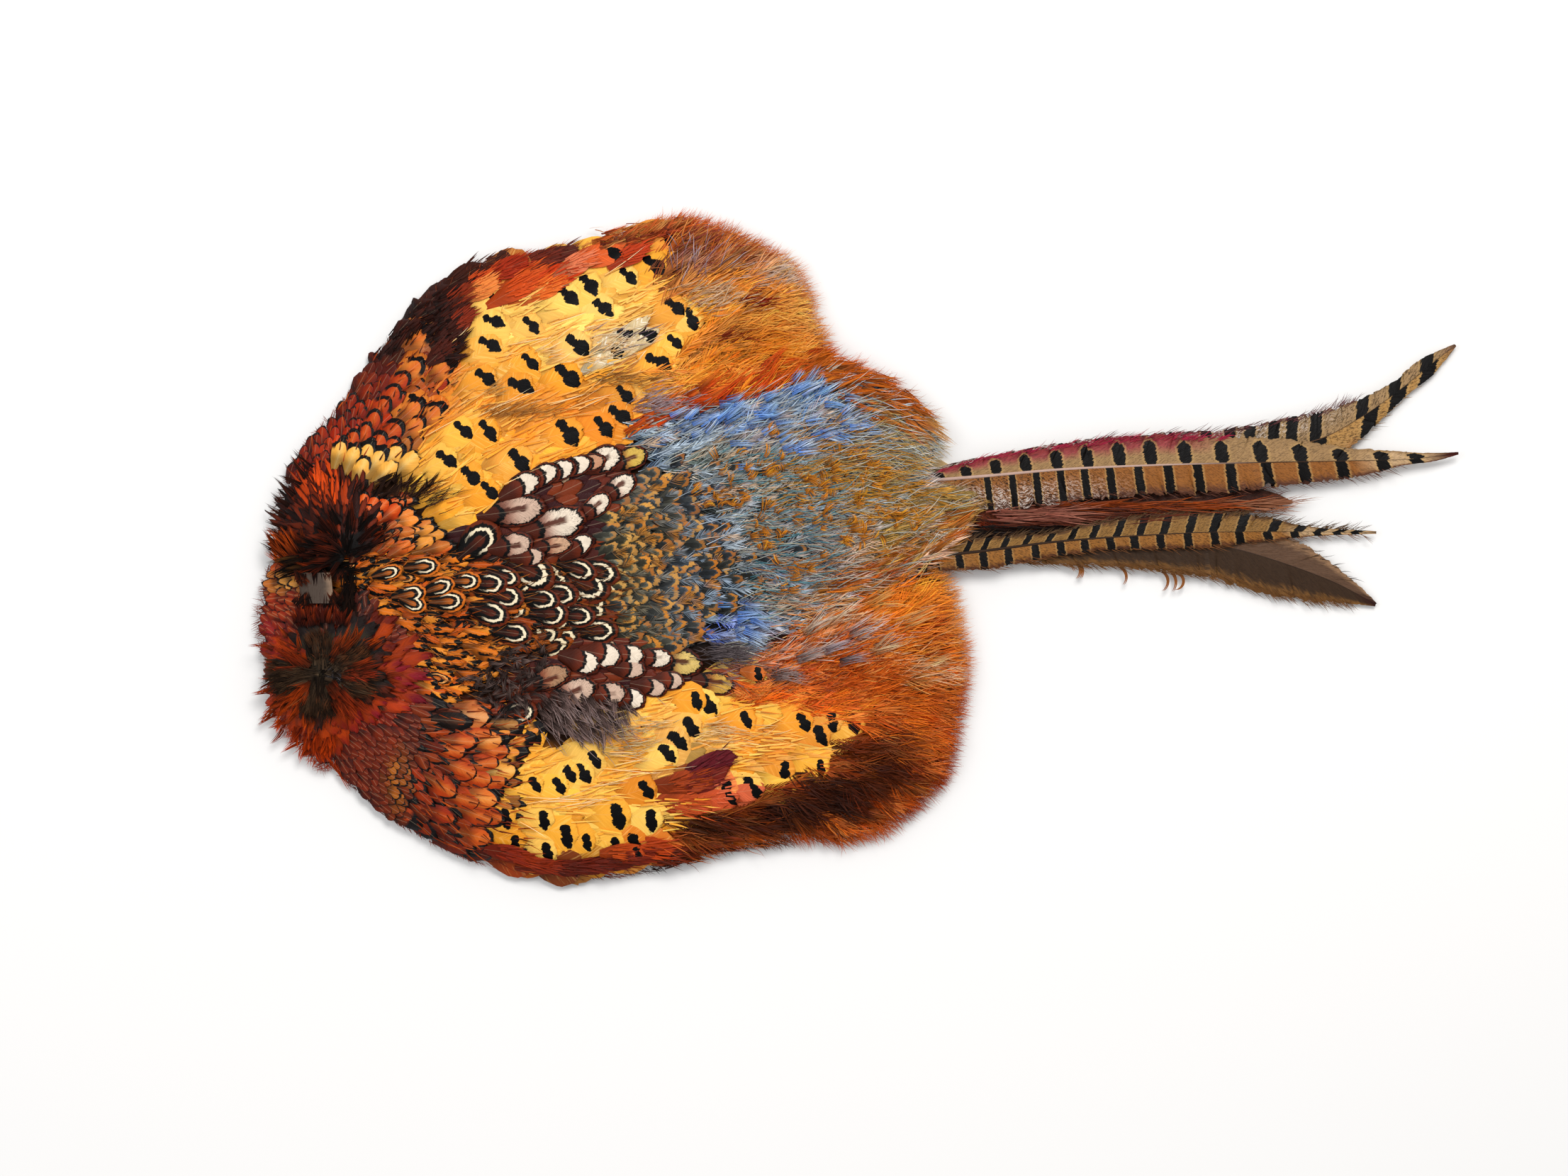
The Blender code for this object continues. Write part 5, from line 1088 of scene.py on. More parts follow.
for ring, dx, dy, c0, c1 in ((TRACT["rump"], 17, 13, (120, 126, 120), (232, 236, 228)),
                             ([(940, 606), (1029, 566), (1084, 556), (1133, 540), (1190, 530), (1250, 560), (1290, 600), (1240, 650), (1150, 650), (1050, 630), (960, 640)], 15, 11, (110, 130, 150), (232, 240, 246)),
                             ([(1190, 560), (1260, 580), (1306, 620), (1300, 656), (1236, 690), (1170, 690), (1160, 640), (1210, 610)], 11, 8, (110, 88, 48), (214, 190, 130)),
                             ([(1050, 660), (1170, 640), (1250, 690), (1230, 740), (1150, 760), (1080, 730)], 14, 10, (110, 76, 20), (222, 162, 56)),
                             ([(1000, 640), (1110, 640), (1180, 700), (1170, 800), (1080, 870), (1040, 880), (1050, 780)], 14, 10, (40, 84, 96), (132, 186, 196)),
                             ([(1110, 610), (1180, 600), (1250, 620), (1310, 650), (1340, 700), (1290, 744), (1190, 726), (1120, 690), (1070, 650)], 11, 8, (140, 88, 22), (236, 164, 56)),
                             ([(1060, 800), (1190, 780), (1270, 760), (1340, 720), (1300, 770), (1200, 820), (1090, 870)], 16, 10, (120, 70, 22), (220, 140, 50))):
    x, y = scatter(ring, dx, dy, 0.5)
    m = len(x)
    a, L = flow(x, y, 12), rng.uniform(24, 56, m)
    x, y = reined(x, y, a, L, OUTLINE, -2)
    keep = ~over_quills(x, y, a, -L)
    x, y, a, L, m = x[keep], y[keep], a[keep], L[keep], keep.sum()
    strands(b, x, y, surf(x, y) + rng.uniform(0.0014, 0.0026, m), a, L, rng.uniform(0.0003, 0.00042, m), lin(*c0) * rng.uniform(0.6, 1.1, (m, 1)),
            blend(np.tile(lin(*c1), (m, 1)), lin(214, 180, 116), rng.uniform(0, 1, m) * (0.2 + 0.5 * (y > 660)) * (dx > 16)) * rng.uniform(0.7, 1.05, (m, 1)), bend=rng.normal(0, 14, m), rise=0.05, droop=0.07, segs=4)
b.build("rump_curls", mat_barb)

# dark, ochre-tipped small feathers among the blue ones
b = Buf()
x, y = scatter([(960, 640), (1010, 640), (1080, 660), (1150, 700), (1170, 740), (1130, 800), (1060, 850), (1020, 880), (1005, 800), (985, 720)], 26, 22, 0.45)
vanes(b, x, y, flow(x, y, 18), rng.uniform(28, 36, len(x)), rng.uniform(7, 11, len(x)), tint(x, y, [(60, 62, 58), (54, 60, 66)]),
      tint(x, y, [(180, 116, 40), (170, 104, 36)]), rng.uniform(0.5, 1, len(x)), qm=0.5, rows=(3, 6), cols=7, lift=rng.uniform(0.0006, 0.0012, len(x)), slope=0.10, jag=0.10, point=1.5)
b.build("rump_ochre_tips", mat_back)

# long rust hairs: the band above the blue, and the upper right edge
b = Buf()
x, y = scatter([(885, 610), (925, 572), (1000, 545), (1060, 520), (1120, 500), (1165, 500), (1150, 532), (1090, 556), (1030, 570), (960, 588), (905, 613)], 13, 10, 0.5)
n = len(x)
locks(b, x - 8, y + 4, surf(x, y) + rng.uniform(0.0002, 0.0014, n), flow(x, y, 9) + 4, rng.uniform(40, 66, n), 9, 0.00046, 8,
      tint(x, y, [(140, 40, 8), (166, 54, 12), (120, 36, 10)], spread=0.2), tint(x, y, [(214, 92, 22), (204, 80, 18), (226, 116, 40)], spread=0.12),
      bend=rng.normal(0, 9, n), rise=0.05, droop=0.06, shade=0.25)
x, y = scatter([(1140, 506), (1200, 512), (1250, 530), (1290, 560), (1320, 600), (1300, 618), (1260, 604), (1210, 576), (1160, 552), (1130, 530)], 12, 8, 0.5)
n = len(x)
a = flow(x, y, 9) + 2
x, y = reined(x - 8, y - 4, a, 42, OUTLINE, -8)
locks(b, x, y, surf(x, y) + rng.uniform(0.0014, 0.0028, n), a, rng.uniform(34, 62, n), 8, 0.0004, 7,
      tint(x, y, [(120, 56, 14), (150, 70, 20), (90, 56, 26)], spread=0.2),
      tint(x, y, [(222, 118, 32), (200, 96, 24)], [(1300, 600, 30, 30, (206, 164, 96), 0.8), (1220, 580, 40, 14, (190, 150, 80), 0.7)], spread=0.14), bend=rng.normal(-14, 9, n), rise=0.02, droop=0.08, shade=0.25)
# a few pale wisps stand off the edge
x = np.array([1300, 1308, 1314, 1322, 1328, 1334, 1338, 1322, 1310], float)
y = np.array([590, 600, 612, 620, 634, 646, 656, 604, 586], float)
locks(b, x - 22, y + 4, surf(x - 22, y + 4) - 0.001, np.array([10, 24, 16, 30, 22, 14, 8, 36, -20.0]), np.array([42, 44, 38, 36, 30, 26, 22, 36, 40.0]), 5, 0.00032, 5,
      lin(150, 130, 96), lin(216, 200, 166), bend=rng.normal(0, 14, 9), rise=0.0, droop=0.05)
x, y = scatter([(1160, 836), (1226, 792), (1282, 760), (1336, 724), (1378, 704), (1376, 728), (1330, 780), (1290, 808), (1200, 846), (1130, 880)], 14, 9, 0.5)
n = len(x)
a = flow(x, y, 6)
x, y = reined(x - 22, y + 8, a, 44, OUTLINE, -3)
locks(b, x, y, surf(x, y) + rng.uniform(0, 0.0010, n), a, rng.uniform(34, 54, n), 8, 0.00044, 6,
      tint(x, y, [(116, 60, 20), (130, 80, 34)], spread=0.2), tint(x, y, [(196, 104, 30), (178, 96, 34), (190, 132, 62)], [(1250, 815, 90, 16, (190, 78, 18), 0.8), (1350, 765, 40, 16, (190, 84, 20), 0.8)], spread=0.12),
      bend=rng.normal(6, 6, n), rise=0.02, droop=0.05, shade=0.3)
b.build("rump_rust_hairs", mat_barb)


# ================================================================ loose plumage towards the tail
def fluff(name, ring, dx, dy, palette, patches, tip_patches, node, cream, nb=15, L=62, W=19, split=1):
    x, y = scatter(ring, dx, dy, 0.45)
    a = flow(x, y, 13) + (clump(x, y, 90, 9.0)[:, 0] - 1).clip(-0.7, 0.7) * 12
    # painted light and shade over clumps of plumes
    clump_shade = clump(x, y, 52, 0.26)
    c1 = np.clip(tint(x, y, palette, patches, 0.16) * 1.22 * clump_shade, 0, 1)
    c2 = np.clip(tint(x, y, palette, patches + tip_patches, 0.12) * 1.25 * clump_shade ** 0.6, 0, 1)
    c2 = blend(c2, cream, rng.uniform(0, 1, len(x)) ** 2 * 0.6 * np.clip(c2.mean(1) / 0.16, 0, 1) ** 2)
    L = L * rng.uniform(0.75, 1.2, len(x))
    W = W * rng.uniform(0.8, 1.25, len(x))
    lift = rng.uniform(-0.0002, 0.0014, len(x))
    parts = np.array_split(np.argsort(x), split)
    for j, s in enumerate(parts):
        b = Buf()
        ax, ay = np.cos(np.radians(a[s])), np.sin(np.radians(a[s]))
        tx, ty = reined(x[s] + 9 * ax, y[s] - 9 * ay, a[s], 19, OUTLINE, 2)
        plumes(b, tx, ty, a[s], L[s], W[s], nb, c1[s] * 0.5, c1[s], c2[s], shaft=np.clip(c2[s] * 1.15, 0, 1), lift=lift[s],
               width=0.00048, open_=(32, 8), slope=0.075, shade=0.26, jitter=8, rise=0.05, droop=0.08, tilt=0.6, shaft_w=0.0003)
        # loose ends on top that run over several feathers
        n = int(len(s) * 3)
        i = s[rng.integers(0, len(s), n)]
        ex, ey = x[i] + rng.normal(0, 10, n), y[i] + rng.normal(0, 10, n)
        ea, eL = flow(ex, ey, 14), rng.uniform(18, 44, n)
        ex, ey = reined(ex, ey, ea, eL, OUTLINE, -6)
        strands(b, ex, ey, surf(ex, ey) + rng.uniform(0.0006, 0.0016, n), ea, eL, rng.uniform(0.0003, 0.00045, n),
                c1[i] * rng.uniform(0.5, 1.1, (n, 1)), np.clip(c2[i] * rng.uniform(0.9, 1.5, (n, 1)), 0, 1), bend=rng.normal(0, 20, n), rise=0.10, droop=0.12)
        o = b.build(name + ("_%d" % (j + 1) if split > 1 else ""), mat_barb)
        if j == 0:
            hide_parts(node)


fluff("upper_belly_plumes", TRACT["upper_fluff"], 18, 14, [(222, 130, 38), (214, 112, 26), (230, 150, 56)], [
    (977, 322, 44, 16, (166, 70, 26), 0.9), (1040, 336, 50, 14, (172, 76, 30), 0.85), (1100, 366, 34, 14, (176, 84, 36), 0.8),
    (975, 365, 36, 30, (86, 34, 40), 0.95), (1030, 366, 34, 16, (110, 56, 56), 0.8), (1064, 362, 22, 12, (140, 54, 34), 0.7), (955, 395, 18, 26, (96, 36, 28), 0.85),
    (1093, 386, 24, 14, (196, 156, 130), 0.6), (1000, 412, 34, 16, (214, 148, 84), 0.7), (1066, 430, 15, 9, (110, 30, 16), 0.9), (1030, 433, 13, 7, (84, 56, 48), 0.7),
    (1110, 440, 30, 40, (206, 130, 56), 0.6), (1115, 490, 50, 24, (216, 116, 34), 0.8), (1036, 468, 26, 8, (120, 70, 34), 0.6),
    (1005, 488, 30, 10, (170, 116, 70), 0.6), (960, 500, 16, 16, (186, 148, 140), 0.6), (1035, 482, 20, 8, (90, 42, 16), 0.6), (950, 538, 30, 14, (184, 118, 62), 0.7),
    (930, 560, 26, 14, (176, 142, 136), 0.7), (1120, 525, 50, 14, (196, 80, 20), 0.9), (1060, 510, 30, 12, (200, 96, 30), 0.6)],
    [(1130, 440, 24, 60, (228, 176, 104), 0.6), (1090, 380, 40, 24, (220, 180, 140), 0.6), (980, 372, 26, 14, (150, 130, 140), 0.4)],
    "upper_belly_fluff", lin(244, 190, 112))
fluff("lower_belly_plumes", TRACT["lower_fluff"], 18, 14, [(206, 92, 20), (190, 74, 14), (218, 112, 32)], [
    (1233, 862, 60, 22, (218, 116, 32), 0.8), (1300, 836, 36, 22, (226, 134, 44), 0.9), (1186, 866, 24, 16, (216, 122, 48), 0.7),
    (1150, 906, 34, 18, (180, 108, 66), 0.7), (1095, 930, 22, 14, (140, 110, 96), 0.7), (1060, 950, 36, 14, (112, 86, 80), 0.8), (1110, 958, 30, 12, (120, 84, 76), 0.7),
    (1165, 955, 34, 12, (108, 66, 56), 0.85), (1187, 929, 9, 6, (40, 24, 26), 0.95), (1206, 914, 9, 6, (40, 24, 26), 0.9), (1245, 936, 30, 14, (196, 130, 74), 0.6),
    (1304, 980, 34, 26, (160, 84, 34), 0.6), (1240, 1000, 40, 16, (150, 72, 28), 0.6), (1250, 1044, 60, 24, (84, 28, 8), 0.9), (1300, 1080, 30, 34, (104, 36, 10), 0.85),
    (1210, 1062, 60, 22, (58, 20, 6), 0.93), (1256, 1090, 54, 26, (50, 16, 5), 0.93), (1180, 1112, 90, 32, (16, 6, 3), 0.98), (1100, 1146, 100, 34, (10, 4, 3), 0.99),
    (1000, 1170, 60, 26, (26, 11, 6), 0.98), (1180, 1130, 50, 20, (44, 16, 6), 0.95), (950, 1205, 40, 16, (40, 16, 8), 0.95), (1120, 1165, 70, 14, (44, 16, 6), 0.9),
    (1330, 1020, 24, 50, (140, 60, 18), 0.8), (1258, 1115, 40, 16, (60, 22, 8), 0.8), (1200, 1030, 20, 8, (176, 96, 44), 0.6), (1200, 1148, 50, 14, (30, 11, 5), 0.95)],
    [(1225, 1174, 60, 12, (190, 88, 26), 0.9), (1328, 1080, 20, 50, (170, 66, 14), 0.85), (1160, 880, 40, 18, (236, 190, 150), 0.6), (1300, 950, 30, 16, (230, 170, 110), 0.6), (1250, 900, 40, 20, (226, 130, 50), 0.5), (1345, 930, 16, 70, (210, 126, 50), 0.6),
     (1060, 1190, 60, 8, (120, 50, 16), 0.6), (1140, 912, 30, 14, (214, 176, 156), 0.5), (1186, 866, 30, 16, (236, 200, 170), 0.5)], "lower_belly_fluff", lin(236, 170, 96), split=2)


# ================================================================ fringe round the edge
b = Buf()
x, y = scatter([(836, 340), (862, 322), (900, 312), (940, 304), (972, 304), (980, 322), (940, 334), (890, 346), (850, 352)], 9, 7, 0.5)
n = len(x)
a = flow(x, y, 12)
x, y = reined(x - 10, y + 4, a, 36, OUTLINE, -5)
locks(b, x, y, surf(x, y) + rng.uniform(0.0006, 0.0018, n), a, rng.uniform(26, 44, n), 7, 0.00040, 6, tint(x, y, [(130, 44, 16), (96, 34, 18), (150, 74, 30)], spread=0.2),
      tint(x, y, [(206, 104, 50), (214, 150, 84), (180, 76, 34)], spread=0.14), bend=rng.normal(0, 12, n), rise=0.03, droop=0.07, shade=0.3)
x, y = scatter([(930, 1206), (960, 1200), (1000, 1190), (1030, 1180), (1034, 1196), (1000, 1208), (960, 1220), (930, 1226)], 9, 7, 0.5)
n = len(x)
a = flow(x, y, 10)
x, y = reined(x - 10, y, a, 34, OUTLINE, -3)
locks(b, x, y, surf(x, y) + rng.uniform(0.0006, 0.0018, n), a, rng.uniform(24, 40, n), 7, 0.00040, 6, tint(x, y, [(60, 22, 10), (90, 34, 14)], spread=0.2),
      tint(x, y, [(150, 60, 20), (110, 40, 16)], spread=0.14), bend=rng.normal(0, 12, n), rise=0.02, droop=0.07, shade=0.3)
b.build("edge_hairs", mat_barb)


def fringe():
    b = Buf()
    ring = np.vstack([OUTLINE, OUTLINE[:1]])
    seg = np.hypot(*(ring[1:] - ring[:-1]).T)
    at = np.concatenate([[0], np.cumsum(seg)])
    pal = [  # along the outline, from the lower neck clockwise: x, y, colour, hairs a unit, length, how far past the edge
        (370, 900, (120, 44, 20), 0.9, 20, 2), (390, 700, (90, 36, 14), 0.6, 16, 2), (440, 600, (130, 50, 22), 0.5, 12, 1),
        (560, 460, (86, 40, 20), 0.4, 10, 0), (620, 400, (100, 46, 22), 0.7, 16, 3), (700, 370, (176, 84, 40), 1.2, 30, 5),
        (800, 350, (196, 104, 50), 1.0, 26, 4), (900, 325, (206, 120, 60), 1.8, 34, 7), (970, 310, (196, 96, 40), 3.5, 40, 9),
        (1060, 340, (192, 104, 54), 3.5, 38, 8), (1130, 400, (206, 130, 70), 4.0, 40, 9), (1150, 460, (214, 140, 70), 4.0, 40, 9),
        (1175, 510, (196, 92, 34), 3.0, 44, 8), (1250, 540, (186, 96, 36), 2.2, 46, 8), (1300, 580, (170, 100, 44), 1.5, 44, 8),
        (1335, 620, (196, 170, 130), 1.0, 30, 6), (1312, 665, (180, 170, 140), 0.5, 20, 3), (1394, 706, (170, 130, 70), 0.4, 18, 1),
        (1352, 776, (170, 92, 30), 0.7, 26, 2), (1320, 810, (214, 140, 70), 3.0, 34, 6), (1345, 860, (224, 150, 84), 4.0, 36, 8),
        (1362, 930, (206, 120, 56), 4.5, 38, 9), (1355, 1000, (184, 88, 34), 4.5, 38, 9), (1340, 1080, (160, 66, 20), 4.5, 38, 9),
        (1298, 1134, (160, 66, 20), 4.0, 38, 9), (1220, 1180, (186, 90, 34), 3.5, 40, 9), (1146, 1186, (176, 80, 28), 2.6, 36, 8),
        (1100, 1190, (100, 44, 16), 2.0, 26, 4), (1050, 1198, (60, 24, 10), 1.6, 24, 3), (950, 1222, (44, 18, 8), 0.9, 18, 1), (860, 1238, (110, 42, 16), 0.5, 14, 1),
        (740, 1234, (140, 52, 20), 0.4, 12, 0), (600, 1190, (120, 46, 22), 0.4, 10, 0), (520, 1134, (90, 34, 16), 0.4, 10, 0),
        (470, 1086, (150, 52, 20), 1.2, 20, 4), (416, 1051, (176, 64, 20), 1.6, 24, 5), (385, 1000, (170, 60, 22), 1.2, 20, 4)]
    px, py = np.array([p[0] for p in pal], float), np.array([p[1] for p in pal], float)
    total = at[-1]
    s = rng.uniform(0, total, 13000)
    i = np.clip(np.searchsorted(at, s) - 1, 0, len(seg) - 1)
    f = (s - at[i]) / seg[i]
    x, y = ring[i, 0] + (ring[i + 1, 0] - ring[i, 0]) * f, ring[i, 1] + (ring[i + 1, 1] - ring[i, 1]) * f
    w = 1 / ((x[:, None] - px) ** 2 + (y[:, None] - py) ** 2 + 60) ** 2
    w /= w.sum(1, keepdims=True)
    cols = w @ np.array([lin(p[2]) for p in pal])
    dens, length, past = w @ np.array([[p[3], p[4], p[5]] for p in pal]).astype(float) if False else (w @ np.array([[p[3], p[4], p[5]] for p in pal], float)).T
    keep = rng.uniform(0, 4.5, len(x)) < dens
    x, y, i, cols, length, past = x[keep], y[keep], i[keep], cols[keep], length[keep], past[keep]
    t = (ring[i + 1] - ring[i]) / seg[i][:, None]
    nx, ny = t[:, 1], -t[:, 0]                     # outward, the outline runs clockwise on the drawing
    out = np.degrees(np.arctan2(-ny, nx))
    fl = flow(x, y, 0)
    ang = np.degrees(np.arctan2(np.sin(np.radians(out)) * 0.55 + np.sin(np.radians(fl)), np.cos(np.radians(out)) * 0.55 + np.cos(np.radians(fl))))
    left = x < 470
    ang = np.where(left, out + rng.normal(0, 25, len(x)), ang) + rng.normal(0, 14, len(x))
    L = length * rng.uniform(0.6, 1.15, len(x))
    depth = rng.uniform(0.50, 1.05, len(x))
    past = past * 0.4
    bx = x + nx * past - np.cos(np.radians(ang)) * L * depth
    by = y + ny * past + np.sin(np.radians(ang)) * L * depth
    z = np.maximum(0.0014, surf(bx, by) - rng.uniform(0.0, 0.0036, len(x)))
    strands(b, bx, by, z, ang, L, rng.uniform(0.00024, 0.00036, len(x)), np.clip(cols * rng.uniform(0.5, 0.9, (len(x), 1)), 0, 1),
            np.clip(cols * rng.uniform(0.9, 1.25, (len(x), 1)), 0, 1), bend=rng.normal(0, 16, len(x)), rise=0.0, droop=0.12, tilt=0.6)
    b.build("edge_fringe", mat_barb)


fringe()


# ================================================================ neck: throat, whorl and tuft
def ruff_material(name, dark, a0, a1, tip0):
    """Vanes that run from dark down through cb to ca at the tip."""
    g = Mat(name, 0.45, 0.4)
    p, q, r = g.split(g.attr("fp"))
    L, W, k = g.split(g.attr("kv"))
    ca, cb = g.attr("ca", "Color"), g.attr("cb", "Color")
    barb = q * L - p.abs() * W * 1.4
    n1 = g.noise(g.vec(barb * 1.2, p * W * 0.2, r * 61.0), 1.0, 3.0, 0.6)
    n2 = g.noise(g.vec(barb * 3.4, p * W * 0.35, r * 37.0), 1.0, 1.0)
    qq = q + (n1 - 0.5) * 0.30 - p.abs() * 0.08 + (r - 0.5) * 0.16
    c = g.mix(dark, cb, qq.step(a0, a1))
    c = g.mix(c, ca, qq.step(tip0, tip0 + 0.16))
    c = g.mix(c, g.scale(c, 0.10), (p.abs() + (n1 - 0.5) * 0.4).step(0.50, 0.90) * k)
    c = g.scale(c, 0.55 + n1 * 0.9)
    c = g.scale(c, 0.80 + n2 * 0.4)
    g.colour(c)
    g.bump(n1 * 0.7 + n2 * 0.5, 0.6, 0.0004)
    return g.m


mat_ruff = ruff_material("neck_ruff_vane", tuple(lin(44, 36, 26)), 0.50, 0.66, 0.80)
mat_tuft = ruff_material("neck_tuft_vane", tuple(lin(9, 6, 5)), 0.44, 0.66, 0.88)

b = Buf()
x, y = scatter(TRACT["throat"], 10.5, 9, 0.28)
a = flow(x, y, 6)
a = np.where(x < 600, -52 + (x - 480) * 0.25, a) + rng.normal(0, 7, len(x))
gold = near(x, y, 570, 1108, 18, 40, 1.5)
c = blend(tint(x, y, [(78, 20, 6), (66, 14, 5), (96, 28, 8)], [(545, 1060, 40, 30, (110, 34, 10), 0.6), (590, 1060, 14, 40, (60, 20, 10), 0.7)], 0.14), lin(190, 116, 40), gold * rng.uniform(0, 0.9, len(x)))
vanes(b, x, y, a, 27, 7.2, c, blend(c, lin(150, 58, 20), 0.4), 0.35 + 0.9 * gold, qm=0.62, rows=(3, 5), cols=5, lift=rng.uniform(0, 0.0004, len(x)), slope=0.10, jag=0.03, point=1.5)
o = b.build("throat_scales", mat_scale)
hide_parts("throat_feathers")

WX, WY = 458.0, 950.0
NECK = [(385, 969), (372, 934), (361, 900), (360, 865), (370, 826), (384, 806), (410, 812), (422, 862), (487, 858), (500, 812), (520, 835),
        (560, 862), (582, 885), (600, 915), (612, 941), (618, 990), (598, 1006), (560, 1032), (500, 1045), (475, 1074), (452, 1084),
        (418, 1048), (392, 1018), (384, 994)]
b = Buf()
# outer neck feathers under the whorl, small and scaly, dark copper to purple-red
x, y = scatter(NECK, 11, 10, 0.3)
a = np.degrees(np.arctan2(-(y - WY), x - WX)) + rng.normal(0, 10, len(x))
c = tint(x, y, [(120, 30, 10), (104, 24, 14), (92, 20, 16), (132, 42, 10)], [
    (380, 830, 26, 20, (110, 36, 12), 0.7), (400, 815, 16, 8, (176, 104, 44), 0.7), (372, 885, 12, 22, (112, 18, 30), 0.8),
    (560, 1010, 40, 20, (120, 30, 12), 0.6), (540, 880, 50, 30, (40, 18, 10), 0.9)], 0.16)
vanes(b, x, y, a, 30, 8, c, blend(c, lin(176, 66, 18), 0.4), 0.4, qm=0.62, rows=(3, 4), cols=5, lift=-0.0004, slope=0.10, jag=0.04, point=1.5)
o = b.build("lower_ruff_scales", mat_scale)
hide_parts("lower_neck_ruff")


def whorl_tip(th):
    """Colour at the ends of the whorl's feathers, by direction."""
    th = np.asarray(th, float) % 360
    c = np.tile(lin(150, 44, 10), (len(th), 1))
    for at, wd, col in ((0, 50, (124, 16, 34)), (330, 40, (116, 14, 38)), (300, 26, (120, 26, 20)), (262, 30, (150, 46, 10)), (225, 26, (168, 58, 10)),
                        (150, 26, (136, 26, 20)), (182, 24, (120, 20, 30)), (118, 22, (96, 32, 10)), (60, 36, (60, 22, 10)), (30, 20, (90, 26, 14))):
        d = np.abs((th - at + 180) % 360 - 180)
        c = blend(c, lin(col), 0.85 * np.exp(-(d / wd) ** 2))
    return c


def whorl_size(th):
    th = np.radians(th)
    return 1.0 + 0.14 * np.cos(2 * th - 0.4) + 0.08 * np.sin(3 * th + 1.0) + 0.07 * np.sin(5 * th + 2.0)


b = Buf()
for R0, n, Wd, k, zl in ((120, 40, 14, 0.25, 0.0002), (108, 36, 14, 0.25, 0.0008), (94, 32, 14, 0.3, 0.0014), (80, 28, 13, 0.3, 0.0019), (66, 22, 12, 0.4, 0.0024)):
    th = np.linspace(0, 360, n, endpoint=False) + rng.normal(0, 5, n)
    R = R0 * rng.uniform(0.86, 1.10, n) * whorl_size(th)
    R = R * np.where(np.cos(np.radians(th)) < -0.2, 0.72, 1.0) * (1 - 0.30 * near(th, 0 * th, 95, 0, 34, 1e9))
    tx, ty = WX + R * np.cos(np.radians(th)), WY - R * np.sin(np.radians(th))
    ok = inside(tx, ty, np.array(NECK, float)) > -10
    th, R, tx, ty = th[ok], R[ok], tx[ok], ty[ok]
    tip = whorl_tip(th) * rng.uniform(0.75, 1.25, (len(th), 1))
    ca = np.clip(tip, 0, 1)
    cb = np.clip(blend(np.tile(lin(180, 66, 6), (len(th), 1)), tip, 0.3) * rng.uniform(0.6, 1.15, (len(th), 1)), 0, 1)
    vanes(b, tx, ty, th + rng.normal(0, 8, len(th)), R * 0.9, Wd * rng.uniform(0.8, 1.2, len(th)), ca, cb, k, qm=0.6, rows=(4, 7), cols=9, lift=zl + rng.uniform(-0.0003, 0.0003, len(th)),
          slope=0.03, jag=0.05, base_w=0.2, bend=rng.normal(0.06, 0.06, len(th)), point=1.6)
# black feathers with a rust edge, towards the mantle and the tab
for x, y, a, L, W in ((520, 868, 44, 60, 10), (536, 880, 34, 62, 11), (548, 900, 24, 60, 11), (505, 862, 60, 52, 9), (490, 874, 72, 46, 9), (556, 922, 12, 60, 11),
                      (440, 872, 110, 44, 8), (424, 880, 126, 46, 8), (474, 878, 84, 44, 8), (530, 900, 30, 50, 9), (410, 892, 140, 46, 8)):
    vanes(b, [x], [y], a + rng.normal(0, 5), L, W, lin(40, 16, 10), lin(24, 14, 12), 0.4, qm=0.6, rows=(4, 6), cols=7, lift=0.0027, slope=0.03, jag=0.05, base_w=0.2, point=1.3)
for th, R, Wd in ((166, 70, 13), (182, 82, 15), (198, 76, 13), (248, 74, 13), (264, 80, 15), (280, 72, 13), (326, 82, 14), (342, 92, 15), (356, 82, 13), (20, 78, 14), (38, 70, 13), (84, 56, 13), (106, 54, 12)):
    R = R * rng.uniform(0.9, 1.08)
    vanes(b, [WX + R * math.cos(math.radians(th)) * 1.12], [WY - R * math.sin(math.radians(th)) * 0.92], th + rng.normal(0, 4), R * 0.95, Wd, lin(72, 26, 12) * rng.uniform(0.5, 1.1), lin(27, 20, 14) * rng.uniform(0.5, 1.3), 0.7,
          qm=0.6, rows=(4, 7), cols=9, lift=0.0036 + rng.uniform(-0.0003, 0.0003), slope=0.02, jag=0.07, base_w=0.2, bend=rng.normal(0.05, 0.05), point=1.8)
b.build("lower_ruff_whorl", mat_ruff)

b = Buf()
m = 230                                            # the dark down in the middle lies in four soft lobes
lobe = rng.choice(np.array([186.0, 262, 336, 30, 90]), m, p=[0.28, 0.26, 0.24, 0.16, 0.06])
th = lobe + rng.normal(0, 14, m)
r0 = rng.uniform(0, 1, m) ** 0.7 * 38
x, y = WX + r0 * np.cos(np.radians(th)) * 1.35, WY - r0 * np.sin(np.radians(th)) * 0.95
hue = rng.uniform(0, 1, m)
locks(b, x, y, surf(x, y) + 0.0026 + rng.uniform(0, 0.0012, m) + 0.0006 * np.cos(np.radians(th - lobe) * 4), th + rng.normal(4, 9, m), rng.uniform(24, 46, m) * whorl_size(th), 12, 0.0004, 9,
      blend(np.tile(lin(16, 11, 8), (m, 1)), lin(76, 62, 48), hue ** 1.5 * 0.8), blend(np.tile(lin(28, 17, 11), (m, 1)), lin(86, 62, 42), hue ** 2 * 0.8),
      bend=rng.normal(4, 12, m), rise=0.01, droop=0.08, shade=0.30, conv=0.5)
m = 90                                             # fine down over the dark feathers
th = rng.choice(np.array([182.0, 264, 342, 28, 94]), m) + rng.normal(0, 12, m)
r0 = rng.uniform(22, 58, m)
x, y = WX + r0 * np.cos(np.radians(th)) * 1.2, WY - r0 * np.sin(np.radians(th)) * 0.9
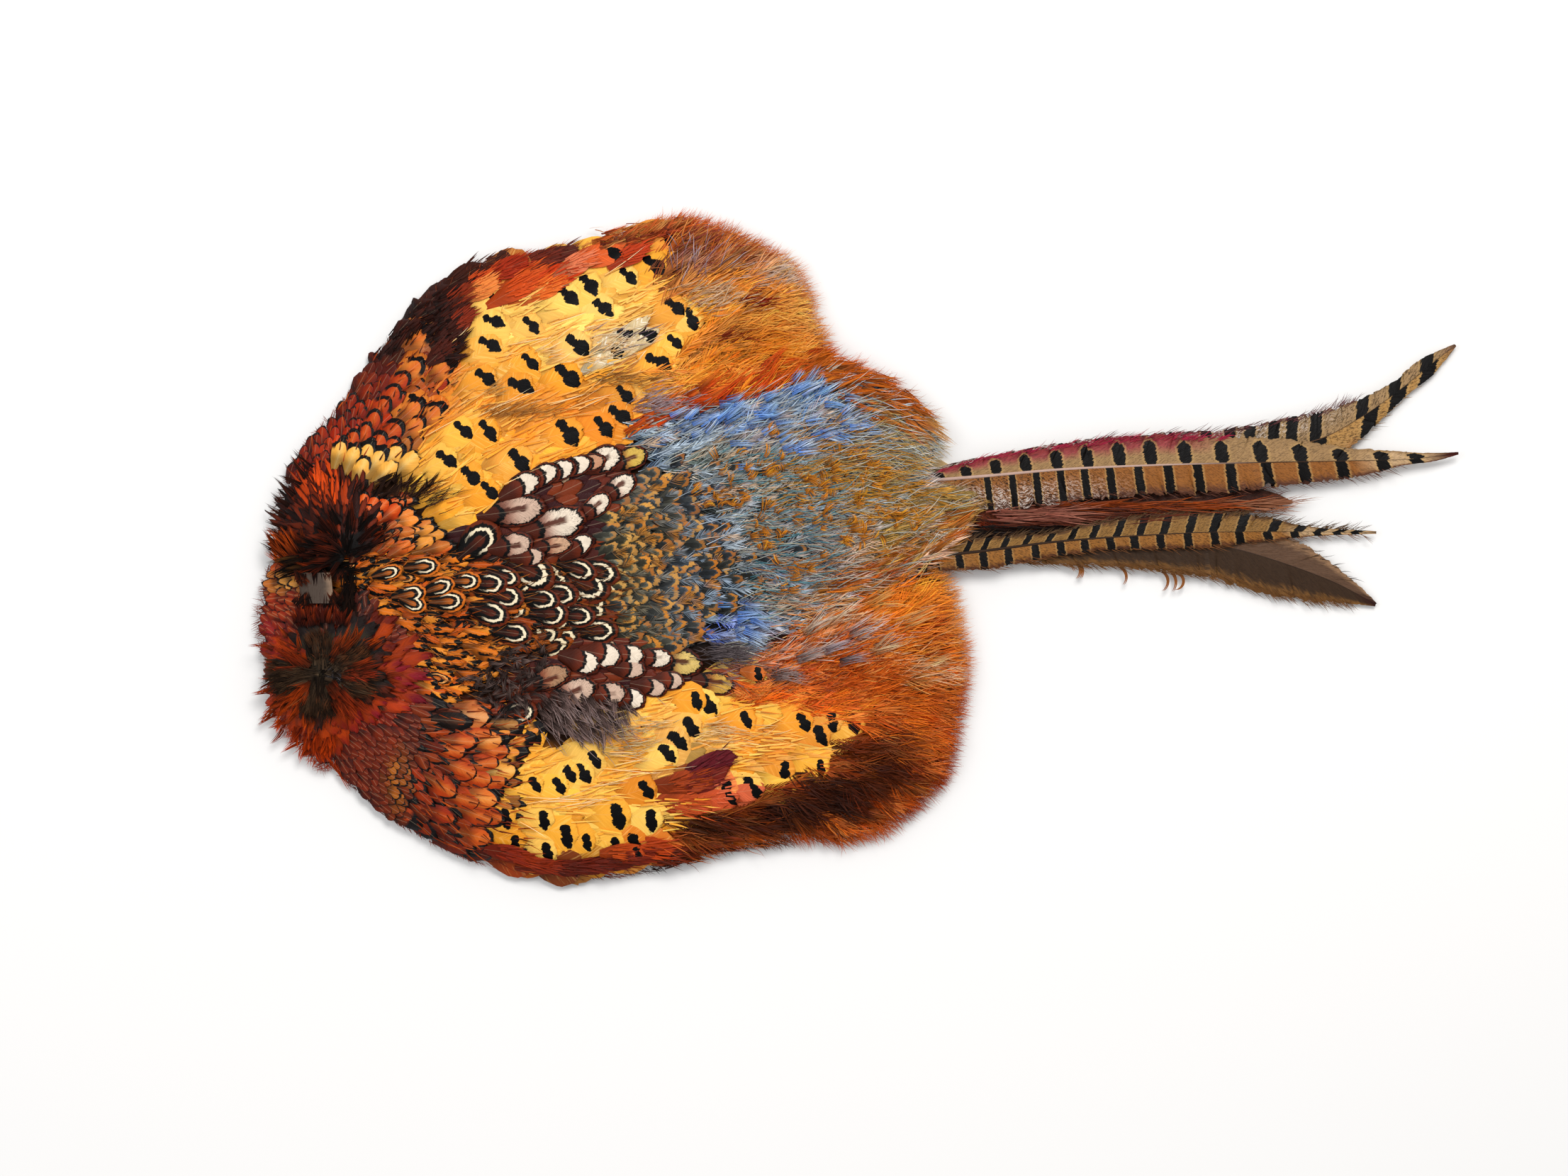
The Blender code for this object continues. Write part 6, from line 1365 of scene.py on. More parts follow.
locks(b, x, y, surf(x, y) + 0.0044, th + rng.normal(0, 16, m), rng.uniform(14, 28, m), 9, 0.00036, 7, lin(30, 23, 17) * rng.uniform(0.5, 1.6, (m, 1)), lin(92, 54, 32) * rng.uniform(0.2, 1.1, (m, 1)),
      bend=rng.normal(6, 16, m), rise=0.0, droop=0.08, shade=0.3, conv=-0.3)
for at, m in ((222, 26), (304, 26), (146, 16), (2, 14), (60, 12)):   # rust barbs that reach in between the lobes
    th = at + rng.normal(0, 7, m)
    r0 = rng.uniform(14, 50, m)
    x, y = WX + r0 * np.cos(np.radians(th)) * 1.15, WY - r0 * np.sin(np.radians(th)) * 0.92
    locks(b, x, y, surf(x, y) + 0.0042 + rng.uniform(0, 0.0006, m), th + rng.normal(0, 10, m), rng.uniform(24, 44, m), 8, 0.0004, 6, lin(52, 24, 12) * rng.uniform(0.5, 1.3, (m, 1)),
          blend(np.tile(lin(170, 66, 14), (m, 1)), whorl_tip(th), 0.5) * rng.uniform(0.5, 1.2, (m, 1)), bend=rng.normal(4, 12, m), rise=0.0, droop=0.09, shade=0.3)
m = 16                                             # the grey-blue hub: painted highlight, a sheen on the dark down
th = rng.uniform(-60, 60, m)
x, y = WX + 12 + rng.uniform(-8, 22, m), WY + rng.uniform(-10, 8, m)
locks(b, x, y, surf(x, y) + 0.0036, th, rng.uniform(14, 30, m), 10, 0.0004, 5, lin(40, 34, 30), blend(np.tile(lin(60, 54, 50), (m, 1)), lin(96, 96, 104), rng.uniform(0, 1, m) ** 2), bend=rng.normal(10, 20, m), rise=0.02, droop=0.1, shade=0.3)
m = 90                                             # rust locks that stand out of it
th = rng.uniform(0, 360, m)
th = th[np.abs((th - 90 + 180) % 360 - 180) > 36]
m = len(th)
r0 = rng.uniform(42, 70, m) * whorl_size(th)
x, y = WX + r0 * np.cos(np.radians(th)) * 1.05, WY - r0 * np.sin(np.radians(th)) * 0.95
locks(b, x, y, surf(x, y) + 0.0016 + rng.uniform(0, 0.0010, m), th + rng.normal(0, 12, m), rng.uniform(22, 42, m), 8, 0.00042, 5.5,
      lin(46, 22, 12) * rng.uniform(0.6, 1.3, (m, 1)), np.clip(blend(np.tile(lin(186, 74, 10), (m, 1)), whorl_tip(th), 0.45) * rng.uniform(0.6, 1.3, (m, 1)), 0, 1),
      bend=rng.normal(8, 18, m), rise=0.02, droop=0.08, shade=0.3)
# a few fine shafts between the lobes
th = np.array([226, 232, 300, 306, 356.0])
strands(b, WX + 26 * np.cos(np.radians(th)), WY - 26 * np.sin(np.radians(th)), surf(WX + 26 * np.cos(np.radians(th)), WY - 26 * np.sin(np.radians(th))) + 0.0040, th, 46, 0.00034,
        lin(110, 74, 50), lin(170, 96, 50), bend=rng.normal(0, 14, 5), rise=-0.02, droop=0.06, segs=5)
# the ragged lower left edge, and one narrow feather that sticks out
th = rng.uniform(196, 286, 46)
R = rng.uniform(84, 112, 46)
x, y = WX + R * np.cos(np.radians(th)), WY - R * np.sin(np.radians(th))
ok = inside(x, y, OUTLINE) > -2
x, y, th = x[ok], y[ok], th[ok]
locks(b, x, y, np.maximum(surf(x, y) + 0.0002, 0.002), th + rng.normal(0, 12, len(x)), rng.uniform(16, 34, len(x)), 8, 0.00044, 6, lin(110, 32, 8) * rng.uniform(0.5, 1.3, (len(x), 1)),
      lin(170, 58, 12) * rng.uniform(0.6, 1.3, (len(x), 1)), bend=rng.normal(0, 18, len(x)), rise=-0.04, droop=0.10, shade=0.25)
locks(b, [470, 462], [1078, 1070], 0.004, np.array([-64.0, -58]), np.array([48.0, 40]), 8, 0.0005, 4, lin(110, 36, 12), lin(150, 60, 26), bend=10, rise=-0.04, droop=0.10)
b.build("lower_ruff_down", mat_down)

# round the bare skin: small copper scales to its left, dark red feathers below, black ones above and to its right
b = Buf()
x, y = scatter([(380, 790), (412, 792), (428, 806), (430, 858), (402, 872), (366, 862), (368, 815)], 9, 8, 0.3)
ochre = near(x, y, 398, 822, 30, 13, 1.5)
c = blend(tint(x, y, [(120, 34, 14), (96, 24, 14), (140, 50, 16)], spread=0.2), lin(214, 150, 70), ochre * (rng.uniform(0, 1, len(x)) < 0.6))
vanes(b, x, y, 190 - (y - 815) * 0.8 + rng.normal(0, 10, len(x)), 26, 6.5, c, blend(c, lin(200, 110, 50), 0.3), 0.5 + 0.8 * ochre, qm=0.62, rows=(3, 5), cols=5, lift=rng.uniform(0.0006, 0.0012, len(x)),
      slope=0.08, jag=0.04, point=1.5)
x, y = scatter([(424, 850), (500, 850), (512, 812), (540, 840), (520, 880), (430, 890)], 12, 10, 0.35)
vanes(b, x, y, 96 - (x - 460) * 0.5 + rng.normal(0, 12, len(x)), 36, 8, tint(x, y, [(60, 18, 10), (20, 10, 8), (84, 26, 12), (14, 8, 7)], spread=0.2), lin(110, 40, 16), 0.3, qm=0.62, rows=(3, 5), cols=5,
      lift=rng.uniform(0.0010, 0.0020, len(x)), slope=0.08, jag=0.04, point=1.4)
b.build("neck_scales", mat_scale)
b = Buf()
m = 60
x, y = rng.uniform(418, 512, m), rng.uniform(786, 806, m)
locks(b, x, y, 0.0150 + rng.uniform(0.0, 0.0052, m), 184 + rng.normal(0, 9, m) - (x - 460) * 0.10, rng.uniform(26, 48, m), 10, 0.00042, 5, lin(7, 5, 4), blend(np.tile(lin(14, 9, 7), (m, 1)), lin(90, 56, 24), rng.uniform(0, 1, m) ** 4),
      bend=rng.normal(8, 10, m), rise=-0.02, droop=0.04, shade=0.3)
m = 34                                             # rust and black feathers that run up along the left edge
x, y = rng.uniform(402, 436, m), rng.uniform(782, 802, m)
locks(b, x, y, surf(x, y) + rng.uniform(0.0010, 0.0030, m), 128 + rng.normal(0, 10, m) + (420 - x) * 0.5, rng.uniform(34, 60, m), 9, 0.00044, 5, lin(10, 6, 5),
      blend(np.tile(lin(20, 9, 6), (m, 1)), lin(190, 78, 22), rng.uniform(0, 1, m) ** 1.6), bend=rng.normal(-6, 8, m), rise=0.0, droop=0.05, shade=0.25)
m = 26                                             # to the right of the skin
x, y = rng.uniform(488, 506, m), rng.uniform(806, 852, m)
locks(b, x, y, surf(x, y) + rng.uniform(0.0020, 0.0040, m), -100 + rng.normal(0, 16, m), rng.uniform(20, 40, m), 9, 0.00044, 5, lin(8, 5, 4), lin(30, 16, 10), bend=rng.normal(0, 12, m), rise=0.0, droop=0.06, shade=0.3)
m = 30                                             # dark red wisps over its lower edge
x, y = rng.uniform(420, 492, m), rng.uniform(872, 884, m)
locks(b, x, y, surf(x, y) + rng.uniform(0.0020, 0.0050, m), 92 + rng.normal(0, 16, m), rng.uniform(18, 30, m), 9, 0.00044, 5, lin(30, 10, 7), blend(np.tile(lin(70, 20, 10), (m, 1)), lin(150, 56, 20), rng.uniform(0, 1, m) ** 2), bend=rng.normal(0, 12, m),
      rise=0.04, droop=0.04, shade=0.3)
for x, y, a, m in ((424, 812, -70, 12), (428, 852, 60, 14), (486, 804, -120, 14), (488, 850, 120, 14), (452, 806, -90, 8), (470, 856, 90, 10)):
    x, y = x + rng.normal(0, 5, m), y + rng.normal(0, 3, m)
    locks(b, x, y, 0.0198, a + rng.normal(0, 16, m), rng.uniform(12, 22, m), 7, 0.00044, 4, lin(9, 6, 5), blend(np.tile(lin(20, 10, 8), (m, 1)), lin(96, 40, 18), rng.uniform(0, 1, m) ** 2), bend=rng.normal(0, 10, m),
          rise=0.02, droop=0.04, shade=0.3)
strands(b, [504, 500], [812, 830], 0.0200, np.array([-110.0, -104]), np.array([40.0, 30]), 0.0004, lin(190, 170, 120), lin(150, 110, 70), bend=10, rise=-0.03, droop=0.02, segs=5)
b.build("neck_skin_surround", mat_down)

# the dark tuft, fanning up and to the left from its root
b = Buf()
TX, TY = 494.0, 784.0
for R0, n, lo, hi, Wd, zl in ((152, 34, 90, 158, 6, 0.0), (138, 36, 84, 166, 6, 0.0006), (122, 38, 80, 176, 6.5, 0.0012), (104, 38, 70, 184, 6.5, 0.0018), (86, 36, 56, 190, 6.5, 0.0024),
                              (68, 32, 36, 196, 6.5, 0.0030), (50, 26, 20, 200, 6, 0.0036)):
    th = np.linspace(lo, hi, n) + rng.normal(0, 3.0, n)
    R = R0 * rng.uniform(0.80, 1.10, n)
    R = np.where(th > 140, R * 0.90, R)
    tx, ty = TX + R * np.cos(np.radians(th)), TY - R * np.sin(np.radians(th))
    ok = (inside(tx, ty, OUTLINE) > -10) & (ty < 808 - 0.1 * (tx - 400))
    th, R, tx, ty = th[ok], R[ok], tx[ok], ty[ok]
    warm = np.clip(near(tx, ty, 452, 664, 46, 36, 1.5) + 0.22 * rng.uniform(0, 1, len(th)), 0, 1)
    left = np.clip((th - 138) / 20, 0, 1)
    ca = blend(blend(np.tile(lin(44, 14, 6), (len(th), 1)), lin(196, 66, 14), warm), lin(18, 8, 5), left * 0.85)
    cb = blend(blend(np.tile(lin(60, 18, 6), (len(th), 1)), lin(204, 72, 14), warm), lin(96, 32, 8), left * 0.7)
    tone = np.where(rng.uniform(0, 1, len(th)) < 0.45, rng.uniform(0.02, 0.25, len(th)), rng.uniform(0.6, 1.3, len(th)))[:, None]
    ca, cb = ca * np.clip(tone, 0.2, 1), cb * tone
    vanes(b, tx, ty, th + rng.normal(0, 8, len(th)), R * 0.88, 1.35 * Wd * rng.uniform(0.7, 1.3, len(th)), ca, np.clip(cb, 0, 1), 1.0, qm=0.5, rows=(4, 6), cols=7, lift=zl, slope=0.02,
          jag=0.05, base_w=0.3, point=1.0, bend=rng.normal(0, 0.06, len(th)))
o = b.build("upper_ruff_tuft", mat_tuft)
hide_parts("upper_neck_ruff")

b = Buf()
m = 110
th = rng.uniform(20, 205, m)
r0 = rng.uniform(0, 46, m)
x, y = TX + r0 * np.cos(np.radians(th)), TY - r0 * np.sin(np.radians(th))
locks(b, x, y, surf(x, y) + rng.uniform(0.0024, 0.0040, m), th + rng.normal(0, 14, m), rng.uniform(22, 52, m), 8, 0.00044, 5,
      lin(9, 6, 5) * rng.uniform(0.6, 1.6, (m, 1)), blend(np.tile(lin(14, 8, 6), (m, 1)), lin(130, 46, 14), rng.uniform(0, 1, m) ** 3 * 0.8), bend=rng.normal(0, 16, m), rise=0.02, droop=0.08, shade=0.3)
# spiky ends along the left edge
x, y = np.array([398, 392, 388, 390, 396, 402, 408, 416, 424, 388, 394, 400], float), np.array([690, 704, 720, 736, 752, 766, 676, 664, 652, 744, 760, 776], float)
locks(b, x + 16, y + 10, surf(x + 16, y + 10) + 0.001, 146 + (y - 700) * 0.28 + rng.normal(0, 6, 12), rng.uniform(32, 44, 12), 9, 0.00046, 5, lin(16, 8, 6), lin(50, 20, 10), bend=rng.normal(0, 8, 12),
      rise=-0.02, droop=0.06)
# dark downy patch between the tuft and the flank, with ragged black ends over the gold
x, y = scatter([(500, 694), (545, 672), (586, 668), (610, 676), (616, 690), (606, 704), (590, 702), (560, 700), (520, 714)], 11, 10, 0.5)
n = len(x)
locks(b, x - 6, y + 6, surf(x, y) + rng.uniform(0.0004, 0.0016, n), rng.normal(42, 22, n), rng.uniform(20, 40, n), 8, 0.0004, 4.5,
      lin(40, 24, 16) * rng.uniform(0.5, 1.5, (n, 1)), lin(20, 12, 10) * rng.uniform(0.5, 1.8, (n, 1)), bend=rng.normal(0, 20, n), rise=0.06, droop=0.10, shade=0.3)
b.build("upper_ruff_down", mat_down)

# copper and gold feathers to the right of the tuft
b = Buf()
x, y = scatter([(505, 708), (540, 692), (590, 702), (625, 735), (652, 775), (600, 772), (545, 762), (512, 764), (500, 736)], 16, 13, 0.35)
a = np.where(x < 590, 42 - (x - 500) * 0.2, 10) + rng.normal(0, 12, len(x))
c = tint(x, y, [(196, 74, 22), (184, 64, 18), (206, 92, 32)], [(620, 752, 30, 20, (230, 160, 66), 0.85), (510, 752, 22, 18, (30, 12, 7), 0.9), (556, 742, 26, 14, (96, 34, 14), 0.7),
                                                           (600, 725, 18, 14, (226, 140, 60), 0.7)], 0.14)
vanes(b, x, y, a, 44, 10.5, c, blend(c, lin(236, 150, 70), 0.5), rng.uniform(0.8, 1.8, len(x)), qm=0.62, rows=(3, 6), cols=7, lift=rng.uniform(0.0008, 0.0016, len(x)), slope=0.07, dome=0.25, jag=0.04,
      point=1.4)
for x, y, a, W in ((520, 694, 74, 11), (536, 700, 60, 12), (552, 704, 48, 12), (570, 712, 36, 12), (528, 712, 56, 11), (544, 722, 40, 11)):
    vanes(b, [x], [y], a, 40, W, lin(190, 66, 16), lin(226, 112, 40), 1.0, qm=0.62, rows=(3, 6), cols=7, lift=0.0024, slope=0.07, dome=0.35, jag=0.03)
b.build("upper_ruff_scales", mat_scale)

# ================================================================ grey down over the lower scapulars
b = Buf()
x, y = scatter([(762, 990), (800, 985), (892, 1000), (893, 1020), (862, 1046), (820, 1048), (785, 1038), (762, 1015)], 9, 8, 0.5)
n = len(x)
locks(b, x - 6, y - 12, surf(x, y) + rng.uniform(0.0006, 0.0018, n), rng.normal(-52, 15, n), rng.uniform(22, 42, n), 11, 0.0003, 6,
      lin(40, 30, 27) * rng.uniform(0.5, 1.6, (n, 1)), lin(150, 124, 118) * rng.uniform(0.3, 1.2, (n, 1)), bend=rng.normal(0, 12, n), rise=0.04, droop=0.08, shade=0.4)
m = 130
x, y = rng.normal(828, 34, m), rng.normal(1008, 16, m)
strands(b, x, y, surf(x, y) + rng.uniform(0.0014, 0.0024, m), -50 + rng.normal(0, 14, m), rng.uniform(20, 40, m), 0.0003, lin(80, 60, 56), lin(186, 164, 160) * rng.uniform(0.6, 1.1, (m, 1)), bend=rng.normal(0, 14, m), rise=0.05, droop=0.07)
x, y = scatter([(690, 930), (720, 915), (770, 918), (770, 950), (740, 1000), (700, 1006), (680, 985), (664, 965)], 10, 9, 0.5)
n = len(x)
locks(b, x, y, surf(x, y) + rng.uniform(0.0006, 0.0018, n), rng.uniform(-180, 180, n), rng.uniform(14, 30, n), 10, 0.0003, 6,
      lin(26, 19, 17) * rng.uniform(0.4, 1.5, (n, 1)), lin(116, 96, 90) * rng.uniform(0.2, 1.2, (n, 1)), bend=rng.normal(0, 20, n), rise=0.04, droop=0.08, shade=0.4)
# silvery hairs on the upper loose plumage
x, y = scatter([(945, 350), (980, 338), (1020, 348), (1056, 368), (1050, 386), (1010, 388), (985, 400), (960, 406), (948, 390)], 13, 12, 0.5)
n = len(x)
strands(b, x, y, surf(x, y) + rng.uniform(0.0014, 0.0026, n), 90 - (x - 945) * 0.45 + rng.normal(0, 16, n), rng.uniform(18, 38, n), rng.uniform(0.0003, 0.00045, n),
        lin(110, 76, 80) * rng.uniform(0.6, 1.2, (n, 1)), lin(214, 198, 204) * rng.uniform(0.5, 1.1, (n, 1)), bend=rng.normal(-10, 20, n), rise=0.10, droop=0.06)
# dusky and pale ends between the feathers
for cx, cy, sx, sy, m, c0, c1 in ((880, 535, 30, 7, 60, (110, 70, 34), (190, 140, 80)), (925, 575, 26, 10, 130, (110, 90, 92), (196, 176, 180)),
                                  (720, 584, 34, 5, 60, (120, 72, 34), (206, 150, 84)), (700, 552, 20, 5, 40, (150, 100, 50), (226, 180, 110)),
                                  (862, 486, 24, 12, 50, (196, 150, 96), (250, 236, 210)), (880, 478, 20, 8, 14, (70, 52, 60), (150, 130, 140)), (915, 322, 24, 7, 60, (150, 80, 30), (226, 160, 90)),
                                  (1000, 425, 26, 14, 120, (150, 110, 80), (236, 206, 170)), (1100, 385, 30, 10, 110, (150, 110, 90), (232, 210, 190)),
                                  (1120, 918, 36, 12, 50, (130, 90, 76), (236, 214, 200)), (1060, 955, 26, 7, 60, (84, 64, 60), (170, 146, 140)),
                                  (1180, 935, 50, 22, 170, (150, 50, 14), (232, 116, 36)), (1240, 960, 50, 20, 150, (140, 50, 14), (220, 110, 34)), (1290, 900, 30, 30, 110, (200, 100, 26), (250, 160, 66)),
                                  (1200, 880, 40, 14, 60, (190, 110, 60), (246, 214, 180)), (1260, 925, 40, 14, 50, (170, 100, 50), (240, 196, 150)),
                                  (890, 1040, 24, 16, 110, (150, 120, 80), (236, 210, 160)), (1010, 1030, 30, 10, 90, (196, 150, 90), (244, 216, 170)),
                                  (800, 500, 60, 14, 70, (226, 170, 90), (252, 232, 190)), (600, 700, 30, 12, 70, (20, 12, 10), (90, 60, 44)),
                                  (1018, 920, 16, 8, 200, (44, 38, 40), (128, 116, 118)), (1310, 950, 26, 8, 90, (190, 110, 50), (248, 214, 176)), (1160, 868, 30, 12, 60, (196, 110, 50), (250, 200, 140)),
                                  (1206, 902, 26, 8, 60, (90, 50, 36), (206, 176, 164)), (1062, 430, 14, 5, 40, (70, 14, 10), (150, 34, 22)), (1030, 478, 10, 4, 24, (90, 24, 14), (150, 60, 30)),
                                  (1100, 500, 40, 14, 160, (200, 110, 26), (250, 160, 60)), (1080, 455, 34, 14, 110, (200, 120, 40), (250, 184, 92)), (1260, 880, 50, 30, 160, (206, 96, 22), (250, 150, 60)),
                                  (1300, 1020, 26, 40, 120, (180, 84, 20), (232, 128, 44)), (985, 345, 30, 14, 90, (84, 26, 22), (170, 84, 70))):
    x, y = rng.normal(cx, sx, m), rng.normal(cy, sy, m)
    a, L = flow(x, y, 12), rng.uniform(16, 38, m)
    x, y = reined(x, y, a, L, OUTLINE, -3)
    ok = off_marks(x, y, a, L, 15.0)
    x, y, a, L, m = x[ok], y[ok], a[ok], L[ok], ok.sum()
    strands(b, x, y, surf(x, y) + rng.uniform(0.0012, 0.0022, m), a, L, rng.uniform(0.0003, 0.00045, m),
            lin(c0) * rng.uniform(0.6, 1.2, (m, 1)), np.clip(lin(c1) * rng.uniform(0.7, 1.2, (m, 1)), 0, 1), bend=rng.normal(0, 14, m), rise=0.04, droop=0.08)
for x, y, a, L, m, c0, c1 in ((1146, 892, 36, 44, 3, (170, 120, 84), (246, 232, 214)), (1176, 874, 34, 46, 3, (190, 120, 70), (248, 226, 196)), (1206, 894, 30, 42, 3, (150, 110, 100), (230, 214, 210)),
                              (1130, 926, 24, 40, 4, (120, 96, 92), (214, 196, 190)), (1172, 916, 26, 40, 3, (96, 74, 76), (196, 180, 184)), (1196, 932, 20, 36, 3, (84, 62, 64), (186, 166, 170)),
                              (1238, 912, 24, 40, 3, (180, 110, 60), (246, 210, 170)), (1276, 880, 30, 40, 3, (200, 120, 50), (252, 206, 140)), (1100, 946, 16, 38, 4, (96, 72, 68), (190, 166, 160)),
                              (1310, 930, 10, 34, 3, (190, 110, 50), (248, 206, 150)), (1230, 850, 34, 44, 3, (200, 110, 40), (250, 196, 120))):
    x, y = x + rng.normal(0, 5, m), y + rng.normal(0, 4, m)
    locks(b, x - 8, y + 5, surf(x, y) + rng.uniform(0.0016, 0.0026, m), a + rng.normal(0, 9, m), L * rng.uniform(1.1, 1.6, m), 7, 0.00027, 6.5, lin(*c0) * rng.uniform(0.3, 0.7, (m, 1)), lin(*c1) * rng.uniform(0.8, 1.05, (m, 1)),
          bend=rng.normal(-10, 12, m), rise=0.06, droop=0.08, conv=0.35, shade=0.3)
b.build("grey_down", mat_down)


# ================================================================ tail feathers
def smooth(points, n):
    p = np.array([points[0], *points, points[-1]], float)
    s = np.linspace(0, len(points) - 1, n)
    i = np.minimum(s.astype(int), len(points) - 2)
    t = (s - i)[:, None]
    a, b_, c, d = p[i], p[i + 1], p[i + 2], p[i + 3]
    return 0.5 * (2 * b_ + (c - a) * t + (2 * a - 5 * b_ + 4 * c - d) * t ** 2 + (3 * b_ - a - 3 * c + d) * t ** 3)


def tail_material():
    g = Mat("tail_vane", 0.42, 0.4)
    p, q, r = g.split(g.attr("fp"))
    s, W, bar = g.split(g.attr("kv"))
    ca, cb = g.attr("ca", "Color"), g.attr("cb", "Color")
    barb = s - p.abs() * W * 0.9
    side = p * W
    n1 = g.noise(g.vec(barb * 2.0, side * 0.14, r * 61.0), 1.0, 3.0, 0.6)
    n2 = g.noise(g.vec(barb * 5.0, side * 0.3, r * 37.0), 1.0, 1.0)
    worm = g.noise(g.vec(barb * 1.15, side * 1.4, r * 11.0), 1.0, 3.0, 0.8)
    wob = g.noise(g.vec(barb * 0.8, side * 0.5, r * 91.0), 1.0, 2.0) - 0.5
    mott, pale, silver = g.split(g.attr("kw"))
    c = g.mix(ca, cb, (p.abs() + wob * 0.5).step(0.60, 0.95))
    c = g.mix(c, tuple(lin(196, 188, 182)), (worm - 0.5).step(-0.01, -0.07) * silver * (p.abs() + wob * 0.5).step(0.20, 0.55))
    c = g.mix(c, tuple(lin(26, 16, 12)), (worm - 0.5).step(0.0, 0.08) * mott)
    c = g.mix(c, tuple(lin(196, 160, 104)), (bar + wob * 1.2).step(2.9, 2.2) * pale * 0.5)
    c = g.mix(c, tuple(lin(6, 4, 4)), (bar + wob * 1.7 + (n1 - 0.5) * 0.8).step(2.00, 1.75))
    c = g.scale(c, 0.60 + n1 * 0.8)
    c = g.scale(c, 0.80 + n2 * 0.4)
    line = (p.abs() * W).step(0.30, 0.12)
    c = g.scale(c, 1.0 - line * 0.5)
    g.colour(c)
    g.bump(n1 * 0.6 + n2 * 0.6, 0.6, 0.0003)
    return g.m


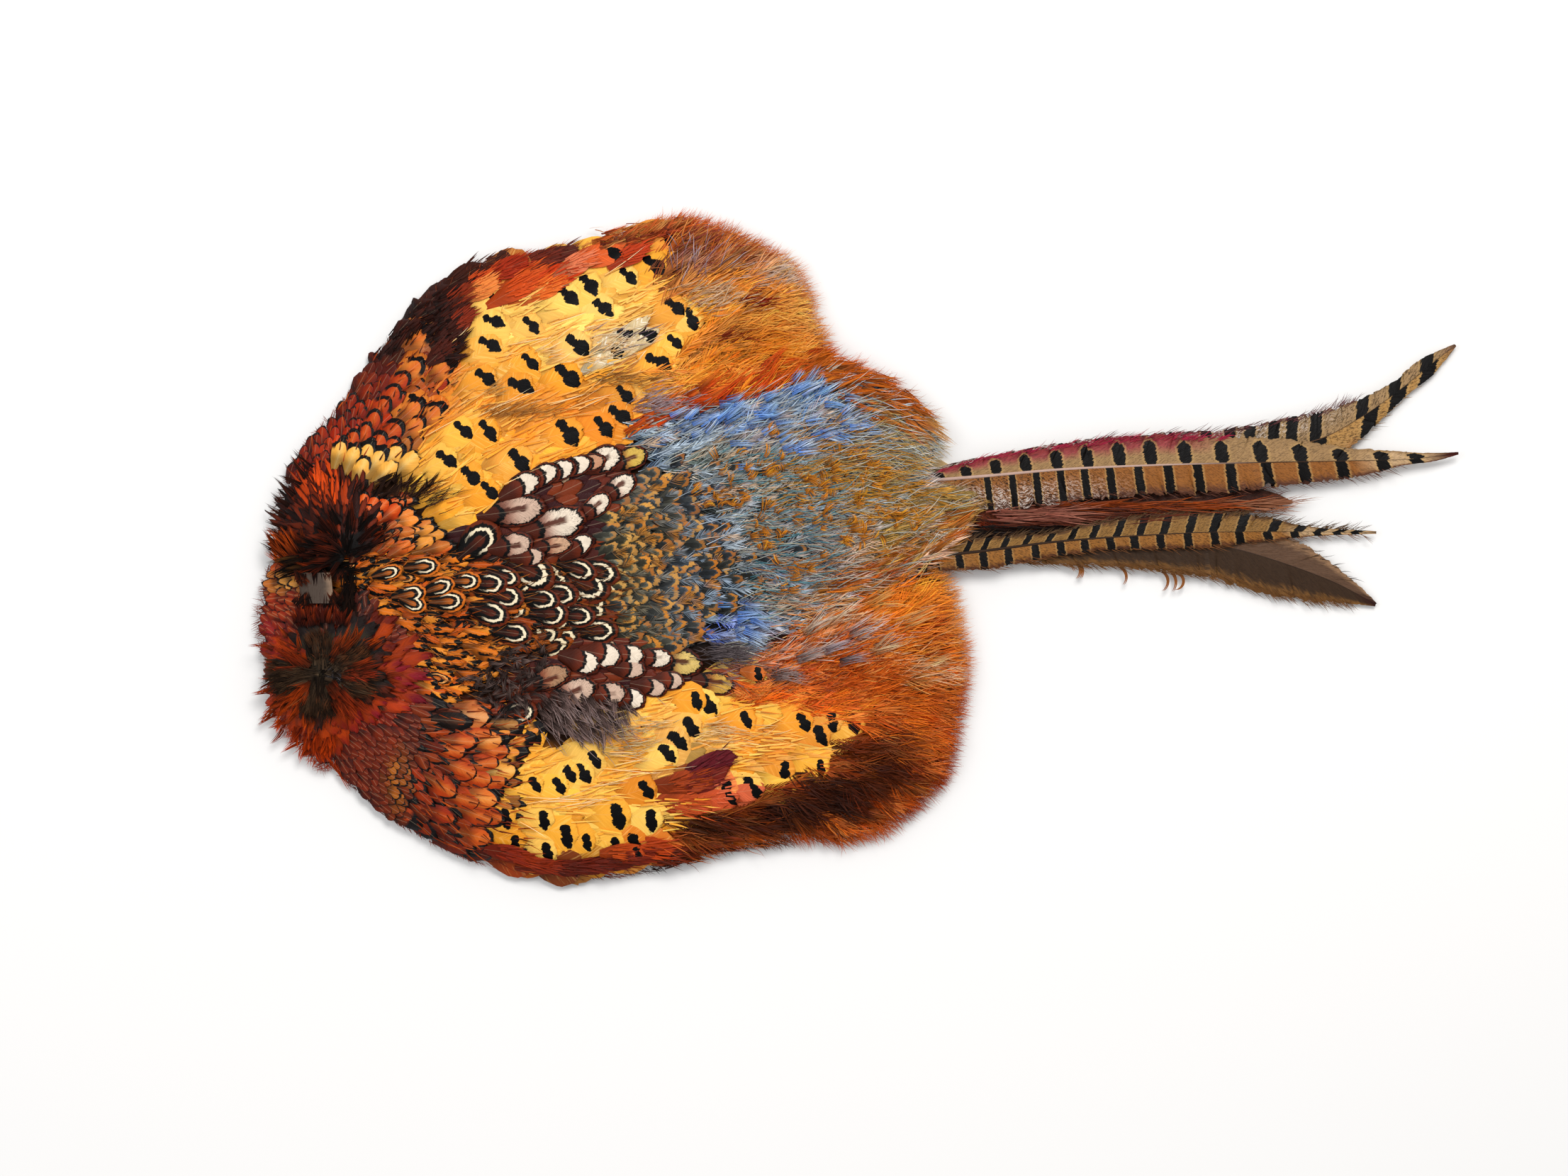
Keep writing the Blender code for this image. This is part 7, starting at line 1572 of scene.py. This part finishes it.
mat_tail = tail_material()
TAIL = {
    "tail_feather_top": dict(
        quill=(1262, 688), z=(0.0086, 0.0076, 0.0046),
        shaft=[(1300, 679), (1395, 671), (1499, 662), (1604, 657), (1700, 654), (1800, 652), (1900, 650), (1981, 648), (2024, 644), (2060, 639)],
        upper=[(1306, 670), (1395, 643), (1499, 626), (1604, 613), (1700, 613), (1800, 616), (1900, 629), (1981, 636), (2024, 638), (2060, 637)],
        lower=[(1306, 688), (1395, 722), (1499, 713), (1604, 702), (1700, 700), (1800, 689), (1900, 677), (1981, 657), (2024, 651), (2060, 641)],
        main=((164, 124, 72), (142, 98, 54)), edge=((132, 50, 50), (98, 62, 44)), mott=(0.42, 0.75), bars_w=(6.6, 3.6), swell=(0.7, 1.5), lean=(-6, 6), shaft_col=(186, 158, 146),
        bars=([1324, 1362, 1404, 1446, 1490, 1533, 1578, 1622, 1671, 1723, 1778, 1834, 1891, 1949],
              [1395, 1430, 1464, 1498, 1532, 1568, 1608, 1650, 1692, 1738, 1789, 1841, 1895, 1953])),
    "tail_feather_upcurved": dict(
        quill=(1262, 676), z=(0.0060, 0.0052, 0.0022),
        shaft=[(1300, 668), (1400, 656), (1510, 647), (1620, 641), (1720, 637), (1800, 631), (1863, 619), (1922, 588), (1975, 551), (2018, 516), (2057, 485)],
        upper=[(1306, 662), (1400, 640), (1510, 621), (1620, 610), (1720, 604), (1800, 590), (1855, 579), (1903, 566), (1962, 540), (2008, 504), (2055, 484)],
        lower=[(1306, 674), (1400, 672), (1510, 673), (1620, 672), (1720, 670), (1800, 668), (1875, 654), (1937, 608), (1984, 561), (2026, 527), (2058, 487)],
        main=((158, 128, 92), (176, 134, 80)), edge=((120, 70, 70), (160, 112, 66)), mott=(0.75, 0.6), bars_w=(6.0, 7.6), swell=(0.5, 0.6), lean=(4, -4), shaft_col=(90, 64, 44),
        bars=([1400, 1450, 1500, 1550, 1600, 1650, 1702, 1735, 1768, 1805, 1843, 1880, 1912, 1975, 2014], [1700, 1740, 1780, 1822, 1862, 1890, 1938, 1978, 2012])),
    "tail_feather_rufous": dict(
        quill=(1266, 712), z=(0.0048, 0.0040, 0.0020),
        shaft=[(1304, 712), (1400, 713), (1500, 711), (1600, 708), (1700, 706), (1780, 706), (1826, 708)],
        upper=[(1310, 706), (1400, 690), (1500, 684), (1600, 682), (1700, 682), (1780, 688), (1826, 706)],
        lower=[(1310, 718), (1400, 744), (1500, 738), (1600, 728), (1700, 722), (1780, 718), (1826, 710)],
        main=((60, 28, 18), (104, 46, 22)), edge=((36, 18, 12), (44, 18, 10)), mott=(0.9, 0.0), bars_w=(0, 0), shaft_col=(90, 50, 30), bars=([], [])),
    # its near-black colour is painted shadow: the feather lies in the shaded gap between the rufous feather and the
    # barred one
    "tail_feather_dark": dict(
        quill=(1266, 746), z=(0.0028, 0.0020, 0.0010),
        shaft=[(1304, 746), (1380, 746), (1460, 745), (1540, 742), (1600, 738)],
        upper=[(1310, 740), (1380, 730), (1460, 728), (1540, 730), (1600, 737)],
        lower=[(1310, 752), (1380, 764), (1460, 764), (1540, 756), (1600, 739)],
        main=((34, 22, 17), (30, 20, 16)), edge=((60, 26, 15), (40, 22, 16)), mott=(0.6, 0.0), bars_w=(0, 0), shaft_col=(60, 40, 30), bars=([], [])),
    "tail_feather_barred": dict(
        quill=(1262, 788), z=(0.0082, 0.0072, 0.0040),
        shaft=[(1311, 785), (1389, 777), (1473, 766), (1538, 760), (1617, 755), (1698, 751), (1770, 750), (1850, 750), (1944, 751)],
        upper=[(1316, 772), (1389, 757), (1473, 752), (1538, 738), (1617, 725), (1698, 719), (1770, 724), (1850, 742), (1944, 749)],
        lower=[(1316, 806), (1389, 805), (1473, 789), (1538, 779), (1617, 776), (1698, 774), (1770, 766), (1850, 757), (1944, 753)],
        main=((138, 102, 56), (146, 98, 48)), edge=((92, 62, 36), (84, 48, 28)), mott=(0.6, 0.55), bars_w=(4.0, 5.0), swell=(0.8, 0.2), lean=(9, 3), shaft_col=(50, 36, 28),
        bars=([1337, 1366, 1391, 1419, 1449, 1482, 1514, 1545, 1580, 1612, 1646, 1682, 1716, 1754, 1800], [1320, 1354, 1388, 1423, 1461, 1497, 1531, 1567, 1601, 1638, 1677, 1715, 1750])),
    "tail_feather_grey": dict(
        quill=(1266, 772), z=(0.0054, 0.0044, 0.0018),
        shaft=[(1311, 768), (1400, 770), (1500, 768), (1600, 766), (1680, 766), (1734, 772), (1790, 787), (1846, 806), (1895, 826), (1944, 853)],
        upper=[(1316, 762), (1400, 757), (1500, 747), (1600, 741), (1680, 740), (1750, 744), (1835, 762), (1878, 790), (1922, 826), (1946, 851)],
        lower=[(1316, 776), (1400, 790), (1500, 798), (1600, 804), (1680, 814), (1720, 822), (1788, 840), (1846, 851), (1900, 852), (1943, 856)],
        main=((96, 72, 56), (58, 42, 30)), edge=((146, 114, 86), (120, 84, 46)), mott=(0.5, 0.0), bars_w=(0, 0), shaft_col=(60, 46, 38), bars=([], [])),
}


def tail_height(z, t):
    return z[0] * (1 - t) * (1 - 2 * t) + z[1] * 4 * t * (1 - t) + z[2] * t * (2 * t - 1)


def tail_feather(name, f, seed):
    r = np.random.default_rng(seed)
    M = 1200
    S, E = smooth(f["shaft"], M), (smooth(f["upper"], M), smooth(f["lower"], M))
    length = np.concatenate([[0], np.cumsum(np.hypot(*np.diff(S, axis=0).T))])
    total = length[-1]
    tq = lambda s: np.interp(s, length, np.linspace(0, 1, M))
    at = lambda C, t: np.stack([np.interp(t, np.linspace(0, 1, M), C[:, 0]), np.interp(t, np.linspace(0, 1, M), C[:, 1])], -1)
    b = Buf()
    rows = int(total / 3.0)
    for k, side in enumerate((1, -1)):
        s0 = np.linspace(0, total, rows)
        cols = 7
        fr = np.linspace(0, 1, cols)
        # ragged: barbs end unevenly, and stick together in locks
        lock = np.repeat(r.normal(0, 1, rows // 5 + 1), 5)[:rows]
        reach = 1 - 0.05 * np.abs(r.normal(0, 1, rows)) - 0.05 * np.abs(lock)
        sweep = 15 + 4 * lock
        F = fr[None, :] * reach[:, None]
        tt = np.clip(tq(np.minimum(s0[:, None] + sweep[:, None] * fr[None, :] ** 1.1 * (1 - s0[:, None] / total * 0.4), total * 0.9995)), 0, 1)
        A, B = at(S, tt), at(E[k], tt)
        P2 = A + (B - A) * F[..., None]
        wide = np.hypot(*(B - A).transpose(2, 0, 1)) * U
        z = tail_height(f["z"], tt) + 0.00042 - 0.05 * wide * fr[None, :] ** 2 + 0.00018 * lock[:, None] * fr[None, :]
        verts = np.concatenate([P2, z[..., None]], -1)
        idx = np.arange(rows * cols).reshape(rows, cols)
        quads = np.stack([idx[:-1, :-1], idx[1:, :-1], idx[1:, 1:], idx[:-1, 1:]], -1)
        gap = np.zeros((rows - 1, cols - 1), bool)
        change = np.abs(np.diff(lock)) > 1.0
        gap[change, 5:] = r.uniform(0, 1, (change.sum(), 1)) < f.get("tear", 0.0)
        quads = quads[~gap] if side == 1 else quads[:, :, ::-1][~gap]
        bars = np.array(f["bars"][k], float)
        if len(bars):
            d = np.abs(verts[..., 0][..., None] - f["lean"][k] * (fr[None, :, None] - 0.5) - bars).min(-1)
            bw = f["bars_w"][k] * (1 + f.get("swell", (0, 0))[k] * (s0 / total)[:, None])
            dist = d * (1.8 / bw)
            # the top feather's upper bars are ovals that stop short of the edge
            stop = f.get("stop", (0, 0))[k]
            dist = dist + 2.4 * stop * np.clip((fr[None, :] - 0.72) / 0.22, 0, 1) + 0.8 * np.clip((0.12 - fr[None, :]) / 0.12, 0, 1) * max(stop, 0.2)
        else:
            dist = np.full((rows, cols), 9.0)
        main, edge = lin(f["main"][k]), lin(f["edge"][k])
        part = (s0 / total)[:, None, None]
        tip = np.clip((part - f.get("tip_at", 0.90)) / 0.05, 0, 1)
        light = np.clip((part - f.get("light_at", 2.0)) / 0.06, 0, 1)
        # the coloured edge gives way to the plain one along the feather
        gone = np.clip((part - f.get("edge_to", (2, 2))[k]) / 0.10, 0, 1)
        edge_c = edge * (1 - gone) + main * 0.9 * gone
        main_c = main * (1 - light) + lin(196, 164, 126) * light
        ca = main_c * (1 - tip) + lin(f.get("tip", (104, 58, 38))) * tip
        cb = edge_c * (1 - tip) + lin(f.get("tip", (104, 58, 38))) * 0.8 * tip
        ca, cb = np.broadcast_to(ca, (rows, cols, 3)), np.broadcast_to(cb, (rows, cols, 3))
        if "band" in f and k == 0:                    # a coloured band along the upper vane, darker beyond each bar
            w_ = np.clip((fr - 0.34) / 0.32, 0, 1)[None, :, None] * (1 - gone)
            ca = ca * (1 - 0.85 * w_) + lin(f["band"]) * 0.85 * w_
            blot = np.clip(1.8 - d / (bw * 0.9), 0, 1)[..., None] * np.clip((fr - 0.55) / 0.12, 0, 1)[None, :, None] * (1 - gone)
            ca, cb = ca * (1 - blot * 0.9) + lin(70, 6, 18) * blot * 0.9, cb * (1 - blot * 0.8) + lin(70, 6, 18) * blot * 0.8
        mm = np.ones((rows, cols))
        b.add(verts.reshape(-1, 3), quads=quads.reshape(-1, 4),
              fp=np.stack([mm * side * fr, mm * (s0 / total)[:, None], mm * (seed % 7) / 7 + 0.1 * k], -1).reshape(-1, 3),
              kv=np.stack([mm * s0[:, None] * U * 1000, np.maximum(wide * 1000, 0.3), dist], -1).reshape(-1, 3),
              kw=np.stack([mm * f["mott"][0] * (1 + f.get("silver", (0, 0))[k] * 1.4 * np.clip((0.42 - s0[:, None] / total) / 0.2, 0, 1)), mm * f["mott"][1],
                             mm * f.get("silver", (0, 0))[k] * np.clip((f.get("silver_to", 0.42) - s0[:, None] / total) / 0.2, 0, 1)], -1).reshape(-1, 3),
              ca=rgba(ca.reshape(-1, 3)), cb=rgba(cb.reshape(-1, 3)))
    o = b.build(name.replace("feather", "vane"), mat_tail)
    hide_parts(name)
    # its shaft, and loose barbs along its edges
    b = Buf()
    line = np.vstack([[f["quill"]], at(S, np.linspace(0, 0.985, 60))])
    tz = np.concatenate([[f["z"][0]], tail_height(f["z"], np.linspace(0, 0.985, 60))]) + 0.0002
    rad = np.interp(np.linspace(0, 1, 61), [0, 0.15, 0.5, 1], [0.0008, 0.0006, 0.00032, 0.00014])
    fade = np.clip((np.linspace(0, 1, 61) - f.get("shaft_to", 2.0)) / 0.15, 0, 1)[:, None]
    quill_c = lin(f["shaft_col"]) * (1 - fade) + lin(60, 42, 30) * fade
    d = np.gradient(line, axis=0)
    d /= np.hypot(*d.T)[:, None]
    nrm = np.column_stack([-d[:, 1], d[:, 0]])
    ring = np.linspace(0, 2 * np.pi, 8, endpoint=False)
    verts = np.concatenate([line[:, None] + nrm[:, None] * (np.cos(ring)[None, :, None] * rad[:, None, None] / U),
                            (tz[:, None] + np.sin(ring)[None] * rad[:, None])[..., None]], -1)
    idx = np.arange(61 * 8).reshape(61, 8)
    nxt = np.roll(idx, -1, axis=1)
    quads = np.stack([idx[:-1], idx[1:], nxt[1:], nxt[:-1]], -1).reshape(-1, 4)
    quads = np.concatenate([quads, [idx[0, [0, 1, 2, 3]], idx[0, [0, 3, 4, 7]], idx[0, [4, 5, 6, 7]],
                                    idx[-1, [3, 2, 1, 0]], idx[-1, [7, 4, 3, 0]], idx[-1, [7, 6, 5, 4]]]])
    b.add(verts.reshape(-1, 3), quads=quads, col=rgba(np.repeat(quill_c, 8, axis=0)))
    for k, side in enumerate((1, -1)):
        m = f.get("loose", (60, 60))[k]
        lo_, hi_ = f.get("loose_from", ((0.02, 0.97), (0.02, 0.97)))[k]
        s = (lo_ + (hi_ - lo_) * r.uniform(0, 1, m)) * total
        t = tq(s)
        root, e = at(S, t), at(E[k], t)
        start = root + (e - root) * r.uniform(0.75, 0.95, (m, 1))
        ang = np.degrees(np.arctan2(-(at(S, t + 0.004)[:, 1] - root[:, 1]), at(S, t + 0.004)[:, 0] - root[:, 0]))
        zz = tail_height(f["z"], t) + 0.0003
        col = lin(f.get("loose_col", (f["edge"][0], f["edge"][1]))[k])
        strands(b, start[:, 0], start[:, 1], zz, ang + side * r.uniform(14, 38, m), r.uniform(8, 24, m), 0.00026,
                col * r.uniform(0.5, 1.2, (m, 1)), np.clip(col * r.uniform(0.7, 1.5, (m, 1)), 0, 1), bend=side * r.normal(-10, 14, m), rise=0.0, droop=0.04)
    b.build(name.replace("feather", "shaft"), mat_barb)


TAIL["tail_feather_top"].update(loose=(260, 160), shaft_to=0.40, main=((158, 126, 88), (144, 92, 46)), loose_col=((150, 36, 62), (90, 56, 44)), tip_at=0.925, tip=(74, 28, 20), silver=(0.0, 0.9), silver_to=0.40, stop=(1, 0), light_at=0.80,
                                edge_to=(0.46, 2), loose_from=((0.02, 0.56), (0.1, 0.9)), band=(146, 52, 66))
TAIL["tail_feather_top"]["bars"] = (TAIL["tail_feather_top"]["bars"][0] + [1998], TAIL["tail_feather_top"]["bars"][1] + [2000])
TAIL["tail_feather_upcurved"].update(loose=(200, 40), loose_col=((96, 56, 58), (130, 96, 60)), tip_at=0.96, tip=(120, 80, 70), silver=(0.9, 0.2), silver_to=0.80, edge_to=(0.5, 0.7),
                                     loose_from=((0.3, 0.8), (0.5, 0.9)), lean=(2, -6))
TAIL["tail_feather_upcurved"]["bars"] = ([1400, 1450, 1500, 1550, 1600, 1650, 1702, 1735, 1764, 1798, 1824, 1858, 1924, 1970, 2016], [1700, 1740, 1780, 1822, 1860, 1934, 1975, 2018])
TAIL["tail_feather_rufous"].update(loose=(60, 420), loose_col=((90, 34, 16), (110, 42, 18)))
TAIL["tail_feather_dark"].update(loose=(90, 120), loose_col=((60, 24, 14), (30, 20, 16)))
TAIL["tail_feather_barred"].update(loose=(340, 160), loose_col=((84, 62, 42), (110, 70, 40)), tip_at=0.97, tip=(96, 66, 42), light_at=0.78, edge_to=(0.8, 0.8))
TAIL["tail_feather_barred"]["bars"] = (TAIL["tail_feather_barred"]["bars"][0] + [1836, 1866, 1894, 1918], TAIL["tail_feather_barred"]["bars"][1] + [1790, 1828, 1860, 1888, 1914])
TAIL["tail_feather_grey"].update(loose=(60, 620), loose_col=((60, 46, 40), (104, 70, 40)), tip_at=0.94, tip=(50, 20, 16), loose_from=((0.1, 0.9), (0.05, 0.93)), silver=(0.0, 0.0), mott=(0.28, 0.35))
for i, (name, f) in enumerate(TAIL.items()):
    tail_feather(name, f, 31 + i)
# loose barbs between the feathers: rust streaks, black streaks of painted shadow over the gap where the dark feather
# lies, and curls under the grey one
b = Buf()
for n, x0, x1, y0, y1, z, c0, c1 in ((150, 1390, 1640, 716, 742, 0.0072, (60, 26, 18), (120, 60, 40)), (70, 1480, 1740, 708, 720, 0.0080, (110, 44, 14), (176, 82, 26)), (90, 1370, 1560, 742, 756, 0.0068, (10, 7, 6), (44, 22, 14)),
                                     (60, 1390, 1500, 718, 734, 0.0084, (120, 66, 54), (176, 116, 96)), (60, 1640, 1800, 706, 722, 0.0060, (120, 74, 50), (176, 120, 90))):
    x, y = rng.uniform(x0, x1, n), rng.uniform(y0, y1, n)
    strands(b, x, y, z + rng.uniform(-0.0006, 0.0006, n), rng.normal(2, 5, n), rng.uniform(30, 90, n), rng.uniform(0.0003, 0.0006, n), lin(c0) * rng.uniform(0.5, 1.3, (n, 1)), lin(c1) * rng.uniform(0.5, 1.2, (n, 1)),
            bend=rng.normal(0, 8, n), droop=0.02, segs=4)
for x, y, a, L, bd in ((1515, 792, -22, 30, -120), (1520, 794, -30, 26, -100), (1640, 806, -30, 34, -120), (1652, 806, -40, 32, -90), (1660, 808, -10, 36, -170), (1580, 800, -24, 30, -110), (1500, 790, -16, 24, -60)):
    strands(b, [x, x + 2], [y, y], 0.0046, float(a), float(L), 0.0009, lin(84, 48, 22), lin(150, 92, 44), bend=float(bd), droop=0.03, segs=8, tilt=0.1)
b.build("tail_loose_barbs", mat_barb)

# ================================================================ the skin
g = Mat("dried_skin", 0.62, 0.3)
pos = g.here()
big = g.noise(pos, 22.0, 4.0, 0.6)
fine = g.noise(pos, 420.0, 3.0, 0.6)
n = g.t.nodes.new("ShaderNodeTexVoronoi")
n.inputs["Scale"].default_value = 230.0
g.put(n.inputs["Vector"], pos)
pore = Val(g, n.outputs["Distance"]).step(0.30, 0.12)
c = g.mix(tuple(lin(214, 186, 140)), tuple(lin(176, 134, 88)), big.step(0.40, 0.66))
c = g.mix(c, tuple(lin(128, 84, 54)), (g.noise(pos, 60.0, 5.0, 0.7)).step(0.56, 0.70) * 0.5)
c = g.mix(c, tuple(lin(116, 74, 46)), pore * 0.55)
g.colour(g.scale(c, 0.86 + fine * 0.28))
g.bump(fine * 0.6 + pore * -0.8 + big * 1.2, 0.5, 0.0006)
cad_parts["hide"].data.materials.clear()
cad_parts["hide"].data.materials.append(g.m)

g = Mat("neck_skin", 0.5, 0.4)
pos = g.here()
fine = g.noise(pos, 500.0, 4.0, 0.65)
x_, y_, z_ = g.split(pos)
wrinkle_shading = g.noise(g.vec(x_ * 1500.0, y_ * 260.0, z_ * 260.0), 1.0, 4.0)
blot = g.noise(pos, 170.0, 3.0)
# painted light and shade: the left part of the tab darker as if in shade, the right part lighter as if lit
c = g.mix(tuple(lin(78, 66, 58)), tuple(lin(142, 118, 98)), (x_ + 0.1985 + (blot - 0.5) * 0.006).step(0.0, 0.003))
# wrinkles as painted shade and highlight: the darkest streaks are painted crease shade, and the colour brightens with
# the wrinkle noise as painted highlight
c = g.mix(c, tuple(lin(58, 44, 38)), (wrinkle_shading - 0.5).step(0.04, 0.14) * 0.7)
c = g.scale(c, 0.60 + wrinkle_shading * 0.5 + fine * 0.2)
g.colour(c)
g.bump(wrinkle_shading + fine * 0.5, 0.6, 0.0005)
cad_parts["neck_skin_tab"].data.materials.clear()
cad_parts["neck_skin_tab"].data.materials.append(g.m)

# ================================================================ floor, light and camera
bpy.ops.mesh.primitive_plane_add(size=6, location=(0, 0, 0))
floor = bpy.context.object
floor.name = "floor"
g = Mat("floor_white", 0.8, 0.1)
f_ = g.noise(g.here(), 0.8, 2.0)
g.colour(g.mix((0.935, 0.93, 0.925), (0.95, 0.945, 0.94), f_))
floor.data.materials.append(g.m)

world = bpy.data.worlds.new("studio")
bpy.context.scene.world = world
world.use_nodes = True
world.node_tree.nodes["Background"].inputs[0].default_value = (1.0, 0.99, 0.985, 1)
world.node_tree.nodes["Background"].inputs[1].default_value = 0.47


def area(name, at, size, energy, colour=(1, 1, 1)):
    light = bpy.data.lights.new(name, "AREA")
    light.shape, light.size, light.energy, light.color = "DISK", size, energy, colour
    o = bpy.data.objects.new(name, light)
    bpy.context.scene.collection.objects.link(o)
    o.location = at
    d = -np.array(at, float)
    o.rotation_euler = (math.atan2(math.hypot(d[0], d[1]), -d[2]), 0, math.atan2(d[1], d[0]) + math.pi / 2 * 3)
    return o


area("key", (0.25, 0.75, 1.5), 0.7, 16.6, (1.0, 0.985, 0.96))
area("fill", (-0.7, 0.1, 1.3), 0.9, 5.0, (0.97, 0.98, 1.0))

cam_data = bpy.data.cameras.new("camera")
cam = bpy.data.objects.new("camera", cam_data)
bpy.context.scene.collection.objects.link(cam)
bpy.context.scene.camera = cam
DIST_CAM = 1.8
cam_data.sensor_width = 36.0
cam_data.lens = 36.0 * (DIST_CAM - 0.009) / (2212 * U)
cam.location = ((1106 - CX) * U, (CY - 829.5) * U, DIST_CAM)
cam.rotation_euler = (0, 0, 0)
cam_data.clip_end = 10

bpy.context.scene.view_settings.view_transform = "Standard"
bpy.context.scene.view_settings.look = "None"
